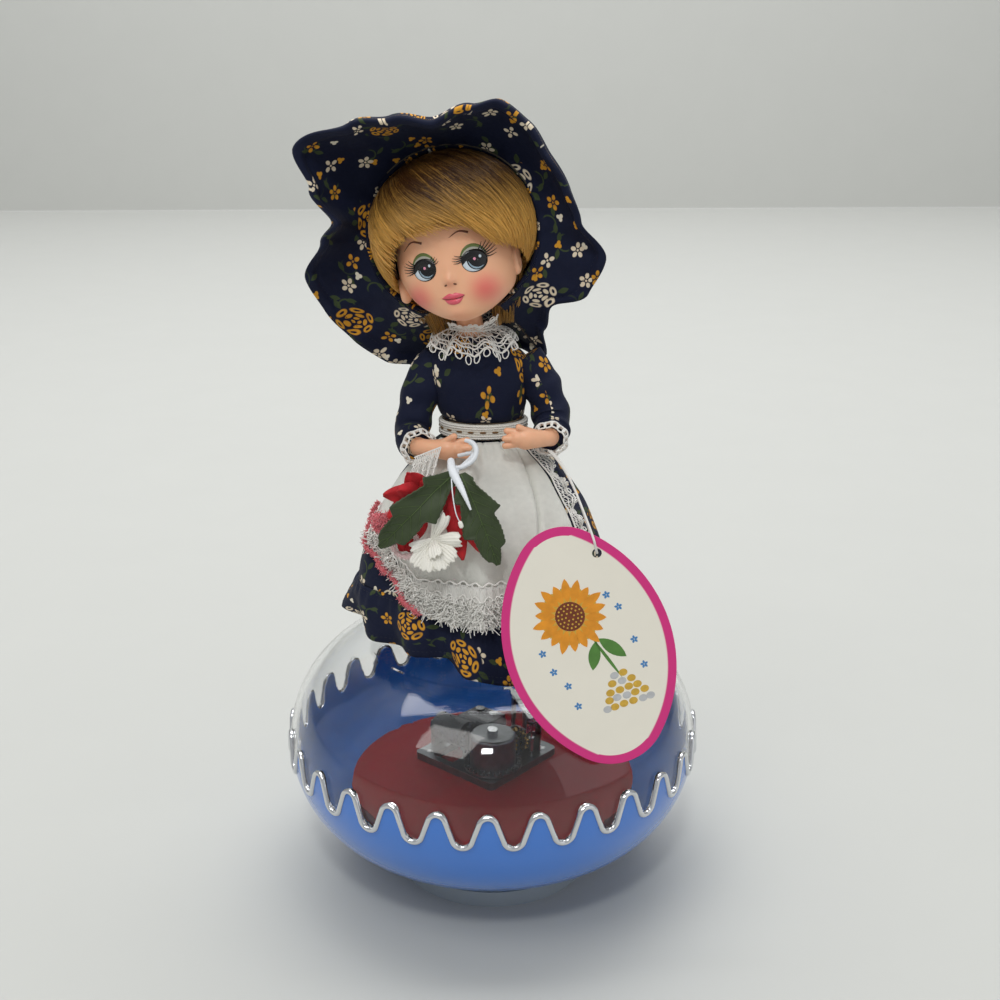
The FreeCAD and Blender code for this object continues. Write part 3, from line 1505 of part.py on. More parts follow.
def limb(shares, lead=None):
    """Loft through round sections square to a bent line; a lead sets the first section's slant."""
    points = [arm_spot(share) for share in shares]
    rings = []
    for index, share in enumerate(shares):
        line = points[min(index + 1, len(points) - 1)] - points[max(index - 1, 0)]
        if index == 0 and lead is not None:
            line = lead
        ring = Part.makeCircle(size("sleeve_length") * share[3], points[index], line)
        rings.append(Part.Wire(ring))
    return loft(rings)


def sleeve(name, shares):
    """Filled sleeve, hollowed at the shoulder where the bodice enters it."""
    body = limb(shares).cut(loft(bodice_rings(-size("cloth_gap") / 2)))
    largest = max(body.Solids, key=lambda solid: solid.Volume)
    node(name, shaped(name + "_form", largest))


def sleeves():
    sleeve("sleeve_left", SLEEVE_LEFT_shares)
    sleeve("sleeve_right", SLEEVE_RIGHT_shares)


def sleeve_end(shares):
    """Middle of the sleeve's open end and the way it points."""
    line = arm_spot(shares[-1]) - arm_spot(shares[-2])
    line.normalize()
    return arm_spot(shares[-1]), line


def hand(name, shares, fingers, sleeve_shares):
    """Forearm and palm with three curled fingers and a thumb."""
    pieces = [shaped(name + "_palm", limb(shares, sleeve_end(sleeve_shares)[1]))]
    radius = size("finger_radius")
    for share in fingers:
        start, end = arm_spot(share[:3]), arm_spot(share[3:])
        pieces.append(rod(name + "_finger", start, end, radius))
        tip = doc.addObject("Part::Sphere", name + "_fingertip")
        bind(tip, "Radius", radius)
        tip.Placement.Base = end
        pieces.append(tip)
    knuckle = doc.addObject("Part::Sphere", name + "_knuckle")
    bind(knuckle, "Radius", size("sleeve_length") * shares[-1][3])
    knuckle.Placement.Base = arm_spot(shares[-1])
    node(name, fuse(name + "_whole", pieces + [knuckle]))


def hands():
    hand("hand_left", HAND_LEFT_shares, FINGER_LEFT_shares, SLEEVE_LEFT_shares)
    hand("hand_right", HAND_RIGHT_shares, FINGER_RIGHT_shares, SLEEVE_RIGHT_shares)


def lace_cuff(name, shares):
    """Lace ring round the forearm, against the end of the sleeve."""
    start, line = sleeve_end(shares)
    start = start + line * size("seat_gap")
    end = start + line * size("cuff_width")
    ring = rod(name + "_ring", start, end, size("cuff_radius"))
    bore = rod(name + "_bore", start - line, end + line, size("cuff_bore"))
    node(name, cut(name + "_form", ring, bore))


def lace_cuffs():
    lace_cuff("cuff_left", SLEEVE_LEFT_shares)
    lace_cuff("cuff_right", SLEEVE_RIGHT_shares)


# Bouquet: places as shares of its length, about the middle of the waist
BLOOM_RED_shares = (
    (-0.33, -1.24, -0.07, -0.98, -1.34, -0.36, 0.27), (-0.29, -1.425, -0.24, -0.10, -1.485, -0.955, 0.21),
    (-0.56, -1.26, -0.43, -0.95, -1.30, -0.91, 0.17),
)
BLOOM_WHITE_shares = ((-0.38, -1.50, -0.46, -0.64, -1.55, -0.95, 0.22),)
LEAF_shares = (
    ((-0.31, -1.46, -0.06, 0.05), (-0.50, -1.58, -0.22, 0.22), (-0.77, -1.69, -0.47, 0.26),
     (-0.98, -1.70, -0.68, 0.17), (-1.12, -1.68, -0.82, 0.03)),
    ((-0.23, -1.46, -0.06, 0.05), (-0.12, -1.60, -0.28, 0.22), (0.0, -1.68, -0.56, 0.27),
     (0.10, -1.70, -0.84, 0.17), (0.17, -1.69, -1.03, 0.03)),
)
STEM_shares = (
    (-0.27, -0.895, -0.02), (-0.10, -1.02, 0.04), (-0.20, -1.16, -0.04), (-0.27, -1.30, -0.06),
    (-0.27, -1.41, -0.07),
)


# Length and width along a bloom, and how flat it lies
BLOOM_RING_shares = ((0.0, 0.32), (0.35, 0.5), (0.75, 0.72), (1.0, 1.0))
BLOOM_FLAT_share = 0.62


def bouquet_spot(share):
    return waist_spot(*[size("bouquet_length") * value for value in share[:3]])


def bloom(name, share):
    """Trumpet of petals, narrow at the stem and open at its mouth."""
    start, end = bouquet_spot(share), bouquet_spot(share[3:])
    line = end - start
    radius, wall = size("bouquet_length") * share[6], size("bloom_wall")
    side = line.cross(Y_AXIS)
    side.normalize()
    deep = side.cross(line)
    deep.normalize()
    forms = []
    for inset in (0 * wall, wall):
        rings = []
        for place, width in BLOOM_RING_shares:
            centre = start + line * place + line * (float(inset) / line.Length)
            wide = radius * width - inset * 0.6
            ring = Part.Ellipse(centre + side * wide, centre + deep * (wide * BLOOM_FLAT_share), centre)
            rings.append(Part.Wire(ring.toShape()))
        forms.append(loft(rings))
    return shaped(name + "_petals", forms[0].cut(forms[1]))


def blooms():
    red = [bloom("red_bloom", share) for share in BLOOM_RED_shares]
    node("red_flowers", group("red_flower_set", red))
    node("white_flower", bloom("white_bloom", BLOOM_WHITE_shares[0]))


def leaf(shares):
    """Thin cupped blade, lofted across its width from stalk to tip."""
    points = [bouquet_spot(share) for share in shares]
    run = points[-1] - points[0]
    side = run.cross(Y_AXIS)
    side.normalize()
    sections = []
    for point, share in zip(points, shares):
        half = side * (size("bouquet_length") * share[3])
        sections.append(strip_section(point - half, point + half, size("leaf_cup") * share[3],
                                      size("leaf_thickness"), -Y_AXIS))
    return loft(sections)


def leaves():
    pieces = [shaped("leaf_blade", leaf(shares)) for shares in LEAF_shares]
    node("leaves", group("leaf_set", pieces))


def bouquet_stems():
    """Paper-wound wire bent down from the hand to the leaves and blooms."""
    points = [bouquet_spot(share) for share in STEM_shares]
    pieces = []
    for start, end in zip(points, points[1:]):
        pieces.append(rod("stem_wire", start, end, size("stem_radius")))
        joint = doc.addObject("Part::Sphere", "stem_bend")
        bind(joint, "Radius", size("stem_radius"))
        joint.Placement.Base = end
        pieces.append(joint)
    node("bouquet_stems", fuse("stem_whole", pieces))


# Head, hair and bonnet, in a frame at the middle of the head
def head_place():
    turn = Rotation(Y_AXIS, SIZES["head_roll"]).multiply(Rotation(Z_AXIS, SIZES["head_yaw"]))
    turn = turn.multiply(Rotation(X_AXIS, SIZES["head_pitch"]))
    centre = waist_spot(size("head_side"), -size("head_forward"), size("head_lift"))
    return Placement(centre, turn)


# Share of the half height, then of the half width: half width, half depth, set-back
HEAD_shares = (
    (-1.0, 0.25, 0.20, -0.49), (-0.864, 0.54, 0.49, -0.345), (-0.591, 0.862, 0.764, -0.172),
    (-0.227, 0.985, 0.911, -0.074), (0.227, 1.0, 0.985, 0.0), (0.591, 0.936, 0.936, 0.0),
    (0.864, 0.665, 0.66, 0.0), (1.0, 0.296, 0.29, 0.0),
)
# Places on the face as shares of the half width and half height
NOSE_shares = (0.0, -0.97, -0.36)
EAR_shares = (0.93, 0.0, -0.36)


def head_form(grow):
    wide, high = size("head_half_width"), size("head_half_height")
    rings = []
    for z, width, depth, back in HEAD_shares:
        centre = Vector(0, wide * back, (high + grow) * z)
        rings.append(Part.Wire(Part.Ellipse(centre, wide * width + grow, wide * depth + grow).toShape()))
    return loft(rings)


def neck_bore(gap):
    """The neck's line in the head's own frame, as a round bar."""
    back = head_place().inverse()
    foot, top = [back.multVec(point) for point in neck_line()]
    line = top - foot
    line.normalize()
    return rod("neck_bore", foot, top + line * size("seat_gap"), size("neck_radius") + gap)


def head():
    """Vinyl head with nose and ears, plugged on the neck."""
    wide, high = size("head_half_width"), size("head_half_height")
    pieces = [shaped("head_form", head_form(0 * wide))]
    nose = doc.addObject("Part::Sphere", "nose")
    bind(nose, "Radius", size("nose_radius"))
    pieces.append(at(nose, 0, wide * NOSE_shares[1], high * NOSE_shares[2]))
    for side in (-1, 1):
        ear = doc.addObject("Part::Sphere", "ear")
        bind(ear, "Radius", size("ear_radius"))
        pieces.append(at(ear, wide * (EAR_shares[0] * side), 0, high * EAR_shares[2]))
    whole = fuse("head_whole", pieces)
    node("head", cut("head_bored", whole, neck_bore(size("running_gap"))), head_place())


def ellipsoid(name, high, wide, deep, y, z):
    piece = doc.addObject("Part::Ellipsoid", name)
    for prop, value in (("Radius1", high), ("Radius2", wide), ("Radius3", deep)):
        bind(piece, prop, value)
    return at(piece, 0, y, z)


def hair():
    """Thick cap of hair, open over the face."""
    wide, high = size("hair_half_width"), size("hair_half_height")
    back, rise = size("hair_set_back"), size("hair_rise")
    cap = ellipsoid("hair_cap", high, wide, high, back, rise)
    ring = Part.Ellipse(Vector(0, 0, 0), size("face_opening_width"), size("face_opening_height"))
    window = Part.Face(Part.Wire(ring.toShape())).extrude(Z_AXIS * (2 * high))
    window.rotate(Vector(0, 0, 0), X_AXIS, 90)
    window.translate(Vector(0, back, -size("face_opening_drop")))
    clear = shaped("hair_inside", head_form(size("seat_gap")))
    ear_height = size("head_half_height") * EAR_shares[2]
    ears = [rod("ear_room", Vector(-2 * wide, 0, ear_height), Vector(2 * wide, 0, ear_height),
                size("ear_radius") + size("cloth_gap"))]
    tools = fuse("hair_tools", [clear, shaped("face_window", window), neck_bore(size("cloth_gap"))]
                 + ears)
    node("hair", cut("hair_form", cap, tools), head_place())


def bonnet_crown():
    """Puffed cap over the back of the head."""
    gap, wall = size("crown_clearance"), size("crown_wall")
    wide, high = size("hair_half_width") + gap, size("hair_half_height") + gap
    back, rise, puff = size("hair_set_back"), size("hair_rise"), size("crown_puff")
    outer = ellipsoid("crown_outside", high + wall, wide + wall, high + wall + puff, back, rise)
    inner = ellipsoid("crown_inside", high, wide, high + puff, back, rise)
    front = back + size("seat_gap")
    reach = 2 * (high + wall + puff)
    half = block("crown_back_half", -reach, reach, front, front + reach, rise - reach, rise + reach)
    keep = doc.addObject("Part::Common", "crown_half")
    keep.Base = cut("crown_wall_form", outer, inner)
    keep.Tool = half
    nape = neck_bore(3 * size("cloth_gap"))
    node("bonnet_crown", cut("crown_form", keep, nape), head_place())


# Azimuth, reach and forward throw of the brim's edge as shares of the brim radius
BRIM_shares = (
    (-66.7, 0.967, -0.527), (-59.3, 0.836, -0.374), (-48.2, 0.801, -0.222), (-34.5, 0.979, -0.143),
    (-20.1, 1.029, -0.058), (-5.6, 0.863, 0.068), (9.0, 0.834, 0.135), (25.2, 0.818, 0.214),
    (41.4, 0.867, 0.255), (54.8, 0.890, 0.330), (65.2, 0.795, 0.428), (82.5, 0.677, 0.490),
    (101.5, 0.751, 0.525), (119.2, 0.859, 0.519), (140.1, 1.081, 0.363), (152.0, 0.899, 0.324),
    (164.5, 0.679, 0.396), (174.0, 0.787, 0.318), (187.1, 1.000, 0.122), (200.7, 1.009, -0.033),
    (214.5, 1.027, -0.230), (228.2, 1.038, -0.390), (239.4, 0.990, -0.500),
)


BRIM_STEPS = 3


def brim_azimuths():
    """Azimuths of the brim's measured rows, with steps between them."""
    azimuths = []
    for low, high in zip(BRIM_shares, BRIM_shares[1:]):
        azimuths += [low[0] + (high[0] - low[0]) * step / BRIM_STEPS for step in range(BRIM_STEPS)]
    return azimuths + [BRIM_shares[-1][0]]


def bonnet_brim():
    """Floppy double brim, gathered on the crown, waved at its edge and open at the nape."""
    rise, back, reach = size("hair_rise"), size("hair_set_back"), size("brim_radius")
    wide = size("hair_half_width") + size("crown_clearance") + size("crown_wall") + size("brim_gap")
    high = size("hair_half_height") + size("crown_clearance") + size("crown_wall") + size("brim_gap")
    sections = []
    for azimuth in brim_azimuths():
        out_share, throw_share = between(BRIM_shares, azimuth)
        angle = math.radians(azimuth)
        out = Vector(math.cos(angle), 0, math.sin(angle))
        ring = wide * high / math.hypot(high * out.x, wide * out.z)
        top = Vector(0, back, rise) + out * ring
        hem = Vector(0, -reach * throw_share, rise) + out * (reach * out_share)
        sections.append(strip_section(top, hem, size("brim_cup"), size("brim_thickness"), Y_AXIS))
    node("bonnet_brim", shaped("brim_form", cloth(sections)), head_place())


# Hang tag and its string
def tag_place():
    """Origin at the hole: X across the card, Y up its slope."""
    lean = Rotation(X_AXIS, 90 - SIZES["tag_lean"])
    hole = Vector(size("tag_side"), -size("tag_front"), size("tag_height"))
    return Placement(hole, lean.multiply(Rotation(Z_AXIS, SIZES["tag_slant"])))


def hang_tag():
    """Egg-shaped card drawn from four tangent arcs, with its string hole."""
    small, large, side = size("tag_top_radius"), size("tag_bottom_radius"), size("tag_side_radius")
    length, thick = size("tag_length_between"), size("tag_thickness")
    x, y = -size("tag_hole_side"), -size("tag_hole_rise")
    # Centre of the side arcs, from their distance to the two end centres
    up, low = side - small, side - large
    drop = (length * length + up * up - low * low) / (2 * length)
    off = root(up * up - drop * drop)
    reach_up, reach_low = side / up, side / low
    steps = [
        ("arc", x - off + off * reach_up, y - drop + drop * reach_up, x - off, y - drop, True),
        ("arc", x + off - off * reach_up, y - drop + drop * reach_up, x, y, True),
        ("arc", x + off - off * reach_low, y - drop + (drop - length) * reach_low,
         x + off, y - drop, True),
        ("arc", x - off + off * reach_low, y - drop + (drop - length) * reach_low,
         x, y - length, True),
    ]
    body = new_body("tag_body")
    pad(body, "tag_card", steps, thick, -thick / 2)
    hole = cylinder("tag_hole", size("tag_hole_radius"), thick * 3, 0, 0, -thick * 1.5)
    node("hang_tag", cut("tag_punched", body, hole), tag_place())


STRING_ROUTE = (
    (19.6, -20.3, 170.2), (25.2, -23.0, 166.0), (33.0, -52.6, 151.4), (34.5, -52.7, 145.0),
    (34.8, -50.0, 144.0), (26.0, -22.4, 165.6), (20.4, -20.1, 170.0),
)


def tag_string():
    """Thread from the wrist down through the tag's hole and back up to the wrist."""
    points = [Vector(*point) for point in STRING_ROUTE]
    edges, last = [], points[0]
    runs = [(b - a).Length for a, b in zip(points, points[1:])]
    for index in range(1, len(points) - 1):
        into = points[index] - points[index - 1]
        out = points[index + 1] - points[index]
        turn = into.getAngle(out)
        radius = 0.45 * min(runs[index - 1], runs[index]) / math.tan(turn / 2)
        cut_back = radius * math.tan(turn / 2)
        into.normalize()
        out.normalize()
        begin, finish = points[index] - into * cut_back, points[index] + out * cut_back
        inward = out - into
        inward.normalize()
        crest = points[index] + inward * (radius / math.cos(turn / 2) - radius)
        edges.append(Part.LineSegment(last, begin).toShape())
        edges.append(Part.Arc(begin, crest, finish).toShape())
        last = finish
        print("string bend radius", round(radius, 2))
    edges.append(Part.LineSegment(last, points[-1]).toShape())
    path = Part.Wire(edges)
    ring = Part.makeCircle(size("string_radius"), points[0], points[1] - points[0])
    tube = path.makePipeShell([Part.Wire(ring)], True, False)
    wanted = math.pi * size("string_radius") * size("string_radius") * path.Length
    print("string length", round(path.Length, 1), "volume share", round(tube.Volume / wanted, 4))
    node("tag_string", shaped("string_tube", tube))


# Build everything, check it and write one file for each sub-part
MAKERS = [
    lower_bowl, upper_dome, coin_plug, foot_ring, red_floor, floor_screws, bedplate, plate_screws,
    music_comb, comb_screws, spring_barrel, mainspring, winding_arbor, winding_key, music_cylinder,
    governor_shaft, governor_fly, governor_bracket, trip_lever, lever_bracket, doll_stand,
    stand_screw, torso, bodice, waistband, lace_collar, skirt, skirt_flounce, apron, apron_lace,
    sleeves, hands, lace_cuffs, bouquet_stems, blooms, leaves, head, hair, bonnet_crown,
    bonnet_brim, hang_tag, tag_string,
]


def build():
    for make in MAKERS:
        make()
    doc.recompute()
    for item in doc.Objects:
        if "Invalid" in item.State or "Error" in item.State:
            raise RuntimeError("failed: " + item.Name + " " + str(item.State))
    os.makedirs("parts", exist_ok=True)
    for piece in NODES:
        shape = piece.Shape
        if shape.isNull() or not shape.isValid() or shape.Volume <= 0:
            raise RuntimeError("bad shape: " + piece.Label)
        shape.exportStep(os.path.join("parts", piece.Label + ".step"))
        print(piece.Label, round(shape.Volume, 1), len(shape.Solids))


build()
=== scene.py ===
"""Musical doll bank, dressed: a clear coin globe with a wind-up movement, and a doll in calico on top.

Lengths in the functions are millimetres until a mesh is made; the middle of the foot is the origin.
"""

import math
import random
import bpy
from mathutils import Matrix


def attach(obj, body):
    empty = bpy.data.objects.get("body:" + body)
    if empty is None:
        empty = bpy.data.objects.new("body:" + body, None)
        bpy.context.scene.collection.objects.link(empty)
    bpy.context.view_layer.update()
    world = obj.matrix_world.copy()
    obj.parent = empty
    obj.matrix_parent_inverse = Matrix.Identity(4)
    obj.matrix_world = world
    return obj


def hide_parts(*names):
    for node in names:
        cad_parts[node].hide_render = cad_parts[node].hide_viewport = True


bl_info = {
    "name": "Musical Doll Bank",
    "version": (1, 0, 0),
    "blender": (4, 5, 0),
    "location": "View3D > Sidebar > Doll Bank",
    "description": "Builds the globe, the movement, the dressed doll and the hang tag of a musical bank",
    "category": "Add Mesh",
}

import bmesh
import bpy
from mathutils import Matrix, Vector, noise
from mathutils.bvhtree import BVHTree

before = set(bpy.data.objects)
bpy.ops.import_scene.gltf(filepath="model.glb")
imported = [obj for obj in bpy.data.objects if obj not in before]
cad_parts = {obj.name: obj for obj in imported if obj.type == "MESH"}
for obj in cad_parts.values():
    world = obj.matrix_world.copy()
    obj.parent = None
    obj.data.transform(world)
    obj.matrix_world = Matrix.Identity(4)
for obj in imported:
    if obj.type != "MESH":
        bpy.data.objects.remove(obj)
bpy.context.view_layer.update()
MM = 0.001
TURN = 2 * math.pi
# Direction, askew to every tube, from which the first row of a tube is turned
TUBE_START = (0.31, 0.22, 0.93)


def dye(code):
    """Linear colour of a hex code."""
    parts = [int(code[i:i + 2], 16) / 255 for i in (1, 3, 5)]
    return tuple(p / 12.92 if p <= 0.04045 else ((p + 0.055) / 1.055) ** 2.4 for p in parts) + (1.0,)


def colour_choice(name, text, code):
    return bpy.props.FloatVectorProperty(
        name=name, description=text, subtype="COLOR", size=4, min=0, max=1, default=dye(code))


def length_choice(name, text, value):
    return bpy.props.FloatProperty(name=name, description=text, unit="LENGTH", default=value * MM)


# Settings that a user would change
class GlobeChoices(bpy.types.PropertyGroup):
    radius: length_choice("Radius", "Half width of the globe", 76.2)
    middle: length_choice("Middle", "Height of the globe's widest line", 54.7)
    shoulder: length_choice("Shoulder", "Radius of the globe's rounded side", 40.0)
    wave_peak: length_choice("Wave peak", "Height of the scallops' peaks", 61.0)
    wave_trough: length_choice("Wave trough", "Height of the scallops' troughs", 49.6)
    bead_width: length_choice("Bead width", "Width of the bright bead on the scallops", 2.0)
    wave_count: bpy.props.IntProperty(name="Scallops", description="Scallops round the globe", default=28)
    bowl: colour_choice("Bowl", "Colour of the lower bowl", "#3877cf")
    floor: colour_choice("Floor", "Colour of the floor inside", "#860912")


class DressChoices(bpy.types.PropertyGroup):
    hem_radius: length_choice("Hem radius", "Half width of the skirt at its seam", 43.5)
    skirt_length: length_choice("Skirt length", "Waist to the seam of the flounce", 52.0)
    flounce_radius: length_choice("Flounce radius", "Half width of the flounce's hem", 50.0)
    brim_radius: length_choice("Brim radius", "Reach of the bonnet's brim", 50.0)
    navy: colour_choice("Ground", "Ground colour of the printed cotton", "#0d1530")
    cream: colour_choice("Cream", "Pale flowers of the print", "#e8e0cc")
    gold: colour_choice("Gold", "Gold flowers of the print", "#d2952c")
    olive: colour_choice("Olive", "Leaves of the print", "#3d4a2a")
    apron: colour_choice("Apron", "Colour of the apron", "#dcdcd4")


class DollChoices(bpy.types.PropertyGroup):
    skin: colour_choice("Skin", "Colour of the vinyl", "#efb48e")
    blush: colour_choice("Blush", "Colour of the cheeks", "#e0655f")
    lips: colour_choice("Lips", "Colour of the lips", "#de5c6c")
    hair_light: colour_choice("Hair", "Colour of the hair's ends", "#dba650")
    # Painted shade: the hair's colour where the bonnet shades it, darkest at the top of the head
    hair_in_shade: colour_choice("Hair in shade", "Colour of the hair under the bonnet", "#3d1f08")
    strands: bpy.props.IntProperty(name="Strands", description="Strands in the whole wig", default=9000)


class TrimChoices(bpy.types.PropertyGroup):
    lace: colour_choice("Lace", "Colour of the lace", "#eceae4")
    red: colour_choice("Red petals", "Colour of the velvet flowers", "#b3111c")
    leaf: colour_choice("Leaves", "Colour of the fabric leaves", "#2f3d1c")
    card_edge: colour_choice("Card edge", "Colour of the tag's border", "#d12a7c")
    card: colour_choice("Card", "Colour of the tag's face", "#e9e4d6")


class StageChoices(bpy.types.PropertyGroup):
    lens: bpy.props.FloatProperty(name="Lens", description="Focal length in millimetres", default=48.6)
    tilt: bpy.props.FloatProperty(
        name="Tilt", description="Camera's tilt below the horizon", subtype="ANGLE", default=0.320)
    roll: bpy.props.FloatProperty(name="Roll", description="Camera's roll", subtype="ANGLE", default=-0.004)
    paper: colour_choice("Backdrop", "Colour of the table and the wall", "#bcbdb8")


CHOICES = (("bank_globe", GlobeChoices), ("bank_dress", DressChoices), ("bank_doll", DollChoices),
           ("bank_trim", TrimChoices), ("bank_stage", StageChoices))


# Meshes
def add_piece(name, mesh, *materials):
    piece = bpy.data.objects.new(name, mesh)
    bpy.context.scene.collection.objects.link(piece)
    for material in materials:
        mesh.materials.append(material)
    return piece


def tidy(mesh):
    """Merges doubles, turns the faces outwards and shades them smooth."""
    work = bmesh.new()
    work.from_mesh(mesh)
    bmesh.ops.remove_doubles(work, verts=work.verts, dist=1e-6)
    bmesh.ops.dissolve_degenerate(work, dist=1e-7, edges=work.edges)
    bmesh.ops.recalc_face_normals(work, faces=work.faces)
    work.to_mesh(mesh)
    work.free()
    mesh.shade_smooth()
    return mesh


def skin(name, rows, wrap=False, close=False, spread=None, caps=False):
    """Quads through rows of points; wrap joins the ends of each row, close the first row to the last."""
    across, down = len(rows[0]), len(rows)
    mesh = bpy.data.meshes.new(name)
    faces, places = [], []
    for r in range(down - (not close)):
        for c in range(across - (not wrap)):
            c2, r2 = (c + 1) % across, (r + 1) % down
            faces.append((r * across + c, r * across + c2, r2 * across + c2, r2 * across + c))
            places += [(c, r), (c + 1, r), (c + 1, r + 1), (c, r + 1)]
    if caps:
        for r, back in ((0, True), (down - 1, False)):
            ring = [r * across + c for c in range(across)]
            faces.append(tuple(reversed(ring)) if back else tuple(ring))
            places += [(c, r) for c in (reversed(range(across)) if back else range(across))]
    mesh.from_pydata([tuple(p * MM) for row in rows for p in row], [], faces)
    if spread:
        layer = mesh.uv_layers.new(name="cloth")
        for loop, place in zip(layer.data, places):
            loop.uv = [value * MM for value in spread(*place)]
    return tidy(mesh)


def skinned(name, key, rows, *choices, **more):
    """Piece with one skin through rows of points."""
    return add_piece(name, skin(name, rows, *choices, **more), FINISHES[key])


def wall(piece, thickness):
    """Gives a skin its thickness, half to each side."""
    solid = piece.modifiers.new("Thickness", "SOLIDIFY")
    solid.thickness, solid.offset = thickness * MM, 0.0
    return piece


def plain_mesh(piece):
    """Replaces a piece's mesh by what its modifiers make of it."""
    graph = bpy.context.evaluated_depsgraph_get()
    graph.update()
    made = bpy.data.meshes.new_from_object(piece.evaluated_get(graph), preserve_all_data_layers=True,
                                           depsgraph=graph)
    old = piece.data
    piece.modifiers.clear()
    piece.data = made
    made.name = piece.name
    bpy.data.meshes.remove(old)
    return piece


def melt(piece, voxel, rounds):
    """Grows overlapping forms into one skin."""
    fused = piece.modifiers.new("Fused", "REMESH")
    fused.mode, fused.voxel_size, fused.use_smooth_shade = "VOXEL", voxel * MM, True
    eased = piece.modifiers.new("Eased", "SMOOTH")
    eased.factor, eased.iterations = 0.5, rounds
    plain_mesh(piece)
    piece.data.shade_smooth()
    return piece


def place_piece(piece, body, slot=None, *nodes):
    if nodes:
        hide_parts(*nodes)
    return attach(piece, body)


def lay_threads(name, lines, key, radius, sides, body, slot=None, *nodes):
    """Piece of round threads along lines."""
    piece = grow(name, lines, "thread", FINISHES[key], Radius=radius, Sides=sides)
    return place_piece(piece, body, slot, *nodes)


def lay_stitches(name, lines, key, spacing, width, length, body, slot):
    """Piece of short stitches along lines."""
    piece = grow(name, lines, "stitch", FINISHES[key], Spacing=spacing, Width=width, Length=length)
    return place_piece(piece, body, slot)


def cloth_forms(name, forms, key, thickness, slot, solid):
    """Piece of several cut cloth forms, with their thickness."""
    piece = add_piece(name, joined(name, forms), FINISHES[key])
    piece.data.shade_smooth()
    wall(piece, thickness)
    return place_piece(piece, "base", slot, solid)


def through(rows, steps):
    """Smooth run through rows of numbers, with a count of steps from each to the next."""
    made, last = [], len(rows) - 1
    for index in range(last):
        p0, p1, p2, p3 = (rows[max(0, min(last, index + k))] for k in (-1, 0, 1, 2))
        for step in range(steps):
            t = step / steps
            made.append([0.5 * (2 * b + (c - a) * t + (2 * a - 5 * b + 4 * c - d) * t * t
                                + (3 * b - a - 3 * c + d) * t ** 3) for a, b, c, d in zip(p0, p1, p2, p3)])
    return made + [list(rows[-1])]


def ease(t):
    t = max(0.0, min(1.0, t))
    return t * t * (3 - 2 * t)


def between(table, azimuth):
    for low, high in zip(table, table[1:]):
        if low[0] <= azimuth <= high[0]:
            share = ease((azimuth - low[0]) / (high[0] - low[0]))
            return [a + (b - a) * share for a, b in zip(low[1:], high[1:])]
    return list(table[-1][1:])


def at_step(line, place):
    """Point on a line of points, part of the way from one to the next."""
    low = int(place)
    return line[low] + (line[low + 1] - line[low]) * (place - low)


def wander(point, size, seed=0.0):
    """Soft noise about nought for a point, with lumps of a size in millimetres."""
    return noise.noise(Vector(point) / size + Vector((seed, seed * 1.7, -seed)))


def heading(azimuth):
    return Vector((math.cos(math.radians(azimuth)), math.sin(math.radians(azimuth)), 0))


def strip(top, hem, bulge, side, steps):
    """Bowed line from the top of a hanging cloth to its hem."""
    along = hem - top
    across = side - along * (side.dot(along) / along.dot(along))
    across.normalize()
    return [top + along * t + across * (bulge * 4 * t * (1 - t))
            for t in (step / (steps - 1) for step in range(steps))], across


def tube_rows(points, radii, around, shape=None):
    """Round rows square to a bent line."""
    rows, up = [], Vector(TUBE_START)
    for index, point in enumerate(points):
        line = points[min(index + 1, len(points) - 1)] - points[max(index - 1, 0)]
        line.normalize()
        side = line.cross(up)
        side.normalize()
        up = side.cross(line)
        row = []
        for step in range(around):
            angle = TURN * step / around
            reach = radii[index] * (shape(index, angle) if shape else 1)
            row.append(point + (side * math.cos(angle) + up * math.sin(angle)) * reach)
        rows.append(row)
    return rows


# Geometry node trees for threads and stitches
def new_tree(name, *sizes):
    tree = bpy.data.node_groups.new(name, "GeometryNodeTree")
    tree.interface.new_socket("Geometry", in_out="INPUT", socket_type="NodeSocketGeometry")
    for label, kind in sizes:
        tree.interface.new_socket(label, in_out="INPUT", socket_type=kind)
    tree.interface.new_socket("Geometry", in_out="OUTPUT", socket_type="NodeSocketGeometry")
    return tree, tree.nodes.new("NodeGroupInput"), tree.nodes.new("NodeGroupOutput")


def node(tree, kind, **sockets):
    made = tree.nodes.new(kind)
    for label, value in sockets.items():
        slot = made.inputs[label.replace("_", " ")]
        if isinstance(value, bpy.types.NodeSocket):
            tree.links.new(value, slot)
        else:
            slot.default_value = value
    return made


def end_tree(tree, geometry, given, out):
    """Closes a tree: real geometry, smooth, with its material."""
    real = node(tree, "GeometryNodeRealizeInstances", Geometry=geometry)
    smooth = node(tree, "GeometryNodeSetShadeSmooth", Geometry=real.outputs[0])
    dressed = node(tree, "GeometryNodeSetMaterial", Geometry=smooth.outputs[0],
                   Material=given.outputs["Material"])
    tree.links.new(dressed.outputs[0], out.inputs[0])
    return tree


def thread_tree():
    """Round thread along each line of edges, thinned by its taper attribute."""
    tree, given, out = new_tree("Thread", ("Radius", "NodeSocketFloat"), ("Sides", "NodeSocketInt"),
                                ("Material", "NodeSocketMaterial"))
    line = node(tree, "GeometryNodeMeshToCurve", Mesh=given.outputs["Geometry"])
    ring = node(tree, "GeometryNodeCurvePrimitiveCircle", Resolution=given.outputs["Sides"],
                Radius=given.outputs["Radius"])
    taper = node(tree, "GeometryNodeInputNamedAttribute", Name="taper")
    round_ = node(tree, "GeometryNodeCurveToMesh", Curve=line.outputs[0], Profile_Curve=ring.outputs[0],
                  Scale=taper.outputs["Attribute"], Fill_Caps=True)
    return end_tree(tree, round_.outputs[0], given, out)


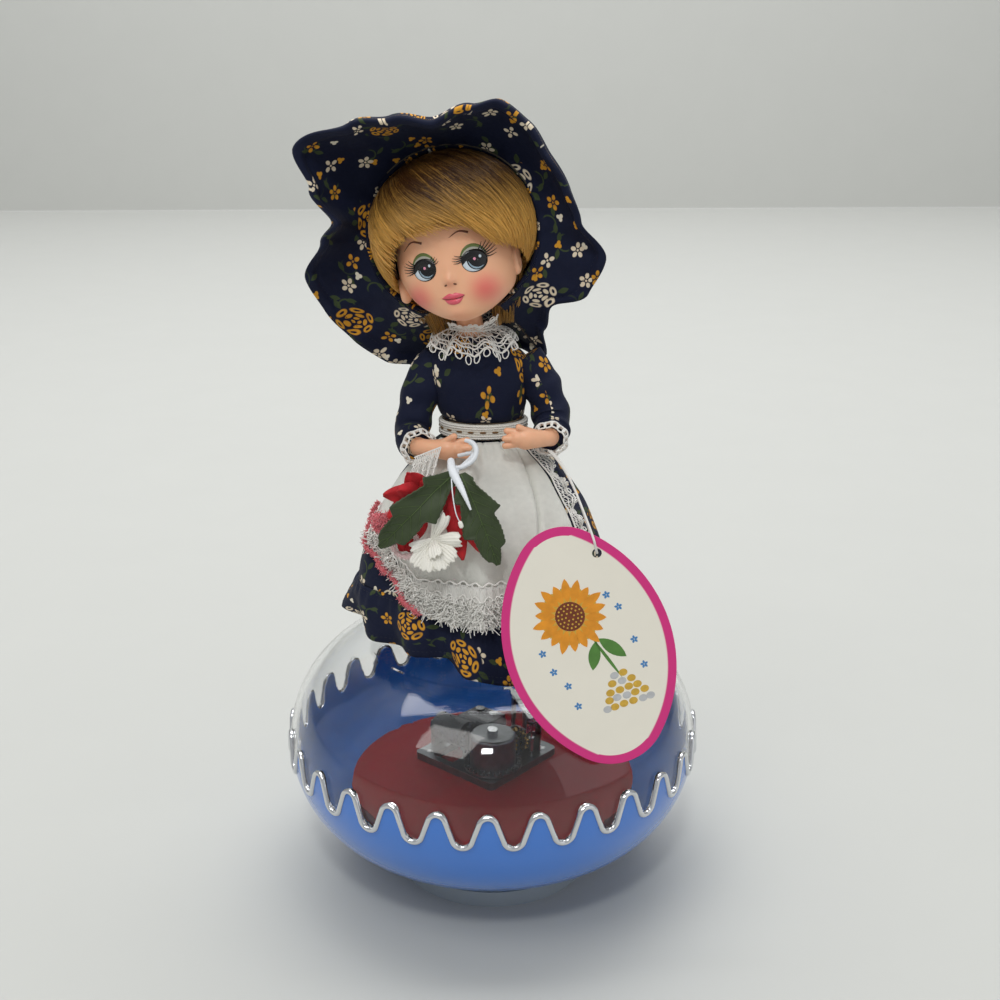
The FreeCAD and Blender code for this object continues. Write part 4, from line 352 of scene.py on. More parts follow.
def stitch_tree():
    """Short stitches laid at a spacing along each line."""
    tree, given, out = new_tree("Stitches", ("Spacing", "NodeSocketFloat"), ("Width", "NodeSocketFloat"),
                                ("Length", "NodeSocketFloat"), ("Material", "NodeSocketMaterial"))
    line = node(tree, "GeometryNodeMeshToCurve", Mesh=given.outputs["Geometry"])
    points = tree.nodes.new("GeometryNodeCurveToPoints")
    points.mode = "LENGTH"
    tree.links.new(line.outputs[0], points.inputs["Curve"])
    tree.links.new(given.outputs["Spacing"], points.inputs["Length"])
    bead = node(tree, "GeometryNodeMeshIcoSphere", Radius=1.0, Subdivisions=2)
    size = node(tree, "ShaderNodeCombineXYZ", X=given.outputs["Width"], Y=given.outputs["Width"],
                Z=given.outputs["Length"])
    laid = node(tree, "GeometryNodeInstanceOnPoints", Points=points.outputs["Points"],
                Instance=bead.outputs["Mesh"], Rotation=points.outputs["Rotation"],
                Scale=size.outputs[0])
    return end_tree(tree, laid.outputs[0], given, out)


TREES = {}


def grow(name, lines, kind, material, **sizes):
    """Threads or stitches along lines of points, or of (point, taper, tone)."""
    if kind not in TREES:
        TREES[kind] = {"thread": thread_tree, "stitch": stitch_tree}[kind]()
    mesh = bpy.data.meshes.new(name)
    places, edges, tapers, tones = [], [], [], []
    for line in lines:
        first = len(places)
        for entry in line:
            point, taper, tone = entry if isinstance(entry, tuple) else (entry, 1.0, 0.5)
            places.append(tuple(point * MM))
            tapers.append(taper)
            tones.append(tone)
        edges += [(k, k + 1) for k in range(first, len(places) - 1)]
        if (Vector(places[first]) - Vector(places[-1])).length < 1e-6:
            edges[-1] = (len(places) - 2, first)
    mesh.from_pydata(places, edges, [])
    for label, values in (("taper", tapers), ("tone", tones)):
        mesh.attributes.new(label, "FLOAT", "POINT").data.foreach_set("value", values)
    piece = add_piece(name, mesh)
    made = piece.modifiers.new("Grown", "NODES")
    made.node_group = TREES[kind]
    values = dict(sizes, Material=material)
    for item in TREES[kind].interface.items_tree:
        if item.in_out == "INPUT" and item.name in values:
            value = values[item.name]
            made[item.identifier] = value * MM if isinstance(value, float) else value
    plain_mesh(piece)
    if not piece.data.materials:
        piece.data.materials.append(material)
    return piece


# Materials: sums written with Ink become math nodes
class Ink:
    """A socket in a material's tree."""

    def __init__(self, tree, socket):
        self.tree, self.socket = tree, socket

    def math(self, kind, *others):
        made = self.tree.nodes.new("ShaderNodeMath")
        made.operation = kind
        for slot, value in zip(made.inputs, (self,) + others):
            feed(self.tree, slot, value)
        return Ink(self.tree, made.outputs[0])

    def __add__(self, other):
        return self.math("ADD", other)

    def __sub__(self, other):
        return self.math("SUBTRACT", other)

    def __mul__(self, other):
        return self.math("MULTIPLY", other)

    def __truediv__(self, other):
        return self.math("DIVIDE", other)

    __radd__, __rmul__ = __add__, __mul__


def feed(tree, slot, value):
    if isinstance(value, Ink):
        tree.links.new(value.socket, slot)
    elif isinstance(value, bpy.types.NodeSocket):
        tree.links.new(value, slot)
    else:
        slot.default_value = value


def set_inputs(shader, **values):
    """Sets inputs by their labels, with an underscore for each space."""
    for label, value in values.items():
        shader.inputs[label.replace("_", " ")].default_value = value


def inside(value, soft=0.12):
    """Mask that is 1 where a value is under 1, with a soft edge."""
    ramp = value.tree.nodes.new("ShaderNodeMapRange")
    ramp.interpolation_type = "SMOOTHSTEP"
    feed(value.tree, ramp.inputs[0], value)
    for slot, number in zip(ramp.inputs[1:5], (1 - soft, 1 + soft, 1.0, 0.0)):
        slot.default_value = number
    return Ink(value.tree, ramp.outputs[0])


def painted(tree, mask, under, over):
    mix = tree.nodes.new("ShaderNodeMix")
    mix.data_type = "RGBA"
    feed(tree, mix.inputs[0], mask)
    feed(tree, mix.inputs[6], under)
    feed(tree, mix.inputs[7], over)
    return Ink(tree, mix.outputs[2])


def parts(tree, vector):
    split = tree.nodes.new("ShaderNodeSeparateXYZ")
    feed(tree, split.inputs[0], vector)
    return [Ink(tree, socket) for socket in split.outputs]


def on_object(tree):
    """Place on the object, in millimetres."""
    place = tree.nodes.new("ShaderNodeTexCoord").outputs["Object"]
    return scaled(tree, place, 1000)


def on_cloth(tree):
    """Place on the flat cloth, in millimetres."""
    place = tree.nodes.new("ShaderNodeUVMap")
    place.uv_map = "cloth"
    return scaled(tree, place.outputs[0], 1000)


def scaled(tree, vector, factor):
    made = tree.nodes.new("ShaderNodeVectorMath")
    made.operation = "SCALE"
    feed(tree, made.inputs[0], vector)
    made.inputs["Scale"].default_value = factor
    return Ink(tree, made.outputs[0])


def lumps(tree, place, size, detail=3.0):
    """Noise from 0 to 1 with lumps of a size in millimetres."""
    made = tree.nodes.new("ShaderNodeTexNoise")
    feed(tree, made.inputs["Vector"], place)
    made.inputs["Scale"].default_value = 1 / size
    made.inputs["Detail"].default_value = detail
    return Ink(tree, made.outputs[0])


def waves(tree, place, size, direction="X", twist=0.0):
    made = tree.nodes.new("ShaderNodeTexWave")
    made.bands_direction = direction
    feed(tree, made.inputs["Vector"], place)
    made.inputs["Scale"].default_value = TURN / (20 * size)
    made.inputs["Distortion"].default_value = twist
    return Ink(tree, made.outputs["Fac"])


def new_finish(name):
    material = bpy.data.materials.new(name)
    material.use_nodes = True
    tree = material.node_tree
    return material, tree, tree.nodes["Principled BSDF"]


def raise_grain(tree, shader, height, depth):
    """Bump from a height, with its depth in millimetres."""
    bump = tree.nodes.new("ShaderNodeBump")
    bump.inputs["Distance"].default_value = depth * MM
    feed(tree, bump.inputs["Height"], height)
    earlier = shader.inputs["Normal"].links
    if earlier:
        tree.links.new(earlier[0].from_socket, bump.inputs["Normal"])
    tree.links.new(bump.outputs[0], shader.inputs["Normal"])


def tone_of(colour, factor):
    return tuple(min(1.0, channel * factor) for channel in colour[:3]) + (1.0,)


def finish(name, colour, rough, mottle=0.15, size=8.0, grain=0.0, grain_size=0.6, **sockets):
    """Finish with a mottled colour, uneven gloss and a fine grain."""
    material, tree, shader = new_finish(name)
    place = on_object(tree)
    patch = lumps(tree, place, size)
    feed(tree, shader.inputs["Base Color"],
         painted(tree, patch, tone_of(colour, 1 - mottle), tone_of(colour, 1 + mottle)))
    feed(tree, shader.inputs["Roughness"], lumps(tree, place, size * 0.4) * 0.16 + (rough - 0.08))
    if grain:
        raise_grain(tree, shader, lumps(tree, place, grain_size), grain)
    set_inputs(shader, **sockets)
    return material


def paint(name, colour, rough, mottle, size=2.0):
    """Smooth paint or ink."""
    return finish(name, colour, rough, mottle, size, 0.01, 0.4)


def metal(name, code, rough, mottle, size, grain, grain_size, purity=1.0):
    """Bare metal of a hex code."""
    return finish(name, dye(code), rough, mottle, size, grain, grain_size, Metallic=purity)


def in_frame(tree, place, frame):
    """Place measured in another frame, as three numbers."""
    back = frame.inverted()
    local = []
    for row in range(3):
        dot = tree.nodes.new("ShaderNodeVectorMath")
        dot.operation = "DOT_PRODUCT"
        feed(tree, dot.inputs[0], place)
        dot.inputs[1].default_value = tuple(back[row][:3])
        local.append(Ink(tree, dot.outputs["Value"]) + back[row][3])
    return local


def scattered(tree, place, size, seed, loose=0.85):
    """Offset from the nearest of scattered spots, and three random numbers for that spot."""
    x, y = parts(tree, place)[:2]
    moved = tree.nodes.new("ShaderNodeCombineXYZ")
    feed(tree, moved.inputs[0], x + 137.3 * seed)
    feed(tree, moved.inputs[1], y + 71.9 * seed)
    cells = tree.nodes.new("ShaderNodeTexVoronoi")
    cells.voronoi_dimensions = "2D"
    tree.links.new(moved.outputs[0], cells.inputs["Vector"])
    cells.inputs["Scale"].default_value = 1 / size
    cells.inputs["Randomness"].default_value = loose
    away = tree.nodes.new("ShaderNodeVectorMath")
    away.operation = "SUBTRACT"
    tree.links.new(moved.outputs[0], away.inputs[0])
    tree.links.new(cells.outputs["Position"], away.inputs[1])
    dx, dy = parts(tree, away.outputs[0])[:2]
    chance = parts(tree, cells.outputs["Color"])
    reach = (dx * dx + dy * dy).math("SQRT")
    return reach, dy.math("ARCTAN2", dx), chance


def petal_ring(reach, angle, turn, count, out, long_, wide):
    """Mask of a ring of separate egg-shaped petals round a spot."""
    half = count.math("POWER", -1.0) * math.pi if isinstance(count, Ink) else math.pi / count
    folded = (angle + turn).math("WRAP", half, half * -1.0)
    x = (reach * folded.math("COSINE") - out) / long_
    y = reach * folded.math("SINE") / wide
    return inside((x * x + y * y).math("SQRT"), 0.14)


def blade_ring(reach, angle, turn, count, out, long_, wide):
    """Mask of pointed leaves round a spot."""
    half = math.pi / count
    folded = (angle + turn).math("WRAP", half, -half)
    x = (reach * folded.math("COSINE") - out) / long_
    y = (reach * folded.math("SINE") / wide).math("ABSOLUTE")
    return inside(x * x + y, 0.14)


def chosen(chance, share):
    """Mask of the spots whose random number is under a share."""
    return inside(chance / share, 0.001)


def calico_tree():
    """Printed cotton: scattered small flowers, buds, sprigs and a few open roses."""
    tree = bpy.data.node_groups.new("Calico", "ShaderNodeTree")
    tree.interface.new_socket("Place", in_out="INPUT", socket_type="NodeSocketVector")
    for label in ("Ground", "Cream", "Gold", "Olive"):
        tree.interface.new_socket(label, in_out="INPUT", socket_type="NodeSocketColor")
    tree.interface.new_socket("Colour", in_out="OUTPUT", socket_type="NodeSocketColor")
    given, out = tree.nodes.new("NodeGroupInput"), tree.nodes.new("NodeGroupOutput")
    place, ground, cream, gold, olive = (Ink(tree, socket) for socket in given.outputs[:5])
    patch = lumps(tree, place, 14.0)
    colour = painted(tree, patch * 0.5, ground, painted(tree, 0.35, ground, (0, 0, 0, 1)))
    # Sprigs: leaves with a bent stalk
    reach, angle, chance = scattered(tree, place, 13.0, 1.0)
    turn = chance[0] * TURN
    sprig = blade_ring(reach, angle, turn, 2, 2.5, 1.7, 0.75)
    bent = reach * (angle + turn).math("COSINE") - 1.2
    rise = reach * (angle + turn).math("SINE") - 2.4
    stalk = inside(((bent * bent + rise * rise).math("SQRT") - 2.6).math("ABSOLUTE") / 0.26, 0.4)
    stalk = stalk * inside(reach / 3.8) * inside(chance[1] / 0.7)
    colour = painted(tree, sprig.math("MAXIMUM", stalk) * 0.85, colour, olive)
    # Buds and dots
    reach, angle, chance = scattered(tree, place, 8.6, 3.0)
    bud = petal_ring(reach, angle, chance[0] * TURN, 3, 0.55, 0.75, 0.62) * chosen(chance[1], 0.42)
    colour = painted(tree, bud, colour, painted(tree, chosen(chance[2], 0.6), cream, gold))
    # Small open flowers
    reach, angle, chance = scattered(tree, place, 11.6, 5.0)
    petals = chosen(chance[2], 0.35) * -1.0 + 5.0
    flower = petal_ring(reach, angle, chance[0] * TURN, petals, 1.55, 0.88, 0.66)
    flower = flower.math("MAXIMUM", inside(reach / 0.36, 0.2)) * chosen(chance[1], 0.84)
    kind = chosen(chance[1], 0.44)
    worn = painted(tree, lumps(tree, place, 0.9) * 0.35, cream, gold)
    shaded = painted(tree, inside(reach / 1.15, 0.5) * 0.6, gold, painted(tree, 0.6, gold, ground))
    colour = painted(tree, flower, colour, painted(tree, kind, worn, shaded))
    # Roses on a cleared ground
    reach, angle, chance = scattered(tree, place, 27.0, 8.0, 0.75)
    there = chosen(chance[1], 0.82)
    colour = painted(tree, inside(reach / 6.4, 0.05) * there, colour, ground)
    turn = chance[0] * TURN
    rose = petal_ring(reach, angle, turn, 6, 4.25, 0.95, 1.9)
    rose = rose - petal_ring(reach, angle, turn, 6, 4.3, 0.35, 0.9)
    rose = rose.math("MAXIMUM", petal_ring(reach, angle, turn + 0.5, 5, 2.4, 0.62, 1.22))
    rose = rose.math("MAXIMUM", petal_ring(reach, angle, turn, 3, 0.95, 0.5, 0.75))
    pale = chosen(chance[2], 0.45)
    petal = painted(tree, pale, shaded, worn)
    colour = painted(tree, rose * there, colour, petal)
    leaves = blade_ring(reach, angle, turn + 0.9, 3, 7.2, 1.8, 0.95) * there
    colour = painted(tree, leaves * 0.85, colour, olive)
    tree.links.new(colour.socket, out.inputs[0])
    return tree


def printed_cotton(name, dress):
    material, tree, shader = new_finish(name)
    group = tree.nodes.new("ShaderNodeGroup")
    group.node_tree = bpy.data.node_groups.get("Calico") or calico_tree()
    cloth = on_cloth(tree)
    feed(tree, group.inputs[0], cloth)
    for slot, colour in zip(group.inputs[1:], (dress.navy, dress.cream, dress.gold, dress.olive)):
        slot.default_value = colour
    feed(tree, shader.inputs["Base Color"], Ink(tree, group.outputs[0]))
    feed(tree, shader.inputs["Roughness"], lumps(tree, cloth, 3.0) * 0.2 + 0.62)
    weave = waves(tree, cloth, 0.32) + waves(tree, cloth, 0.32, "Y")
    raise_grain(tree, shader, weave, 0.03)
    raise_grain(tree, shader, lumps(tree, cloth, 5.0), 0.35)
    set_inputs(shader, Sheen_Weight=0.03, Specular_IOR_Level=0.22)
    return material


def woven(name, colour, thread, fold=0.0, sheen=0.2, speck=0.06):
    """Plain woven cloth with threads of a width in millimetres."""
    material, tree, shader = new_finish(name)
    cloth = on_cloth(tree)
    slub = lumps(tree, cloth, thread * 5, 6.0)
    feed(tree, shader.inputs["Base Color"],
         painted(tree, slub, tone_of(colour, 1 - speck * 2), tone_of(colour, 1 + speck)))
    feed(tree, shader.inputs["Roughness"], slub * 0.12 + 0.74)
    weave = waves(tree, cloth, thread, "X", 1.2) + waves(tree, cloth, thread, "Y", 1.2)
    raise_grain(tree, shader, weave, thread * 0.14)
    if fold:
        raise_grain(tree, shader, lumps(tree, cloth, 7.0), fold)
    set_inputs(shader, Sheen_Weight=sheen)
    return material


def fibre(name, colour, spread=0.3, rough=0.7, sheen=0.3, dark=None):
    """Thread or hair: its tone attribute picks a shade between two colours."""
    material, tree, shader = new_finish(name)
    tone = tree.nodes.new("ShaderNodeAttribute")
    tone.attribute_name = "tone"
    shade = Ink(tree, tone.outputs["Fac"]) + (lumps(tree, on_object(tree), 0.8) * 0.2 - 0.1)
    low, high = dark or tone_of(colour, 1 - spread), tone_of(colour, 1 + spread * 0.3)
    feed(tree, shader.inputs["Base Color"], painted(tree, shade, low, high))
    feed(tree, shader.inputs["Roughness"], lumps(tree, on_object(tree), 1.5) * 0.16 + (rough - 0.08))
    set_inputs(shader, Sheen_Weight=sheen)
    return material


FINISHES = {}
# How far light goes into the doll's vinyl
VINYL_DEPTH = {"Subsurface_Radius": (0.9, 0.35, 0.2), "Subsurface_Scale": 1.5 * MM}


def vinyl_face(doll):
    """Moulded vinyl with blushed cheeks, in the head's own frame."""
    material, tree, shader = new_finish("Vinyl face")
    place = on_object(tree)
    x, y, z = in_frame(tree, place, HEAD)
    front = inside(y / 6.0 + 2.0, 0.9)
    colour = painted(tree, lumps(tree, place, 9.0), tone_of(doll.skin, 0.97), tone_of(doll.skin, 1.03))
    for cx, cz, reach, depth in ((-12.2, -12.0, 6.4, 0.85), (10.8, -12.0, 6.4, 0.85),
                                 (0.0, -8.4, 2.6, 0.16), (0.0, -20.0, 5.0, 0.15)):
        dx, dz = x - cx, z - cz
        spot = (dx * dx + dz * dz).math("SQRT") / reach
        fade = inside(spot * 1.6, 0.95) * front
        colour = painted(tree, fade * depth, colour, doll.blush)
    feed(tree, shader.inputs["Base Color"], colour)
    feed(tree, shader.inputs["Roughness"], lumps(tree, place, 4.0) * 0.1 + 0.37)
    raise_grain(tree, shader, lumps(tree, place, 0.7), 0.015)
    set_inputs(shader, Subsurface_Weight=0.12, **VINYL_DEPTH)
    return material


def clear_finish(name, tint, rough):
    material, tree, shader = new_finish(name)
    place = on_object(tree)
    feed(tree, shader.inputs["Roughness"], lumps(tree, place, 20.0) * 0.03 + rough)
    feed(tree, shader.inputs["Base Color"],
         painted(tree, lumps(tree, place, 30.0), tint, tone_of(tint, 0.985)))
    raise_grain(tree, shader, lumps(tree, place, 22.0, 1.0), 0.05)
    set_inputs(shader, Transmission_Weight=1.0, IOR=1.42, Specular_IOR_Level=0.28)
    return material


def make_finishes(scene):
    globe, dress, doll, trim = scene.bank_globe, scene.bank_dress, scene.bank_doll, scene.bank_trim
    FINISHES.update({
        "bowl": finish("Bowl blue", globe.bowl, 0.22, 0.04, 30.0, 0.02, 6.0, Coat_Weight=0.6),
        "clear": clear_finish("Clear plastic", (0.985, 0.99, 0.99, 1), 0.01),
        "foot": finish("Foot plastic", dye("#b4bfc9"), 0.16, 0.04, 12.0, 0.02, 3.0, Coat_Weight=0.5,
                       Transmission_Weight=0.35),
        "bead": metal("Bright bead", "#d9dbde", 0.12, 0.06, 3.0, 0.03, 1.6),
        "floor": finish("Red floor", globe.floor, 0.5, 0.1, 12.0, 0.03, 1.0, Specular_IOR_Level=0.15),
        "cast": metal("Cast metal", "#7d8083", 0.34, 0.25, 3.0, 0.06, 0.7),
        "steel": metal("Steel", "#b4b6b8", 0.25, 0.12, 2.0, 0.02, 0.4),
        "dull": metal("Dull steel", "#54575a", 0.45, 0.3, 1.5, 0.08, 0.5, 0.8),
        "brass": metal("Brass", "#b39152", 0.28, 0.15, 2.0, 0.02, 0.4),
        "key": metal("Key plate", "#c9cbcd", 0.16, 0.08, 5.0, 0.01, 0.5),
        "stand": finish("Stand plastic", dye("#e6e6e2"), 0.5, 0.05, 6.0, 0.02, 0.8),
        "body": finish("Body cloth", dye("#d8c3a8"), 0.85, 0.08, 3.0, 0.08, 0.5),
        "skin": finish("Vinyl hands", doll.skin, 0.42, 0.07, 4.0, 0.02, 0.8, Subsurface_Weight=0.1,
                       **VINYL_DEPTH),
        "face": vinyl_face(doll),
        "calico": printed_cotton("Printed cotton", dress),
        "apron": woven("Apron cotton", dress.apron, 0.36, 0.6, 0.15),
        "band": woven("Band ribbon", dye("#dcd8cc"), 0.9, 0.0, 0.2, 0.1),
        "lace": fibre("Lace thread", trim.lace, 0.16, 0.8, 0.4),
        "pink": fibre("Tinted thread", dye("#e58a92"), 0.35, 0.8, 0.4, dye("#c23440")),
        "blush_thread": fibre("Blush thread", dye("#f1d6d4"), 0.2, 0.8, 0.4),
        "eyelet": finish("Band eyelet", dye("#6b4a1e"), 0.6, 0.3, 1.0, 0.05, 0.4),
        "velvet": finish("Red velvet", trim.red, 0.75, 0.35, 2.2, 0.12, 0.35,
                         Sheen_Weight=0.35, Sheen_Tint=dye("#ff6a6a")),
        "satin": finish("White satin", dye("#efece2"), 0.45, 0.07, 3.0, 0.06, 0.5, Sheen_Weight=0.3),
        "paper": finish("Paper-wound wire", dye("#e4e8ec"), 0.7, 0.06, 1.2, 0.08, 0.4),
        "leaf": finish("Leaf cloth", trim.leaf, 0.6, 0.35, 5.0, 0.05, 0.45, Sheen_Weight=0.1),
        "vein": finish("Leaf vein", tone_of(trim.leaf, 2.3), 0.6, 0.2, 3.0, 0.03, 0.4),
        # The hair's tone runs to the colour of hair in shade at the top of the head: painted shade under the
        # bonnet
        "hair": fibre("Hair", doll.hair_light, 0.3, 0.36, 0.0, tone_of(doll.hair_in_shade, 0.9)),
        "card": card_finish(trim),
        "string": fibre("Cotton string", dye("#e8e6e0"), 0.15, 0.85, 0.3),
        "black": paint("Eye black", dye("#0b0b0d"), 0.25, 0.2),
        "white": paint("Eye white", dye("#ccd8e0"), 0.25, 0.05),
        "iris": paint("Eye grey", dye("#8fa6b4"), 0.25, 0.25, 1.2),
        "lid": paint("Lid grey", dye("#a9a79b"), 0.4, 0.1),
        "shadow": paint("Lid green", dye("#5c6b33"), 0.4, 0.15),
        "glint": paint("Eye glint", dye("#ef9ab4"), 0.25, 0.1, 1.0),
        "lips": paint("Lip paint", doll.lips, 0.3, 0.12),
        "brow": finish("Brow paint", dye("#6a3a22"), 0.45, 0.2, 1.0, 0.01, 0.3),
        "sun": paint("Sunflower ink", dye("#dd8f1c"), 0.5, 0.3, 3.0),
        "seed": finish("Seed ink", dye("#6e2f10"), 0.5, 0.5, 1.2, 0.02, 0.5),
        "berry": paint("Berry ink", dye("#c9a13a"), 0.5, 0.35, 1.6),
        "silver": paint("Grey ink", dye("#b9babb"), 0.5, 0.2, 1.6),
        "blue": paint("Blue ink", dye("#3f7fb8"), 0.5, 0.15, 1.6),
        "wall": finish("Backdrop", scene.bank_stage.paper, 0.8, 0.015, 60.0),
        "calico_thread": finish("Dress thread", tone_of(dress.navy, 0.7), 0.7, 0.2, 2.0),
        # Dark cord colour: painted shade in the gap between the brim and the hair
        "gap_shade": finish("Brim gap shade", dye("#4a4438"), 0.8, 0.3, 2.0, 0.1, 0.5),
        # The wig cap takes the colour of the hair in shade and shows as painted shade between the strands
        "wig": finish("Wig cap", doll.hair_in_shade, 0.6, 0.3, 2.0, 0.2, 0.5),
        "green": paint("Green ink", dye("#4f7f35"), 0.5, 0.3, 3.0),
    })


# Places on the doll, the same as the solids use
WAIST = Vector((-2.6, 0, 171.0))
WAIST_WIDE, WAIST_DEEP = 14.4, 10.6
CHEST_WIDE, CHEST_DEEP, BODICE_HIGH = 17.3, 11.5, 35.5
# How far the skirt and the apron bow out between waist and hem, and the rows and columns of each cloth
SKIRT_BOW, APRON_BOW = 6.6, 8.2
SKIRT_ROWS, FLOUNCE_ROWS, APRON_ROWS, BRIM_ROWS = 26, 18, 40, 28
SKIRT_COLUMNS, FLOUNCE_COLUMNS, APRON_COLUMNS = 288, 360, 330
# Height of the bonnet's and the wig's middle over the head's
BONNET_HIGH = 7.7


def spot(x, y, z):
    return WAIST + Vector((x, y, z))


HEAD = (Matrix.Translation(spot(-8.8, -8.0, 63.6)) @ Matrix.Rotation(math.radians(-11), 4, "Y")
        @ Matrix.Rotation(math.radians(-6.6), 4, "Z") @ Matrix.Rotation(math.radians(-7.3), 4, "X"))


def skirt_point(azimuth, share, dress, lift=0.0):
    out = heading(azimuth)
    hem = dress.hem_radius / MM
    low = (hem, hem - 2.5, -dress.skirt_length / MM)
    wide, deep, z = (WAIST_WIDE, WAIST_DEEP, 0) if share == 0 else low
    fold = 0 if share == 0 else 1.1 * math.cos(math.radians(azimuth) * 12)
    reach = wide * deep / math.hypot(deep * out.x, wide * out.y)
    return spot(0, 0, z) + out * (reach + fold + lift)


def fan(azimuth, slant, share):
    """Flat place of a point on a cone-shaped cloth."""
    angle = math.radians(azimuth) * share
    return slant * math.sin(angle), slant * math.cos(angle)


def draped(name, key, azimuths, section, wrap, spread):
    """Piece of cloth through one bowed section for each azimuth."""
    columns = [section(azimuth) for azimuth in azimuths]
    rows = [[column[r] for column in columns] for r in range(len(columns[0]))]
    return skinned(name, key, rows, wrap, spread=spread)


def evenly(start, end, count, closed=False):
    return [start + (end - start) * k / (count if closed else count - 1) for k in range(count)]


# Globe and movement
def wave_line(globe, lift=0.0):
    """The scalloped seam round the globe."""
    radius, pieces = globe.radius / MM, globe.wave_count
    half = math.pi * radius / pieces
    peak_r, trough_r = 3.0, 3.4
    peak_z = globe.wave_peak / MM - peak_r
    trough_z = globe.wave_trough / MM + trough_r
    span = math.hypot(half, peak_z - trough_z)
    lean = math.atan2(trough_z - peak_z, half) + math.acos((peak_r + trough_r) / span)
    down = [math.pi / 2 - (math.pi / 2 - lean) * step / 8 for step in range(9)]
    one = [(peak_r * math.cos(angle), peak_z + peak_r * math.sin(angle)) for angle in down]
    up = [lean + (math.pi / 2 - lean) * step / 8 for step in range(9)]
    one += [(half - trough_r * math.cos(angle), trough_z - trough_r * math.sin(angle)) for angle in up]
    one += [(2 * half - x, z) for x, z in reversed(one[1:-1])]
    shoulder, middle = globe.shoulder / MM, globe.middle / MM
    line = []
    for tooth in range(pieces):
        for x, z in one:
            angle = -90 - 0.9 + math.degrees((x + 2 * half * tooth) / radius)
            reach = radius - shoulder + math.sqrt(shoulder ** 2 - (z - middle) ** 2) + lift
            line.append(heading(angle) * reach + Vector((0, 0, z)))
    return line + [line[0]]


def make_globe(scene):
    dress_nodes(lower_bowl="bowl", coin_plug="bowl", upper_dome="clear", foot_ring="foot", red_floor="floor",
                floor_screws="steel")
    lay_threads("wave_bead", [wave_line(scene.bank_globe, 0.15)], "bead",
                scene.bank_globe.bead_width / MM / 2, 14, "base")


def dress_nodes(**keys):
    """Gives solids from the frame their finishes."""
    for label, key in keys.items():
        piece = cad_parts[label]
        piece.data.materials.clear()
        piece.data.materials.append(FINISHES[key])
        for slot in piece.material_slots:
            slot.material = FINISHES[key]


def make_movement(scene):
    dress_nodes(bedplate="cast", bedplate_screws="steel", music_comb="dull", comb_screws="steel",
                spring_barrel="cast", mainspring="steel", winding_arbor="key", winding_key="key",
                music_cylinder="dull", governor_wheel="brass", governor_fly="steel",
                governor_bracket="cast", trip_lever="steel", lever_bracket="cast", doll_stand="stand",
                stand_screw="steel")


# Doll's body and dress
# Rings of the bodice: shift across, height, half width and half depth, in shares of its size
BODICE = ((0.0, 0.168, 0.80, 0.86), (-0.035, 0.254, 0.88, 0.957), (-0.075, 0.535, 0.985, 1.0),
          (-0.116, 0.76, 1.01, 0.87), (-0.15, 0.90, 0.70, 0.70), (-0.185, 1.0, 0.45, 0.61))


def body_rows(inset, crease=0.0, steps=7, around=96):
    rows = []
    for x, z, wide, deep in through(BODICE, steps):
        row = []
        for step in range(around):
            out = heading(90 + 360 * step / around)
            place = Vector((out.x * CHEST_WIDE, out.y * CHEST_DEEP, z * BODICE_HIGH))
            swell = crease * wander(place, 7.0, 2.0) + crease * 0.5 * wander(place, 3.0, 5.0)
            row.append(spot(CHEST_WIDE * x, 0, BODICE_HIGH * z) + Vector((
                out.x * (CHEST_WIDE * wide - inset + swell),
                out.y * (CHEST_DEEP * deep - inset + swell), 0)))
        rows.append(row)
    return rows


def make_body(scene):
    """Stuffed body with the vinyl neck that the head turns on."""
    rows = body_rows(1.4, 0.0, 4, 48)
    rows = [[point + Vector((0, 0, -8.7)) for point in rows[0]]] + rows
    torso = skinned("stuffed_torso", "body", rows, True, caps=True)
    foot, top = Vector((-5.80, 0, 204.2)), Vector((-9.08, -7.47, 223.0))
    points = [foot + (top - foot) * (step / 12) for step in range(13)]
    neck = skinned("vinyl_neck", "skin", tube_rows(points, [4.5] * 13, 32), True, caps=True)
    place_piece(torso, "base", "body_cloth", "torso")
    place_piece(neck, "base", "skin_vinyl")


def make_bodice(scene):
    rows = body_rows(0.3, 0.55)
    across = len(rows[0])
    bodice = skinned("printed_bodice", "calico", rows, True, spread=lambda c, r: (
        c / across * 96.0 + 13.0, BODICE_HIGH * 0.83 * r / (len(rows) - 1) + 3.0))
    wall(bodice, 0.6)
    place_piece(bodice, "base", "print_cloth", "bodice")


# Places along each sleeve and palm with its radius there, and the start and end of each finger;
# all in arm lengths from the waist
SLEEVES = {
    "left": ((-.372, .050, .662, .165), (-.497, .025, .475, .185), (-.580, -.025, .237, .163),
             (-.620, -.113, .057, .160), (-.605, -.287, -.017, .145), (-.565, -.400, -.010, .120)),
    "right": ((.360, .050, .670, .165), (.470, .025, .487, .180), (.552, -.025, .325, .163),
              (.600, -.100, .150, .170), (.590, -.237, .065, .155), (.580, -.350, .055, .125)),
}
PALMS = {
    "left": ((-.561, -.406, -.009, .082), (-.492, -.495, .008, .070), (-.385, -.540, .008, .080),
             (-.293, -.560, .010, .098), (-.230, -.570, .015, .080)),
    "right": ((.579, -.355, .055, .082), (.545, -.450, .070, .070), (.450, -.535, .090, .080),
              (.360, -.570, .105, .098), (.295, -.580, .110, .080)),
}
FINGERS = {
    "left": ((-.250, -.585, .070, -.130, -.575, .090), (-.240, -.610, .030, -.115, -.600, .030),
             (-.245, -.600, -.025, -.133, -.590, -.040), (-.345, -.575, .065, -.240, -.610, .135)),
    "right": ((.312, -.595, .165, .205, -.585, .175), (.300, -.620, .118, .188, -.610, .113),
              (.300, -.610, .065, .190, -.600, .048), (.405, -.585, .150, .305, -.620, .215)),
}
ARM = 40.0


def arm_spot(values):
    return spot(*[ARM * value for value in values[:3]])


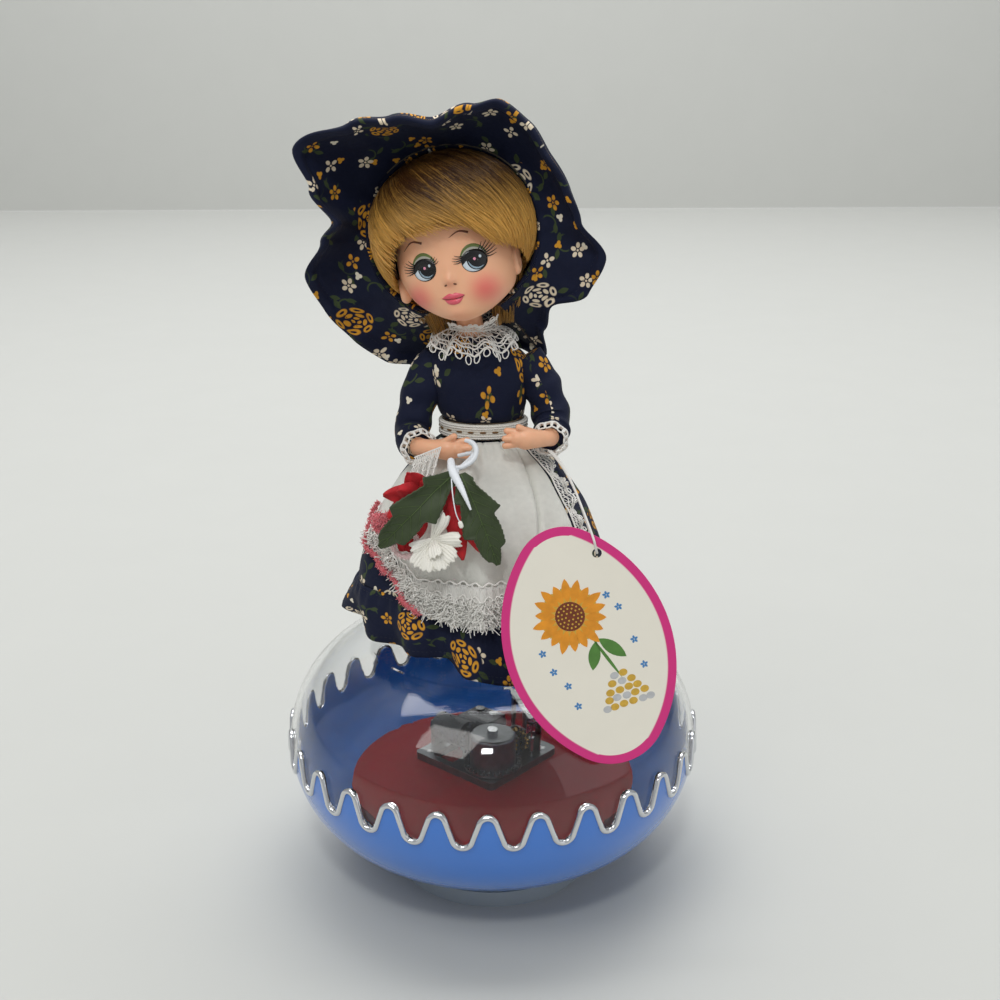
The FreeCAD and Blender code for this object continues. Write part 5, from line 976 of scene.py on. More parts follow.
def make_sleeves(scene):
    for side, table in SLEEVES.items():
        runs = through(table, 12)
        points = [arm_spot(run) for run in runs]
        length = sum((b - a).length for a, b in zip(points, points[1:]))

        def crumple(index, angle, seed=len(side)):
            t = index / (len(points) - 1)
            fold = 0.05 * math.sin(t * 26 + 1.3 * math.sin(angle + seed)) * ease(t * 3) * ease((1 - t) * 5)
            return 1 + fold + 0.10 * wander((math.cos(angle) * 6, math.sin(angle) * 6, t * 34), 5.0, seed)

        rows = tube_rows(points, [ARM * run[3] * 0.99 for run in runs], 48, crumple)
        sleeve = skinned("printed_sleeve_" + side, "calico", rows, True, caps=True, spread=lambda c, r: (
            c / 48 * 40.0 + 70.0 * len(side), length * r / (len(rows) - 1) + 11.0))
        place_piece(sleeve, "base", "print_cloth", "sleeve_" + side)


def capsule(start, end, radius):
    line = (end - start).normalized()
    points, radii = [], []
    for step in range(5):
        angle = math.pi / 2 * step / 5
        points.append(start - line * (radius * math.cos(angle)))
        radii.append(max(0.02, radius * math.sin(angle)))
    for share in (0.0, 0.25, 0.5, 0.75, 1.0):
        points.append(start + (end - start) * share)
        radii.append(radius)
    for step in range(1, 6):
        angle = math.pi / 2 * step / 5
        points.append(end + line * (radius * math.sin(angle)))
        radii.append(max(0.02, radius * math.cos(angle)))
    return tube_rows(points, radii, 16)


def joined(name, meshes):
    work = bmesh.new()
    for mesh in meshes:
        work.from_mesh(mesh)
        bpy.data.meshes.remove(mesh)
    whole = bpy.data.meshes.new(name)
    work.to_mesh(whole)
    work.free()
    return whole


def make_hands(scene):
    for side, table in PALMS.items():
        runs = through(table, 8)
        points = [arm_spot(run) for run in runs]
        forms = [skin("palm", tube_rows(points, [ARM * run[3] for run in runs], 28), True, caps=True)]
        knuckle = arm_spot(table[-1])
        forms.append(skin("knuckle", capsule(knuckle, knuckle + Vector((0.2, 0, 0)), ARM * .08), True,
                          caps=True))
        for values in FINGERS[side]:
            start, end = arm_spot(values), arm_spot(values[3:])
            forms.append(skin("finger", capsule(start, end, 1.15), True, caps=True))
        hand = add_piece("vinyl_hand_" + side, joined("hand", forms), FINISHES["skin"])
        melt(hand, 0.24, 4)
        place_piece(hand, "base", "skin_vinyl", "hand_" + side)


def waist_point(azimuth, height, lift):
    out = heading(azimuth)
    return spot(0, 0, height) + Vector((out.x * (WAIST_WIDE + lift), out.y * (WAIST_DEEP + lift), 0))


def make_waistband(scene):
    around, rows = 160, []
    for z, lift in ((0.4, -0.2), (0.4, 1.0), (1.6, 1.15), (3.0, 1.05), (4.4, 1.15), (5.6, 1.0), (5.6, -0.2)):
        rows.append([waist_point(360 * c / around, z, lift) for c in range(around)])
    band = skinned("woven_band", "band", rows, True, True, lambda c, r: (c * 0.5, r * 1.5))
    place_piece(band, "base", "band_ribbon", "waistband")
    ribs = [[waist_point(c, level + 0.16 * math.sin(c * 1.9), 1.1 + 0.12 * math.cos(c * 1.9))
             for c in range(361)] for level in (0.9, 1.7, 4.3, 5.1)]
    lay_threads("band_ribs", ribs, "lace", 0.26, 5, "base", "band_ribbon")
    ring = [waist_point(c, 3.0, 1.0) for c in range(-90, 271, 4)]
    lay_stitches("band_eyelets", [ring], "eyelet", 4.4, 0.42, 1.2, "base", "band_ribbon")


# Middle of the neckline from the waist, and how far the collar reaches at the front and the back
COLLAR_X, COLLAR_Z, COLLAR_FRONT, COLLAR_BACK = -3.2, 38.0, 17.2, 10.8


def collar_point(azimuth, share):
    """Point on the gathered collar: share 0 at the neck, 1 at its hem, under 0 on its upright frill."""
    front = (1 - math.sin(math.radians(azimuth))) / 2
    reach = COLLAR_BACK * (1 - front) + COLLAR_FRONT * front
    fold = math.cos(math.radians((azimuth - 90) * 9)) * 0.9
    out = heading(azimuth)
    top = spot(COLLAR_X, 0, COLLAR_Z) + out * (8.7 + fold / 2)
    drop = 6.6 * reach / COLLAR_FRONT
    if share < 0:
        height = 2.2 + 4.8 * max(0.0, math.cos(math.radians(azimuth - 15)))
        frill = 1.5 * math.cos(math.radians((azimuth - 90) * 8)) * -share
        return top + out * (frill - 1.2 * share) + Vector((0, 0, -share * height + 0.4 * frill))
    hem = spot(COLLAR_X, 0, COLLAR_Z - drop + fold) + out * (reach + fold)
    across = strip(top, hem, 0.9, out + Vector((0, 0, 1)), 3)[1]
    along = hem - top
    ruffle = 1.1 * math.cos(math.radians((azimuth - 90) * 9 + 30)) * share
    return top + along * share + across * (0.9 * 4 * share * (1 - share) + ruffle)


def lace_work(point, repeats, bands, loops):
    """Lines of a machine lace in a strip: bands along it, a net between them and loops at its edge."""
    lines = []
    steps = repeats * 10
    for share, swell, taper in bands:
        lines.append([(point(c / steps, share + swell * math.sin(TURN * c / steps * repeats)),
                       taper, 0.6) for c in range(steps + 1)])
    for (low, _, _), (high, _, _) in zip(bands, bands[1:]):
        dense = 3 if high - low < 0.25 else 2
        for k in range(repeats * dense):
            for way in (-1, 1):
                a, b = k / (repeats * dense), (k + 0.5 + way * 0.5) / (repeats * dense)
                lines.append([(point(a + (b - a) * s, low + (high - low) * s), 0.55, 0.45)
                              for s in (0, 0.35, 0.7, 1)])
    base = bands[-1][0]
    for k in range(repeats * loops[0]):
        centre = (k + 0.5) / (repeats * loops[0])
        width = 0.32 / (repeats * loops[0])
        lines.append([(point(centre + width * math.sin(TURN * s / 10),
                             base + loops[1] * (0.5 - 0.5 * math.cos(TURN * s / 10))), 0.85, 0.6)
                      for s in range(11)])
    return lines


def make_collar(scene):
    def point(u, v):
        return collar_point(90 + 360 * u, v)

    bands = ((0.0, 0.0, 1.2), (0.30, 0.05, 0.8), (0.56, 0.05, 1.1), (0.68, 0.04, 1.1), (0.9, 0.05, 1.3))
    lay_threads("collar_lace", lace_work(point, 18, bands, (2, 0.26)), "lace", 0.25, 5, "base", "lace_white",
                "lace_collar")
    bands = ((0.0, 0.0, 1.1), (0.3, 0.06, 0.8), (0.62, 0.06, 1.1), (0.8, 0.06, 1.1))
    frill = lace_work(lambda u, v: point(u, -v), 16, bands, (2, 0.22))
    lay_threads("collar_frill", frill, "lace", 0.24, 5, "base", "lace_white")


def make_cuffs(scene):
    for side, table in SLEEVES.items():
        start, before = arm_spot(table[-1]), arm_spot(table[-2])
        line = (start - before).normalized()
        first = line.cross(Vector((0, 0, 1))).normalized()
        second = line.cross(first)
        lines = []

        def point(u, v):
            angle = TURN * u
            reach = 5.1 + 1.1 * math.sin(math.pi * min(1, max(0, v))) + 0.25 * math.cos(angle * 7)
            return start + line * (0.3 + 3.4 * v) + (first * math.cos(angle)
                                                     + second * math.sin(angle)) * reach

        for row, v in enumerate((0.22, 0.78)):
            for k in range(15):
                lines.append([(point((k + 0.5 * row + 0.62 * math.sin(TURN * s / 14)) / 15,
                                     v - 0.36 * math.cos(TURN * s / 14)), 1.0, 0.6) for s in range(15)])
        for v in (-0.06, 0.5):
            lines.append([(point(c / 90, v + 0.04 * math.sin(c * 1.4)), 1.1, 0.5) for c in range(91)])
        lay_threads("cuff_lace_" + side, lines, "lace", 0.29, 6, "base", "lace_white", "cuff_" + side)


# Azimuths between which the skirt's side fold laps over the apron
FOLD_FROM, FOLD_TO = 186, 258
# How far down the skirt the lace and the cloth of the apron reach, by azimuth
LACE_LIMIT = ((150, 0.5), (196, 0.55), (203, 0.67), (220, 0.77), (234, 0.90), (244, 0.99), (252, 1.05),
              (262, 1.09), (275, 1.075), (319, 1.06), (360, 1.2))
CLOTH_LIMIT = ((196, 0.50), (203, 0.60), (220, 0.67), (233, 0.80), (245, 0.86), (319, 0.86))


def skirt_fold(azimuth, share):
    """How far the skirt's side fold laps over the apron's rounded corner."""
    azimuth %= 360
    if not FOLD_FROM < azimuth < FOLD_TO:
        return 0.0
    edge = between(LACE_LIMIT, azimuth)[0]
    sides = ease((azimuth - FOLD_FROM) / 16) * ease((FOLD_TO - azimuth) / 10)
    return 5.6 * sides * ease((share - edge) / 0.05 + 0.4)


def make_skirt(scene):
    dress = scene.bank_dress

    def section(azimuth):
        line, across = strip(skirt_point(azimuth, 0, dress), skirt_point(azimuth, 1, dress), SKIRT_BOW,
                             heading(azimuth), SKIRT_ROWS)
        made = []
        for k, point in enumerate(line):
            t = k / (SKIRT_ROWS - 1)
            gather = 0.45 * math.cos(math.radians(azimuth * 34)) * (1 - ease(t * 2)) * ease(t * 12)
            lift = gather + 0.7 * wander(point, 13.0, 3.0) * ease(t * 2) - 0.5
            made.append(point + across * (lift + skirt_fold(azimuth, t)))
        return made

    skirt = draped("printed_skirt", "calico", evenly(90, 450, SKIRT_COLUMNS, True), section, True,
                   lambda c, r: fan(360 * c / SKIRT_COLUMNS - 180, 29.5 + 59.6 * r / (SKIRT_ROWS - 1), 0.488))
    wall(skirt, 0.5)
    place_piece(skirt, "base", "print_cloth", "skirt")


# Hem of the flounce: azimuth, reach and drop, in shares of its radius and height
FLOUNCE = ((0, 1.0, 1.0), (90, 1.0, 1.0), (150, 1.02, 0.86), (180, 1.07, 0.52), (205, 1.01, 0.43),
           (220, 0.965, 0.66), (235, 0.965, 0.66), (250, 0.965, 0.71), (262, 0.965, 1.0),
           (276, 0.97, 1.17), (292, 0.985, 1.12), (330, 0.99, 1.1), (360, 1.0, 1.0))


def flounce_line(azimuth, dress):
    reach, drop = between(FLOUNCE, azimuth % 360)
    over = skirt_fold(azimuth, 1.0)
    lift = strip(skirt_point(azimuth, 0, dress), skirt_point(azimuth, 1, dress), SKIRT_BOW,
                 heading(azimuth), 3)[1]
    top = skirt_point(azimuth, 1, dress) + lift * (over + 0.1) + Vector((0, 0, 0.7))
    fold = 1.2 * math.cos(math.radians(azimuth) * 15) + over * 0.35
    extra = 1.3 * math.cos(math.radians(azimuth * 15 + 40 * math.sin(math.radians(azimuth * 3))))
    hem = spot(2.08, 0, -52 - 21 * drop) + heading(azimuth) * (dress.flounce_radius / MM * reach + fold)
    line, across = strip(top, hem, 1.4, heading(azimuth), FLOUNCE_ROWS)
    made = []
    for k, point in enumerate(line):
        t = k / (FLOUNCE_ROWS - 1)
        gather = 0.4 * math.cos(math.radians(azimuth * 60)) * (1 - ease(t * 1.6)) * ease(t * 8)
        made.append(point + across * (extra * t * t + gather + 0.8 * wander(point, 9.0, 7.0) * t - 0.4))
    return made


def make_flounce(scene):
    dress = scene.bank_dress
    flounce = draped("printed_flounce", "calico", evenly(90, 450, FLOUNCE_COLUMNS, True),
                     lambda a: flounce_line(a, dress), True, lambda c, r: (
                         c / FLOUNCE_COLUMNS * 300.0 + 31.0, r / (FLOUNCE_ROWS - 1) * 20.0 + 40.0))
    wall(flounce, 0.55)
    place_piece(flounce, "base", "print_cloth", "skirt_flounce")
    for name, share in (("flounce_hem_stitches", 0.88), ("flounce_seam_stitches", 0.08)):
        line = [at_step(flounce_line(azimuth, dress), share * (FLOUNCE_ROWS - 1)) + heading(azimuth) * 0.3
                for azimuth in evenly(90, 450, 361)]
        lay_stitches(name, [line], "calico_thread", 1.6, 0.13, 0.5, "base", "print_cloth")


APRON_FROM, APRON_TO = 203, 319
# Creases of the apron: azimuth at the band, start and end down the cloth, lean, depth, width
CREASES = ((269, -0.05, 0.13, 90, 1.5, 1.1), (314, 0.02, 0.80, -24, 2.0, 1.3),
           (296, -0.05, 0.24, 14, 1.0, 1.6), (257, -0.05, 0.34, 60, 0.8, 2.6),
           (247, 0.05, 0.6, 20, 0.8, 3.0), (306, 0.15, 1.1, -4, 0.9, 4.0),
           (288, 0.3, 1.1, -6, 0.7, 5.0), (233, 0.0, 0.6, 6, 0.9, 2.4))


def tucked(azimuth, share):
    """How far the apron's corner is drawn in under the skirt's fold."""
    below = ease((share - between(LACE_LIMIT, azimuth % 360)[0]) / 0.05 + 0.9)
    return 3.6 * below * ease((FOLD_TO - azimuth) / 10)


def apron_line(azimuth, dress):
    out = heading(azimuth)
    top = skirt_point(azimuth, 0, dress) + out * 2.4 - Vector((0, 0, 0.2))
    fold = 0.9 * math.cos(math.radians(azimuth) * 24)
    hem = skirt_point(azimuth, 1, dress, 2.9 + fold) + Vector((0, 0, 2.0))
    line, across = strip(top, hem, APRON_BOW, out, APRON_ROWS)
    made = []
    for k, point in enumerate(line):
        t = k / (APRON_ROWS - 1)
        dip = 0.0
        for at, low, high, lean, depth, width in CREASES:
            away = (azimuth - at - lean * t) / (width * (1.6 - 0.6 * t))
            dip += depth * math.exp(-away * away) * ease((t - low) * 14) * ease((high - t) * 5)
        gather = 0.4 * math.cos(math.radians(azimuth * 36)) * (1 - ease(t * 6)) * ease(t * 16)
        lump = 0.9 * wander(point, 12.0, 11.0) * ease(t * 3) + 0.25 * wander(point, 4.0, 1.0)
        made.append(point + across * (gather + lump - dip + 0.2 - tucked(azimuth, t)))
    return made


def make_apron(scene):
    dress = scene.bank_dress

    def flat(c, r):
        return fan((APRON_TO - APRON_FROM) * c / (APRON_COLUMNS - 1), 32 + 58.0 * r / (APRON_ROWS - 1), 0.5)

    apron = draped("cotton_apron", "apron", evenly(APRON_FROM, APRON_TO, APRON_COLUMNS),
                   lambda a: apron_line(a, dress), False, flat)
    wall(apron, 0.45)
    place_piece(apron, "base", "apron_cloth", "apron")


def front_point(azimuth, share, dress, lift=0.0):
    """Point on the apron's front, or on the lace that hangs below it, lifted off the cloth."""
    line = apron_line(max(APRON_FROM, min(APRON_TO, azimuth)), dress)
    out = heading(azimuth)
    lift += tucked(max(APRON_FROM, azimuth), min(1.0, share))
    base = at_step(line, min(APRON_ROWS - 1.001, max(0.0, share * (APRON_ROWS - 1))))
    if share > 1:
        base = base + Vector((0, 0, -52 * (share - 1))) + out * (20 * (share - 1))
    side = Vector((-out.y, out.x, 0))
    if azimuth > APRON_TO:
        base = base + side * (0.8 * (azimuth - APRON_TO))
    return base + out * lift


def make_apron_lace(scene):
    dress = scene.bank_dress
    start, end = 206, APRON_TO

    def point(u, v):
        azimuth = start + (end - start) * u
        low, high = between(CLOTH_LIMIT, azimuth)[0], between(LACE_LIMIT, azimuth)[0]
        ruffle = 0.8 * math.sin(u * 120 + 3 * math.sin(u * 31)) * v
        return front_point(azimuth, low + (high - low) * v, dress, 1.1 + 1.4 * v * (1.1 - v) + ruffle)

    backing = draped("lace_backing", "lace", evenly(0.3, 1.0, 140),
                     lambda u: [point(u, s / 7 * 0.88) for s in range(8)], False,
                     lambda c, r: (c * 0.65, r * 1.1))
    wall(backing, 0.35)
    place_piece(backing, "base", "lace_white", "apron_lace")
    bands = ((-0.05, 0.04, 1.2), (0.3, 0.07, 1.0), (0.62, 0.06, 1.1), (0.86, 0.05, 1.1))
    net = lace_work(lambda u, v: point(u, v) + Vector((0, -0.5, 0.2)), 20, bands, (2, 0.24))
    lay_threads("lace_net", net, "lace", 0.24, 5, "base", "lace_white")
    chance = random.Random(11)
    lines = []
    for _ in range(2500):
        u, v = chance.random(), 0.25 + 0.72 * chance.random() ** 0.7
        azimuth = start + (end - start) * u
        if u < 0.2 and chance.random() < 0.6:
            continue
        first = point(u, v) + Vector((0, -0.5, 0))
        way = (heading(azimuth) * chance.uniform(0.1, 1.0) + Vector((
            chance.uniform(-1, 1), chance.uniform(-0.6, 0.2), chance.uniform(-1.2, 0.5)))).normalized()
        turn_to = Vector((chance.uniform(-1, 1), chance.uniform(-0.6, 0.2), chance.uniform(-1, 1)))
        reach = chance.uniform(1.4, 3.2)
        lines.append([(first + way * (reach * t) + turn_to * (reach * 0.8 * t * (t - 0.3)),
                       1.15 - 0.35 * t, 0.25 + 0.6 * chance.random()) for t in (0, 0.25, 0.5, 0.75, 1)])
    lay_threads("lace_fluff", lines, "lace", 0.2, 4, "base", "lace_white")
    make_side_lace(dress, chance)


def fuzz(chance, spots, count, reach, tones):
    """Short curly hairs round a run of spots."""
    lines = []
    for _ in range(count):
        start = chance.choice(spots)
        start = start + Vector([chance.uniform(-0.5, 0.5) for _ in range(3)])
        way = Vector([chance.uniform(-1, 1) for _ in range(3)]).normalized()
        bend = Vector([chance.uniform(-1, 1) for _ in range(3)])
        lines.append([(start + way * (reach * t) + bend * (reach * 0.4 * t * t), 1 - 0.4 * t,
                       chance.uniform(*tones)) for t in (0, 0.35, 0.7, 1)])
    return lines


def make_side_lace(dress, chance):
    """Narrow ruffled lace down the apron's right edge, and the tinted cord on its left."""
    def right(u, v):
        azimuth = APRON_TO + 1.5 + 8.5 * v * (0.75 + 0.25 * math.sin(u * 19))
        return front_point(azimuth, 0.06 + 0.86 * u, dress, 0.9 + 1.1 * math.sin(u * TURN * 7) * v)

    bands = ((-0.1, 0.0, 1.2), (0.25, 0.06, 0.9), (0.6, 0.05, 1.2), (0.85, 0.06, 1.0))
    lay_threads("side_lace", lace_work(right, 14, bands, (2, 0.3)), "lace", 0.26, 5, "base", "lace_white")
    edge = ((203.5, 0.50), (205, 0.60), (210, 0.70), (220, 0.765), (228, 0.83), (236, 0.91), (244, 0.985))
    cord = [front_point(azimuth, share, dress, 1.9 + 2.2 * ease((azimuth - 200) / 18))
            for azimuth, share in through(edge, 8)]
    lines = [[(point, 3.4, 0.45) for point in cord]] + fuzz(chance, cord, 1300, 1.1, (0.1, 0.8))
    tuft = Vector((-36.3, -37.5, 150.4))
    ball = [tuft + Vector([chance.uniform(-1, 1) for _ in range(3)]).normalized() * 2.6 for _ in range(60)]
    lines += fuzz(chance, ball, 900, 1.6, (0.2, 1.0))
    lines += [[(tuft + Vector((3.0 * math.cos(a + k), 1.5 * math.sin(a * 2), 3.0 * math.sin(a))),
                1.8, 0.7) for a in (TURN * c / 16 for c in range(17))] for k in (0.0, 0.8, 1.9)]
    lay_threads("tinted_cord", lines, "pink", 0.15, 4, "base", "lace_white")

    def gathered(u, v):
        return Vector((-16.5 - 9.0 * u - 2.2 * v, -27.5 - 6.0 * v - 1.4 * math.sin(u * 30) * v,
                       173.5 - 3.6 * u - 7.5 * v + 0.7 * math.cos(u * 26) * v))

    bands = ((0.0, 0.0, 1.2), (0.35, 0.05, 0.9), (0.7, 0.05, 1.1), (0.95, 0.04, 1.1))
    lay_threads("hand_lace", lace_work(gathered, 7, bands, (2, 0.2)), "lace", 0.27, 5, "base", "lace_white")


# Bouquet
STEM = 30.0
# Cloth petals of each flower: where they start, then tips with a width
RED_PETALS = (
    ((-22.3, -39.5, 161.5), (
        (-35.2, -41, 161.2, 6.4), (-27.0, -42, 169.3, 7.6), (-18.2, -43, 167.2, 6.4),
        (-33.9, -42, 153.8, 6.8), (-30.2, -45.5, 164.5, 6.6), (-26.0, -45.0, 157.0, 6.0))),
    ((-13.2, -42, 164.0), (
        (-12.2, -44, 145.8, 5.6), (-9.2, -47, 140.6, 6.6), (-2.9, -46, 142.7, 6.6),
        (-5.0, -44.6, 149.6, 5.6), (-9.6, -45.4, 150.0, 5.0))),
    ((-27.9, -43.6, 146.0), (
        (-31.4, -44.6, 146.6, 3.8), (-27.4, -44.6, 149.6, 3.8), (-24.9, -44.4, 147.4, 3.8),
        (-26.2, -44.8, 142.8, 3.8), (-30.0, -44.8, 143.0, 3.8), (-20.8, -43.5, 152.6, 4.6))),
)
WHITE_PETALS = ((-18.9, -46, 147.4), (
    (-15.2, -48, 157.2, 5.6), (-9.4, -50, 148.6, 5.2), (-11.6, -51, 142.2, 5.4), (-15.6, -51.5, 138.8, 5.4),
    (-20.6, -51, 138.0, 5.6), (-24.8, -50, 139.6, 5.6), (-25.9, -49, 144.6, 4.4), (-17.6, -52, 143.4, 4.6)))
# Each leaf: places along it, then its half width there; all in stem lengths from the waist
LEAVES = (
    ((-.31, -1.46, -.06, .05), (-.50, -1.58, -.22, .22), (-.77, -1.69, -.47, .26),
     (-.98, -1.70, -.68, .17), (-1.12, -1.68, -.82, .03)),
    ((-.23, -1.46, -.06, .05), (-.12, -1.60, -.28, .22), (0.0, -1.68, -.56, .27),
     (.10, -1.70, -.84, .17), (.17, -1.69, -1.03, .03)),
)
# Each paper-wound stem: places along it and its taper there
STEM_RUNS = (
    ((-10.7, -26.9, 170.4, 1.0), (-5.6, -30.6, 172.2, 1.0), (-8.6, -34.8, 169.8, 1.0),
     (-10.7, -39, 169.2, 1.0), (-10.7, -42.3, 168.9, 1.0)),
    ((-12.6, -40.0, 170.2, 1.2), (-9.2, -38.6, 169.9, 1.2), (-5.6, -36.5, 171.8, 1.25),
     (-4.6, -34.5, 174.6, 1.25), (-5.8, -32.5, 176.4, 1.2), (-8.2, -31.0, 176.9, 1.0)),
    ((-12.9, -38.0, 172.0, 1.7), (-12.2, -43.5, 170.0, 2.2), (-9.8, -47.6, 166.6, 1.75),
     (-7.9, -50.6, 163.4, 1.1), (-6.2, -52.0, 159.6, 0.5)),
    ((-12.5, -46.0, 168.2, 0.3), (-12.0, -50.5, 164.2, 0.3), (-11.0, -52.6, 158.8, 0.28),
     (-9.5, -52.8, 155.2, 0.26)),
)


def stem_spot(values):
    return spot(*[STEM * value for value in values[:3]])


def petal_mesh(base, tip, wide, blunt, bow, ribs=0, seed=0.0):
    """Cloth petal from its base to its tip: blunt 0 is pointed, 1 is frilled along a wide end."""
    line = tip - base
    side = line.cross(Vector((0.05, -1, 0.1))).normalized()
    out = line.cross(side).normalized()
    out = out if out.y < 0 else -out
    rows = []
    for k in range(19):
        t = k / 18
        pointed = math.sin(math.pi * min(1.0, 0.12 + 0.88 * t)) ** 0.75
        half = wide / 2 * (pointed * (1 - blunt) + blunt * (0.3 + 0.75 * ease(t * 1.2)))
        row = []
        for c in range(25):
            a = (c - 12) / 12
            frill = (0.45 * math.cos(a * 8 + seed * 3) - 0.9 * a * a) * blunt * t ** 3
            wave = bow * math.sin(math.pi * t * 0.9) + 0.45 * math.sin(a * 3 + seed * 5) * t
            ridge = 0.16 * math.cos(a * math.pi * ribs) * ease(t * 3) if ribs else 0.0
            point = base + line * t + line.normalized() * frill + side * (half * a)
            lump = 0.8 * wander(point, 3.6, seed) * t
            row.append(point + out * (wave + ridge + lump - 0.9 * a * a * half * 0.35))
        rows.append(row)
    return skin("petal", rows)


def make_blooms(scene):
    forms = []
    for number, (base, tips) in enumerate(RED_PETALS):
        for k, (x, y, z, wide) in enumerate(tips):
            forms.append(petal_mesh(Vector(base), Vector((x, y, z)), wide, 0.12, 1.3, 0,
                                    k + number * 7.0))
    cloth_forms("velvet_flowers", forms, "velvet", 0.45, "petal_red", "red_flowers")
    base, tips = WHITE_PETALS
    forms = [petal_mesh(Vector(base), Vector((x, y, z)), wide, 0.85, 0.9, 5, k * 1.7)
             for k, (x, y, z, wide) in enumerate(tips)]
    cloth_forms("satin_flower", forms, "satin", 0.35, "petal_white", "white_flower")
    chance = random.Random(5)
    centre = Vector((-27.9, -46.2, 145.8))
    ring = [centre + Vector((math.cos(TURN * c / 24) * 4.1, 0.5 * math.sin(TURN * c / 24),
                             math.sin(TURN * c / 24) * 4.1)) for c in range(25)]
    ring[-1] = ring[0]
    lines = [[(point, 4.6, 0.8) for point in ring]] + fuzz(chance, ring, 1500, 0.9, (0.5, 1.0))
    lay_threads("chenille_ring", lines, "blush_thread", 0.13, 4, "base", "petal_white")


def leaf_edge(t, phase):
    """Share of a lobed, toothed leaf's width."""
    lobe = (t * 3.1 + phase) % 1.0
    return (0.60 + 0.44 * lobe ** 1.4 * (1 if lobe < 0.9 else (1 - lobe) * 10)) - 0.05 * ((t * 23) % 1.0)


def make_leaves(scene):
    forms, veins = [], []
    for number, table in enumerate(LEAVES):
        runs = through(table, 22)
        points = [stem_spot(run) for run in runs]
        side = (points[-1] - points[0]).cross(Vector((0, 1, 0))).normalized()
        rows, total = [], len(points) - 1
        for k, (point, run) in enumerate(zip(points, runs)):
            t = k / total
            row = []
            for c in range(17):
                across = (c - 8) / 8
                edge = leaf_edge(t, 0.15 if across < 0 else 0.62)
                half = STEM * max(0.012, run[3]) * 1.02 * (1 - (1 - edge) * ease(t * 5) * abs(across))
                cup = 1.3 * abs(across) ** 1.6 - 0.9 + 0.9 * wander((across * 5, t * 24, number), 4.5, 3.0)
                row.append(point + side * (half * across) + Vector((0, -cup * run[3] * 5, 0)))
            rows.append(row)
        forms.append(skin("blade", rows))
        veins.append([(row[8] + Vector((0, -0.4, 0)), 1.5 - k / total, 0.5)
                      for k, row in enumerate(rows)][1:])
        for k in range(8, total - 10, 9):
            for last in (0, 16):
                ribs = []
                for step in range(7):
                    c = 8 + (last - 8) * step / 7.2
                    row = rows[min(total, k + int(step * 2.2))]
                    low = int(c)
                    ribs.append((row[low] + (row[min(16, low + 1)] - row[low]) * (c - low)
                                 + Vector((0, -0.36, 0)), 0.75 - 0.08 * step, 0.5))
                veins.append(ribs)
    cloth_forms("cloth_leaves", forms, "leaf", 0.5, "leaf_green", "leaves")
    lay_threads("leaf_veins", veins, "vein", 0.15, 5, "base", "leaf_green")


def make_stems(scene):
    """Paper-wound stems: the loop in the hand, its tail over the leaves and a stamen on a wire."""
    lines = []
    for table in STEM_RUNS:
        lines.append([(Vector(run[:3]), run[3] * (1 + 0.05 * math.sin(k * 1.9)), 0.5)
                      for k, run in enumerate(through(table, 14))])
    lay_threads("paper_stems", lines, "paper", 0.66, 14, "base", "stem_paper", "bouquet_stems")
    rows = capsule(Vector((-9.6, -52.8, 155.4)), Vector((-9.3, -52.8, 154.4)), 0.75)
    place_piece(skinned("stamen_knob", "satin", rows, True, caps=True), "base", "petal_white")


# Head
FACE_WIDE, FACE_HIGH = 19.6, 21.2
# Rings of the face: height, half width, half depth and shift in depth, in shares of its size
FACE_RINGS = ((-1.045, .02, .02, -.52), (-1.0, .25, .20, -.49), (-.864, .54, .49, -.345),
              (-.591, .862, .764, -.172), (-.227, .985, .911, -.074), (.227, 1.0, .985, 0.0),
              (.591, .936, .936, 0.0), (.864, .665, .66, 0.0), (1.0, .296, .29, 0.0), (1.03, .02, .02, 0.0))
# Place on the face, reach across and up, height
FACE_FORMS = (
    (0.0, -7.2, 1.7, 1.5, 1.9), (0.0, -4.0, 1.6, 3.0, 0.5), (-1.5, -8.0, 0.9, 0.8, 0.45),
    (1.5, -8.0, 0.9, 0.8, 0.45), (0.0, -12.6, 2.6, 0.75, 0.75), (0.0, -14.3, 2.0, 0.8, 0.85),
    (0.0, -13.4, 3.2, 0.4, -0.45), (-8.4, -2.0, 4.2, 3.6, -0.55), (8.4, -2.0, 4.2, 3.6, -0.55),
    (-10.5, -12.0, 5.0, 4.5, 0.9), (10.5, -12.0, 5.0, 4.5, 0.9), (0.0, -18.6, 3.6, 2.6, 1.1),
    (-1.5, -8.8, 0.55, 0.4, -0.5), (1.5, -8.8, 0.55, 0.4, -0.5),
)


def face_rows():
    rows = []
    for z, wide, deep, back in through(FACE_RINGS, 11):
        row = []
        jaw = 1.7 * ease((-0.1 - z) / 0.6)
        z = z if z > -0.5 else -0.5 + (z + 0.5) * 0.93
        for c in range(220):
            out = heading(90 + 360 * c / 220)
            point = Vector((FACE_WIDE * max(0.01, wide) * out.x + jaw,
                            FACE_WIDE * (back + max(0.01, deep) * out.y), FACE_HIGH * z))
            rise = 0.0
            if point.y < 0:
                for x, height, across, up, lift in FACE_FORMS:
                    away = ((point.x - x) / across) ** 2
                    rise += lift * math.exp(-away - ((point.z - height) / up) ** 2)
            row.append(point + Vector((out.x * 0.5, out.y, 0)) * rise)
        rows.append(row)
    return rows


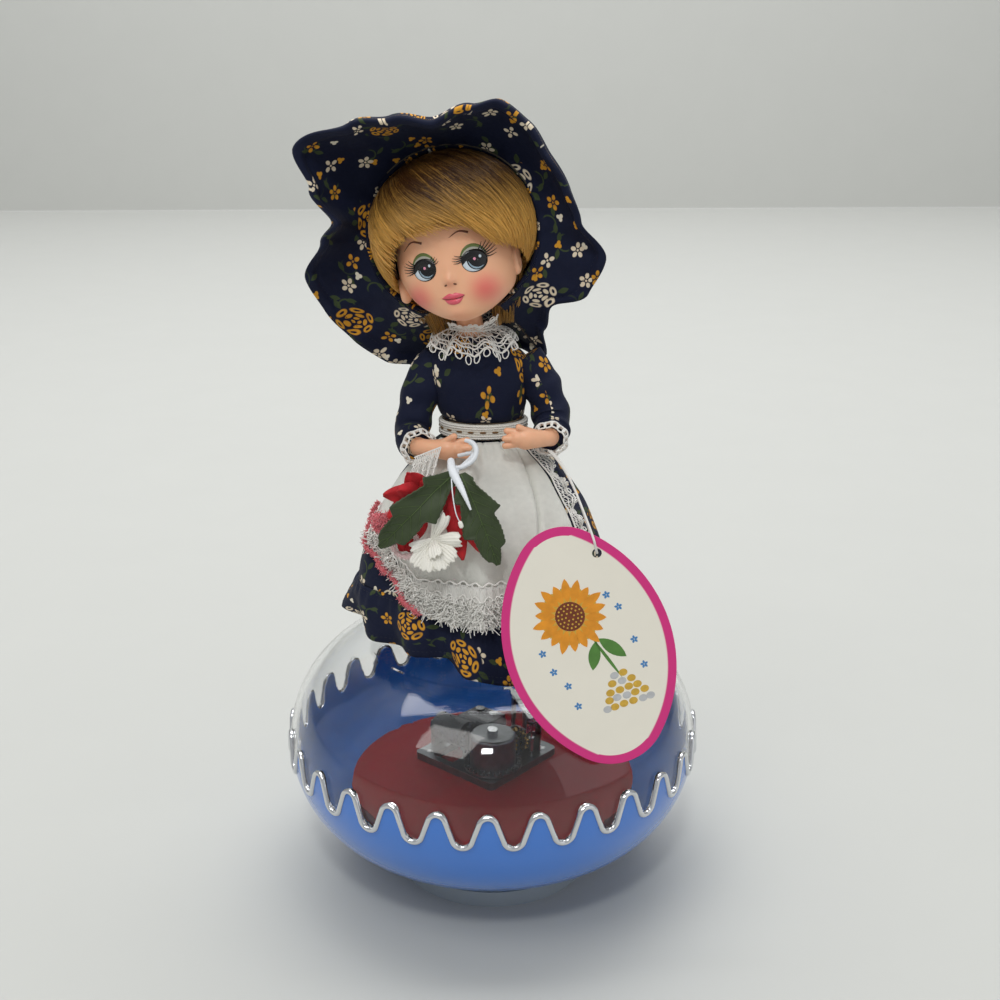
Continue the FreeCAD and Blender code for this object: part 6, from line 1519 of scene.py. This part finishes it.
def ear_mesh(side):
    """Cupped ear, raised at its rim."""
    high, size = (-4.6, 1.12) if side > 0 else (-8.2, 1.0)
    centre = Vector((side * 18.7, -0.4, high))
    rows = []
    for k in range(15):
        lean = math.pi * k / 14
        row = []
        for c in range(28):
            angle = TURN * c / 28
            flat = Vector((math.cos(lean), math.sin(lean) * math.cos(angle),
                           math.sin(lean) * math.sin(angle)))
            cup = 1.0 - 1.15 * math.exp(-((flat.y + 0.15) ** 2 + flat.z ** 2) * 5) if flat.x > 0 else 1.0
            row.append(centre + size * Vector((
                side * (2.6 * flat.x * max(0.1, cup) + 0.5), 2.9 * flat.y + 0.4,
                5.0 * flat.z * (1.05 if flat.z > 0 else 0.95))))
        rows.append(row)
    return skin("ear", rows, True)


SURFACE = {}


def on_face(x, z, lift):
    """Point on the face in front of a place, lifted off it."""
    hit, normal, _, _ = SURFACE["face"].ray_cast(Vector((x, -60, z)), Vector((0, 1, 0)))
    if hit is None:
        hit, normal = Vector((x, -5, z)), Vector((0, -1, 0))
    if normal.y > 0:
        normal = -normal
    return HEAD @ (hit + normal * lift)


def make_head(scene):
    rows = face_rows()
    flat = [tuple(point) for row in rows for point in row]
    across = len(rows[0])
    faces = [(r * across + c, r * across + (c + 1) % across, (r + 1) * across + (c + 1) % across,
              (r + 1) * across + c) for r in range(len(rows) - 1) for c in range(across)]
    SURFACE["face"] = BVHTree.FromPolygons(flat, faces)
    forms = [skin("face", rows, True, caps=True), ear_mesh(-1), ear_mesh(1)]
    head = add_piece("vinyl_head", joined("vinyl_head", forms), FINISHES["face"])
    head.data.transform(Matrix.Translation(HEAD.translation * MM) @ HEAD.to_3x3().to_4x4())
    head.data.shade_smooth()
    place_piece(head, "head", "skin_vinyl", "head")
    paint_face()


def patch(outline, lift, rings=5):
    """Thin painted patch that follows the face inside an outline."""
    middle = Vector((sum(x for x, z in outline) / len(outline),
                     sum(z for x, z in outline) / len(outline)))
    rows = []
    for ring in range(rings + 1):
        share = max(0.02, ring / rings)
        rows.append([on_face(middle.x + (x - middle.x) * share, middle.y + (z - middle.y) * share, lift)
                     for x, z in outline])
    return skin("patch", rows, True)


def oval(x, z, wide, high, turn=0.0, count=40):
    made = []
    for k in range(count):
        angle = TURN * k / count
        a, b = wide * math.cos(angle), high * math.sin(angle)
        made.append((x + a * math.cos(turn) - b * math.sin(turn),
                     z + a * math.sin(turn) + b * math.cos(turn)))
    return made


def arch(x, z, wide, high, inner, start, end, count=24):
    """Crescent over an eye, from one angle to another, thinning to its ends."""
    outer, under = [], []
    for k in range(count + 1):
        t = k / count
        angle = math.radians(start + (end - start) * t)
        thin = inner + (1 - inner) * (1 - math.sin(math.pi * t) ** 0.6)
        outer.append((x + wide * math.cos(angle), z + high * math.sin(angle)))
        under.append((x + wide * thin * math.cos(angle), z + high * thin * math.sin(angle)))
    return outer, under


def band_patch(outer, under, lift):
    """Thin painted band on the face between two lines."""
    rows = []
    for share in (0.0, 0.33, 0.67, 1.0):
        rows.append([on_face(a[0] + (b[0] - a[0]) * share, a[1] + (b[1] - a[1]) * share, lift)
                     for a, b in zip(outer, under)])
    return skin("band", rows)


def stroke(points, width, lift):
    """Painted stroke, pointed at its far end."""
    runs = through(points, 6)
    rows = []
    for k, (x, z) in enumerate(runs):
        a, b = runs[max(0, k - 1)], runs[min(len(runs) - 1, k + 1)]
        across = Vector((-(b[1] - a[1]), b[0] - a[0])).normalized()
        half = width / 2 * (1 - 0.85 * k / (len(runs) - 1))
        rows.append([on_face(x + across.x * half * s, z + across.y * half * s, lift) for s in (-1, 0, 1)])
    return skin("stroke", rows)


# Lashes of each eye: place round the eye, direction, length
LASHES = (
    ((146, 140, 2.2), (155, 152, 2.8), (163, 162, 3.1), (171, 171, 3.2), (179, 180, 3.0), (187, 190, 2.6),
     (50, 52, 1.2), (40, 44, 1.5), (30, 36, 1.6), (20, 28, 1.5)),
    ((64, 60, 2.3), (55, 52, 3.0), (46, 45, 3.4), (37, 38, 3.5), (28, 31, 3.3), (19, 22, 3.0), (10, 12, 2.5),
     (148, 166, 2.2), (157, 173, 2.5), (166, 180, 2.5), (175, 187, 2.2)),
)


LIPS = (
    ((-3.9, -12.7), (-2.2, -11.9), (-0.9, -11.5), (0, -11.8), (0.9, -11.5), (2.2, -11.9), (3.9, -12.7),
     (2.2, -13.2), (0, -13.35), (-2.2, -13.2)),
    ((-3.2, -13.2), (-1.6, -13.45), (0, -13.5), (1.6, -13.45), (3.2, -13.2), (2.2, -14.6),
     (0.9, -15.2), (-0.9, -15.2), (-2.2, -14.6)),
)
# Upper and lower edge of the line between the lips
LIP_LINE = (((-3.7, -12.85), (-2, -13.25), (0, -13.4), (2, -13.25), (3.7, -12.85)),
            ((-3.7, -12.95), (-2, -13.42), (0, -13.6), (2, -13.42), (3.7, -12.95)))
# Finish of each layer of paint and the name of its piece
PAINT_LAYERS = {"white": "eye_whites", "black": "eye_lines", "iris": "eye_greys", "lid": "lid_bands",
                "shadow": "lid_shadows", "glint": "eye_glints", "lips": "painted_lips",
                "brow": "painted_brows"}


def paint_face():
    layers = {key: [] for key in PAINT_LAYERS}
    wide, high = 3.95, 3.55

    def crescent(key, x, z, across, up, inner, start, end, lift):
        layers[key].append(band_patch(*arch(x, z, wide * across, high * up, inner, start, end), lift))

    for number, (x, z) in enumerate(((-7.7, -2.8), (8.7, -2.6))):
        crescent("shadow", x, z + 0.35, 1.10, 1.46, 0.74, 14, 166, 0.03)
        crescent("lid", x, z + 0.15, 1.03, 1.22, 0.76, 2, 178, 0.06)
        layers["black"].append(patch(oval(x, z, wide * 1.02, high * 1.02), 0.07))
        layers["white"].append(patch(oval(x - 0.25, z - 0.35, wide * 0.88, high * 0.84), 0.10))
        layers["black"].append(patch(oval(x + 0.80, z + 0.30, wide * 0.79, high * 0.92), 0.13))
        crescent("black", x, z + 0.15, 1.02, 1.0, 0.22, -8, 196, 0.15)
        crescent("iris", x + 0.75, z + 0.1, 0.66, 0.78, 0.80, 178, 318, 0.17)
        layers["glint"].append(patch(oval(x + 0.1, z + 0.6, 0.42, 0.48), 0.19, 2))
        layers["white"].append(patch(oval(x + 1.9, z + 1.15, 0.42, 0.5), 0.19, 2))
        for at, way, reach in LASHES[number]:
            at, way = math.radians(at), math.radians(way)
            first = (x + wide * math.cos(at), z + high * math.sin(at) + 0.1)
            last = (first[0] + 1.2 * reach * math.cos(way), first[1] + 1.2 * reach * math.sin(way))
            bend = ((first[0] + last[0]) / 2, (first[1] + last[1]) / 2 - 0.22)
            layers["black"].append(stroke((first, bend, last), 0.44, 0.2))
    for points in (((-7.0, 5.7), (-10.6, 6.6), (-14.0, 4.2)), ((8.4, 6.6), (5.4, 7.4), (2.2, 5.9))):
        layers["brow"].append(stroke(points, 0.8, 0.1))
    for outline in LIPS:
        loop = through(outline + outline[:1], 4)[:-1]
        layers["lips"].append(patch([tuple(point) for point in loop], 0.05))
    layers["brow"].append(band_patch(*LIP_LINE, 0.12))
    for x in (-1.55, 1.55):
        layers["brow"].append(patch(oval(x, -8.75, 0.55, 0.3, 0.3 if x < 0 else -0.3, 16), 0.04, 2))
    for key, forms in layers.items():
        piece = add_piece(PAINT_LAYERS[key], joined(PAINT_LAYERS[key], forms), FINISHES[key])
        wall(piece, 0.03)
        place_piece(piece, "head", "skin_vinyl")


# Hair
# Lower edge of the fringe on the face: across, up
FRINGE = ((-30.0, -15.0), (-21.4, -15.0), (-20.2, -6.0), (-18.4, 0.0), (-15.6, 4.6), (-11.2, 7.6),
          (-5.0, 9.2), (0.0, 9.8), (4.0, 10.2), (8.0, 9.8), (11.0, 8.2), (14.0, 5.0), (17.0, 2.0),
          (20.0, 1.0), (23.0, -1.0), (24.6, -30.0), (30.0, -30.0))


def hair_point(lean, turn, lift=0.0):
    """Point on the wig: lean from its whorl, turn from the front to the doll's left."""
    s, c = math.sin(lean), math.cos(lean)
    out = Vector((s * math.sin(turn), -s * math.cos(turn), c))
    out = Matrix.Rotation(math.radians(-20), 3, "X") @ Matrix.Rotation(math.radians(-17), 3, "Y") @ out
    wide, round_ = 26.4 + lift, 25.2 + lift
    return Vector((out.x * wide, 2.9 + out.y * round_, BONNET_HIGH + out.z * round_))


def in_window(point, slack=0.0):
    """Whether a point hangs over the open face."""
    if point.y > 7:
        return False
    for (x1, z1), (x2, z2) in zip(FRINGE, FRINGE[1:]):
        if x1 <= point.x <= x2:
            return -30 < point.z < z1 + (z2 - z1) * (point.x - x1) / (x2 - x1) - slack
    return False


def wig_rows():
    """Rows of the cap under the hair, drawn back from the open face."""
    cap = []
    for k in range(48):
        row = []
        for c in range(120):
            turn, lean = TURN * c / 120, 2.5 * k / 47
            point = hair_point(lean, turn, -2.0)
            while in_window(point, -1.6) and lean > 0.1:
                lean -= 0.03
                point = hair_point(lean, turn, -2.0)
            row.append(HEAD @ point)
        cap.append(row)
    return cap


def strand(chance):
    """Turn and line of one strand, from near the whorl to its end or to the open face."""
    turn = chance.uniform(-math.pi, math.pi)
    front = abs(turn - 0.25) < 1.35
    first = chance.uniform(0.05, 1.0) if chance.random() < 0.45 else 0.02 + 0.25 * chance.random()
    last = 2.6 + chance.uniform(-0.2, 0.1)
    lift = chance.uniform(-1.2, 1.2)
    sweep = 0.85 * ease((turn + 1.25) / 0.7) * ease((1.9 - turn) / 0.9) if front else 0.0
    stray = chance.gauss(0, 0.085) + 0.16 * wander((turn * 9, first * 3, 0), 1.0, 4.0)
    shade_shift = chance.gauss(0, 0.10) + 0.16 * wander((turn * 14, 0, 0), 1.0, 9.0)
    streak = 0.5 if chance.random() < 0.07 else 0.0
    clump = 2.6 * wander((turn * 9, 1.0, 0), 1.0, 6.0) + chance.uniform(-0.8, 1.6) ** 2 * 0.7
    line, steps = [], 13
    for step in range(steps + 1):
        t = step / steps
        lean = first + (last - first) * t
        bend = turn + sweep * t * t * 1.3 + stray * t + 0.03 * math.sin(t * 8 + turn * 11)
        rise = math.sin(math.pi * min(1.0, t * 1.1)) * (1 if front else 0.5)
        point = hair_point(lean, bend, lift * (0.4 + 0.6 * t) + 1.7 * rise)
        if in_window(point, clump) or (point.z < -18 and abs(point.x) < 10 and point.y > -2):
            break
        # Painted shade: the tone darkens towards the top of the head, under the bonnet; shade_shift and
        # streak vary it at random
        shade = 0.04 + 0.98 * ease((26.0 - point.z) / 23.0) + shade_shift + streak * t
        line.append((HEAD @ point, 1.0 - 0.5 * t, min(1.0, max(0.0, shade))))
    return turn, line


def hair_side(turn):
    if abs(turn) < 0.8:
        return "hair_front"
    if abs(turn) > 2.3:
        return "hair_back"
    return "hair_right" if turn > 0 else "hair_left"


def make_hair(scene):
    chance = random.Random(3)
    under = skinned("wig_cap", "wig", wig_rows(), True)
    wall(under, 0.9)
    place_piece(under, "head", "hair_blonde", "hair")
    groups = {"hair_front": [], "hair_left": [], "hair_right": [], "hair_back": []}
    for _ in range(scene.bank_doll.strands):
        turn, line = strand(chance)
        if len(line) < 3:
            continue
        line[-1] = (line[-1][0], 0.3, line[-1][2])
        groups[hair_side(turn)].append(line)
    for _ in range(1500):
        side = chance.choice((-1, 1))
        x, y = side * chance.uniform(9.0, 21.0), chance.uniform(4.0, 13.0)
        reach = chance.uniform(15, 21) if abs(x) < 17 else chance.uniform(10, 16)
        shade = chance.uniform(0.25, 0.75)
        groups["hair_back"].append([
            (HEAD @ Vector((x * (1 - 0.16 * t * t), y + 2.0 * t, -5.0 - reach * t)), 1.0 - 0.5 * t, shade)
            for t in (0, 0.3, 0.6, 0.85, 1)])
    for name, lines in groups.items():
        lay_threads(name, lines, "hair", 0.19, 3, "head", "hair_blonde")


# Bonnet
# Outline of the brim: azimuth round the face, reach and throw forward, in shares of its radius
BRIM = ((-66.7, 1.03, -.527), (-59.3, .875, -.374), (-48.2, .801, -.222), (-34.5, .979, -.143),
        (-20.1, 1.029, -.058), (-5.6, .863, .068), (9.0, .834, .135), (25.2, .818, .214),
        (41.4, .867, .255), (54.8, .890, .330), (65.2, .795, .428), (82.5, .677, .490),
        (101.5, .751, .525), (119.2, .859, .519), (140.1, 1.081, .363), (152.0, .899, .324),
        (164.5, .679, .396), (174.0, .787, .318), (187.1, 1.000, .122), (200.7, 1.009, -.033),
        (214.5, 1.027, -.230), (228.2, 1.038, -.390), (239.4, .990, -.500), (250.0, .90, -.540),
        (262.0, .79, -.575), (274.0, .76, -.585), (284.0, .88, -.560), (293.3, 1.03, -.527))


# How far down the brim its stitching runs
BRIM_SEAM = 0.86


def brim_line(azimuth, dress):
    out_share, throw_share = between(BRIM, azimuth)
    angle = math.radians(azimuth)
    out = Vector((math.cos(angle), 0, math.sin(angle)))
    wide, high = 29.8, 28.4
    ring = wide * high / math.hypot(high * out.x, wide * out.z)
    reach = dress.brim_radius / MM
    nape = ease((azimuth - 236) / 18) * ease((296.5 - azimuth) / 16)
    top = Vector((0, 2.1 + 13.5 * nape, BONNET_HIGH)) + out * (ring * (1 - 0.09 * nape))
    hem = Vector((0, -reach * throw_share - 0.8, BONNET_HIGH)) + out * (reach * out_share)
    line, across = strip(top, hem, 2.4, Vector((0, 1, 0)), BRIM_ROWS)
    made = []
    for k, point in enumerate(line):
        t = k / (BRIM_ROWS - 1)
        gather = 0.45 * math.cos(math.radians(azimuth * 30)) * (1 - ease(t * 3.5)) * ease(t * 12)
        lump = 0.9 * wander(point, 17.0, 9.0) * ease(t * 3) * ease((1.15 - t) * 3)
        made.append(point + across * (gather + lump))
    return made, across


def brim_half(t):
    """Half thickness of the brim: thin at its stitching, padded at its rim."""
    pad = 1.35 * math.exp(-((t - 0.945) / 0.05) ** 2)
    seam = -0.6 * math.exp(-((t - BRIM_SEAM) / 0.016) ** 2)
    return 0.7 + pad + seam


def make_brim(scene):
    dress = scene.bank_dress
    rows, spreads = [], []
    halves = [brim_half(k / (BRIM_ROWS - 1)) for k in range(BRIM_ROWS)]
    edge = brim_half(1.0)
    for azimuth in evenly(BRIM[0][0], BRIM[-1][0], 300, True):
        line, across = brim_line(azimuth, dress)
        along = (line[-1] - line[-2]).normalized()
        face = [point - across * half for point, half in zip(line, halves)]
        back = [point + across * half for point, half in zip(line, halves)]
        rim = [line[-1] + along * (edge * math.cos(a)) + across * (edge * math.sin(a))
               for a in (-0.9, -0.45, 0.0, 0.45, 0.9)]
        loop = face + rim + list(reversed(back))
        rows.append([HEAD @ point for point in loop])
        rho = [29.0]
        for a, b in zip(line, line[1:]):
            rho.append(rho[-1] + (b - a).length)
        flats = [fan(azimuth, r, 0.9) for r in rho] + [fan(azimuth, rho[-1] + 0.8, 0.9)] * 5
        flats += [(x + 210.0, y) for x, y in (fan(azimuth, r, 0.9) for r in reversed(rho))]
        spreads.append(flats)
    total = len(rows[0])
    spreads.append(spreads[0])
    brim = skinned("printed_brim", "calico", rows, True, True, lambda c, r: spreads[r][c % total])
    place_piece(brim, "head", "print_cloth", "bonnet_brim")
    seams = []
    for sign in (-1, 1):
        made = [brim_line(azimuth, dress) for azimuth in evenly(BRIM[0][0], BRIM[-1][0], 321)]
        seams.append([HEAD @ (at_step(line, BRIM_SEAM * (BRIM_ROWS - 1)) + across * sign * 0.3)
                      for line, across in made])
    lay_stitches("brim_stitches", seams, "calico_thread", 1.5, 0.14, 0.5, "head", "print_cloth")
    # A dark cord along the brim's inner edge over the top of the head, painted as the shade in the gap
    # between the brim and the hair
    lip = [HEAD @ (brim_line(azimuth, dress)[0][0] + Vector((0, -1.2, 0)))
           for azimuth in evenly(22, 128, 120)]
    lay_threads("brim_gap_shade", [lip], "gap_shade", 0.26, 8, "head", "print_cloth")


def make_crown(scene):
    wide, high, deep = 28.9, 27.5, 33.1
    rows, around, steps = [], 180, 40
    for k in range(steps):
        row = []
        for c in range(around):
            turn = TURN * c / around
            dip = math.exp(-((math.degrees(turn) - 270) / 17) ** 2)
            lean = (math.pi / 2 - 0.42 * dip) * (k / (steps - 1)) + 0.001
            t = k / (steps - 1)
            out = Vector((math.sin(lean) * math.cos(turn), math.cos(lean),
                          math.sin(lean) * math.sin(turn)))
            gather = 0.55 * math.cos(turn * 40) * ease((t - 0.45) * 2) * ease((1 - t) * 12)
            lump = 1.1 * wander(out * 30, 11.0, 4.0) * ease((1 - t) * 5)
            point = Vector((out.x * (wide + gather + lump), 3.2 + out.y * (deep + lump),
                            BONNET_HIGH + out.z * (high + gather + lump)))
            row.append(HEAD @ point)
        rows.append(row)
    rows.append([HEAD @ (HEAD.inverted() @ point + Vector((
        0.9 * math.cos(TURN * c / around), -1.6, 0.9 * math.sin(TURN * c / around))))
        if abs(c / around - 0.75) > 0.09 else point for c, point in enumerate(rows[-1])])
    crown = skinned("printed_crown", "calico", rows, True, spread=lambda c, r: tuple(
        value + 400 for value in fan(360 * c / around, 46 * r / steps, 1)))
    wall(crown, 0.9)
    place_piece(crown, "head", "print_cloth", "bonnet_crown")


# Tag
def tag_matrix():
    hole = Vector((34.6, -51.3, 144.4))
    return (Matrix.Translation(hole) @ Matrix.Rotation(math.radians(90 - 11), 4, "X")
            @ Matrix.Rotation(math.radians(18.8), 4, "Z"))


def card_finish(trim):
    """Card with a coloured border that follows its egg outline, in the tag's own frame."""
    material, tree, shader = new_finish("Tag card")
    place = on_object(tree)
    x, y = in_frame(tree, place, tag_matrix())[:2]
    small, large, side, length = 16.3, 18.3, 49.7, 47.4
    up, low = side - small, side - large
    drop = (length ** 2 + up ** 2 - low ** 2) / (2 * length)
    off = math.sqrt(up ** 2 - drop ** 2)
    cx, cy, width = -12.4, -3.8, 2.9

    def round_(px, py, radius):
        dx, dy = x - px, y - py
        return inside((dx * dx + dy * dy).math("SQRT") / (radius - width), 0.006)

    face = round_(cx + off, cy - drop, side) * round_(cx - off, cy - drop, side)
    above = y.math("GREATER_THAN", cy + small * drop / up)
    below = y.math("LESS_THAN", cy - length - large * (length - drop) / low)
    face = face * (above * -1.0 + 1.0).math("MAXIMUM", round_(cx, cy, small))
    face = face * (below * -1.0 + 1.0).math("MAXIMUM", round_(cx, cy - length, large))
    card = painted(tree, lumps(tree, place, 9.0), tone_of(trim.card, 0.97), tone_of(trim.card, 1.02))
    edge = painted(tree, lumps(tree, place, 6.0), tone_of(trim.card_edge, 0.94),
                   tone_of(trim.card_edge, 1.06))
    feed(tree, shader.inputs["Base Color"], painted(tree, face, edge, card))
    feed(tree, shader.inputs["Roughness"], lumps(tree, place, 4.0) * 0.14 + 0.42)
    raise_grain(tree, shader, lumps(tree, place, 0.5), 0.01)
    return material


def print_ink(name, outlines, low, high, key):
    """Piece of flat ink on the tag: outlines in the tag's own frame, raised between two heights."""
    work = bmesh.new()
    for outline in outlines:
        points = [work.verts.new((p.x, p.y, high)) for p in outline]
        under = [work.verts.new((p.x, p.y, low)) for p in outline]
        work.faces.new(points)
        work.faces.new(list(reversed(under)))
        for k in range(len(points)):
            n = (k + 1) % len(points)
            work.faces.new((points[k], under[k], under[n], points[n]))
    bmesh.ops.remove_doubles(work, verts=work.verts, dist=1e-4)
    bmesh.ops.recalc_face_normals(work, faces=work.faces)
    bmesh.ops.triangulate(work, faces=[face for face in work.faces if len(face.verts) > 4])
    mesh = bpy.data.meshes.new(name)
    work.to_mesh(mesh)
    work.free()
    mesh.transform(Matrix.Scale(MM, 4) @ tag_matrix())
    place_piece(add_piece(name, mesh, FINISHES[key]), "tag", "tag_card")


def petal_shape(x, y, turn, start, length, width, count=9):
    """Pointed petal from a middle, outwards at an angle."""
    made = []
    for sign in (1, -1):
        steps = range(count) if sign > 0 else range(count - 2, 0, -1)
        for k in steps:
            t = k / (count - 1)
            a, b = start + length * t, sign * width * math.sin(math.pi * t) ** 0.8 / 2
            made.append(Vector((x + a * math.cos(turn) - b * math.sin(turn),
                                y + a * math.sin(turn) + b * math.cos(turn), 0)))
    return made


def disc(x, y, radius, count=20, flat=1.0):
    return [Vector((x + radius * math.cos(TURN * k / count),
                    y + radius * flat * math.sin(TURN * k / count), 0)) for k in range(count)]


# Piece of each ink and its height over the tag's middle
INKS = {"sun": ("ink_petals", 0.40), "seed": ("ink_seeds", 0.415), "berry": ("ink_berries", 0.385),
        "silver": ("ink_greys", 0.385), "blue": ("ink_stars", 0.385), "green": ("ink_leaves", 0.37)}
CARD_FACE = 0.35


def make_tag():
    dress_nodes(hang_tag="card")
    x, y = -15.0, -17.0
    ink = {key: [] for key in INKS}
    for k in range(18):
        ink["sun"].append(petal_shape(x, y, TURN * k / 18, 4.6, 7.6 + 0.8 * math.sin(k * 2.2), 3.0))
        ink["berry"].append(petal_shape(x, y, TURN * (k + 0.5) / 18, 4.2, 5.6, 2.2))
    ink["seed"].append(disc(x, y, 4.9, 40))
    florets = [disc(x + ring * math.cos(TURN * k / count), y + ring * math.sin(TURN * k / count), 0.32, 8)
               for ring, count in ((1.4, 6), (2.7, 12), (3.9, 18)) for k in range(count)]
    ink["green"].append(petal_shape(-8.5, -27.0, -0.9, 0.0, 11.0, 4.2))
    ink["green"].append(petal_shape(-9.5, -27.5, -2.0, 0.0, 10.0, 4.0))
    ink["green"].append(petal_shape(-10.5, -26.0, -1.25, 0.0, 17.0, 1.1))
    chance = random.Random(8)
    for row in range(5):
        for k in range(6 - row):
            tone = "silver" if chance.random() < 0.3 else "berry"
            ink[tone].append(disc(-13.5 + 3.1 * k + 1.55 * row + chance.uniform(-0.3, 0.3),
                                  -50.5 + 2.5 * row + chance.uniform(-0.2, 0.2), 1.45, 20, 0.82))
    for sx, sy in ((-26.0, -33.0), (-23.0, -39.0), (-27.5, -26.0), (-1.5, -14.0), (1.0, -19.0),
                   (2.5, -31.0), (-22.0, -46.5), (3.0, -40.0)):
        for k in range(5):
            ink["blue"].append(petal_shape(sx, sy, TURN * k / 5 + 0.3, 0.1, 1.3, 0.8, 5))
    for key, outlines in ink.items():
        name, top = INKS[key]
        print_ink(name, outlines, CARD_FACE, top, key)
        if key == "sun":
            print_ink("ink_florets", florets, 0.36, 0.435, "berry")


STRING = ((19.6, -20.3, 170.2), (25.2, -23.0, 166.0), (33.0, -52.6, 151.4), (34.5, -52.7, 145.0),
          (34.8, -50.0, 144.0), (26.0, -22.4, 165.6), (20.4, -20.1, 170.0))


def make_string():
    curve = bpy.data.curves.new("cotton_string", "CURVE")
    curve.dimensions, curve.bevel_depth, curve.bevel_resolution = "3D", 0.4 * MM, 3
    spline = curve.splines.new("NURBS")
    spline.points.add(len(STRING) - 1)
    for point, place in zip(spline.points, STRING):
        point.co = (*[value * MM for value in place], 1.0)
    spline.order_u, spline.use_endpoint_u, spline.resolution_u = 3, True, 24
    curve.use_fill_caps = True
    string = bpy.data.objects.new("cotton_string", curve)
    bpy.context.scene.collection.objects.link(string)
    curve.materials.append(FINISHES["string"])
    place_piece(string, "tag", "string_cotton", "tag_string")
    return string


def string_and_tag(scene):
    string = make_string()
    make_tag()


# Stage
def make_stage(scene):
    stage = scene.bank_stage
    camera = bpy.data.objects.new("Camera", bpy.data.cameras.new("Camera"))
    scene.collection.objects.link(camera)
    camera.data.lens, camera.data.sensor_width = stage.lens, 36.0
    camera.location = (0.00318, -0.4623, 0.2989)
    camera.matrix_world = (Matrix.Translation(camera.location)
                           @ Matrix.Rotation(math.pi / 2 - stage.tilt, 4, "X")
                           @ Matrix.Rotation(stage.roll, 4, "Z"))
    scene.camera = camera
    scene.view_settings.view_transform = "Standard"
    sweep = ((-1400, 0), (2287, 0), (2290, 0.2), (2290, 3), (2290, 3200))
    rows = [[Vector((x, y, z)) for x in evenly(-4800, 4800, 5)] for y, z in sweep]
    backdrop = add_piece("Backdrop", skin("Backdrop", rows), FINISHES["wall"])
    world = bpy.data.worlds.new("Studio")
    world.use_nodes = True
    scene.world = world
    shade = world.node_tree.nodes["Background"]
    shade.inputs[0].default_value = (0.84, 0.85, 0.86, 1)
    shade.inputs[1].default_value = 0.52
    for name, place, aim, size, power, tint in (
            ("Key", (-520, -720, 1350), (0, 0, 130), 700, 4.8, (1.0, 0.98, 0.95)),
            ("Fill", (900, -600, 420), (0, 0, 120), 800, 0.8, (0.97, 0.98, 1.0)),
            ("Top", (40, 260, 1800), (0, 200, 80), 900, 2.6, (1, 1, 1)),
            ("Back", (0, 900, 2300), (0, 2290, 500), 2200, 60, (0.97, 0.97, 1.0)),
            ("Glint", (-60, -1050, 1350), (0, 0, 90), 150, 5.0, (0.95, 0.98, 1.0))):
        light = bpy.data.lights.new(name, "AREA")
        light.size, light.energy, light.color = size * MM, power, tint
        lamp = bpy.data.objects.new(name, light)
        scene.collection.objects.link(lamp)
        start = Vector(place) * MM
        lamp.matrix_world = Matrix.Translation(start) @ (
            (Vector(aim) * MM - start).to_track_quat("-Z", "Y").to_matrix().to_4x4())


# Operators
def operator(label, text, *makers):
    """Operator class that makes one piece or a group of like pieces."""
    def execute(self, context):
        for maker in makers:
            maker(context.scene)
        return {"FINISHED"}

    name = label.lower().replace(" ", "_")
    return type("BANK_OT_" + name, (bpy.types.Operator,), {
        "__doc__": text, "bl_idname": "bank." + name, "bl_label": label, "execute": execute})


OPERATORS = (
    operator("Finishes", "Make the finishes of the globe, the doll and the tag", make_finishes),
    operator("Stage", "Set the camera, the lights and the backdrop", make_stage),
    operator("Tag", "Hang the card tag on its string", string_and_tag),
    operator("Globe", "Finish the globe and lay the bright bead on its scallops", make_globe),
    operator("Movement", "Finish the wind-up movement", make_movement),
    operator("Body", "Stuff the body and set the neck", make_body),
    operator("Bodice", "Sew the bodice and the sleeves", make_bodice, make_sleeves),
    operator("Hands", "Mould the hands", make_hands),
    operator("Waistband", "Weave the waistband", make_waistband),
    operator("Collar", "Make the lace collar and the lace cuffs", make_collar, make_cuffs),
    operator("Skirt", "Sew the skirt and its flounce", make_skirt, make_flounce),
    operator("Apron", "Gather the apron and edge it with lace", make_apron, make_apron_lace),
    operator("Bouquet", "Tie the bouquet", make_blooms, make_leaves, make_stems),
    operator("Head", "Mould and paint the head", make_head),
    operator("Hair", "Root the hair", make_hair),
    operator("Bonnet", "Sew the bonnet", make_crown, make_brim),
)


class BANK_PT_panel(bpy.types.Panel):
    """Lists the bank's pieces and settings"""
    bl_label = "Musical Doll Bank"
    bl_idname = "BANK_PT_panel"
    bl_space_type = "VIEW_3D"
    bl_region_type = "UI"
    bl_category = "Doll Bank"

    def draw(self, context):
        for label, group in CHOICES:
            box = self.layout.box()
            for field in group.__annotations__:
                box.prop(getattr(context.scene, label), field)
        for item in OPERATORS:
            self.layout.operator(item.bl_idname)


CLASSES = tuple(group for _, group in CHOICES) + OPERATORS + (BANK_PT_panel,)


def register():
    for item in CLASSES:
        bpy.utils.register_class(item)
    for label, group in CHOICES:
        setattr(bpy.types.Scene, label, bpy.props.PointerProperty(type=group))


def unregister():
    for label, _ in CHOICES:
        delattr(bpy.types.Scene, label)
    for item in reversed(CLASSES):
        bpy.utils.unregister_class(item)


def main():
    register()
    for item in OPERATORS:
        family, name = item.bl_idname.split(".")
        getattr(getattr(bpy.ops, family), name)()


if __name__ == "__main__":
    main()
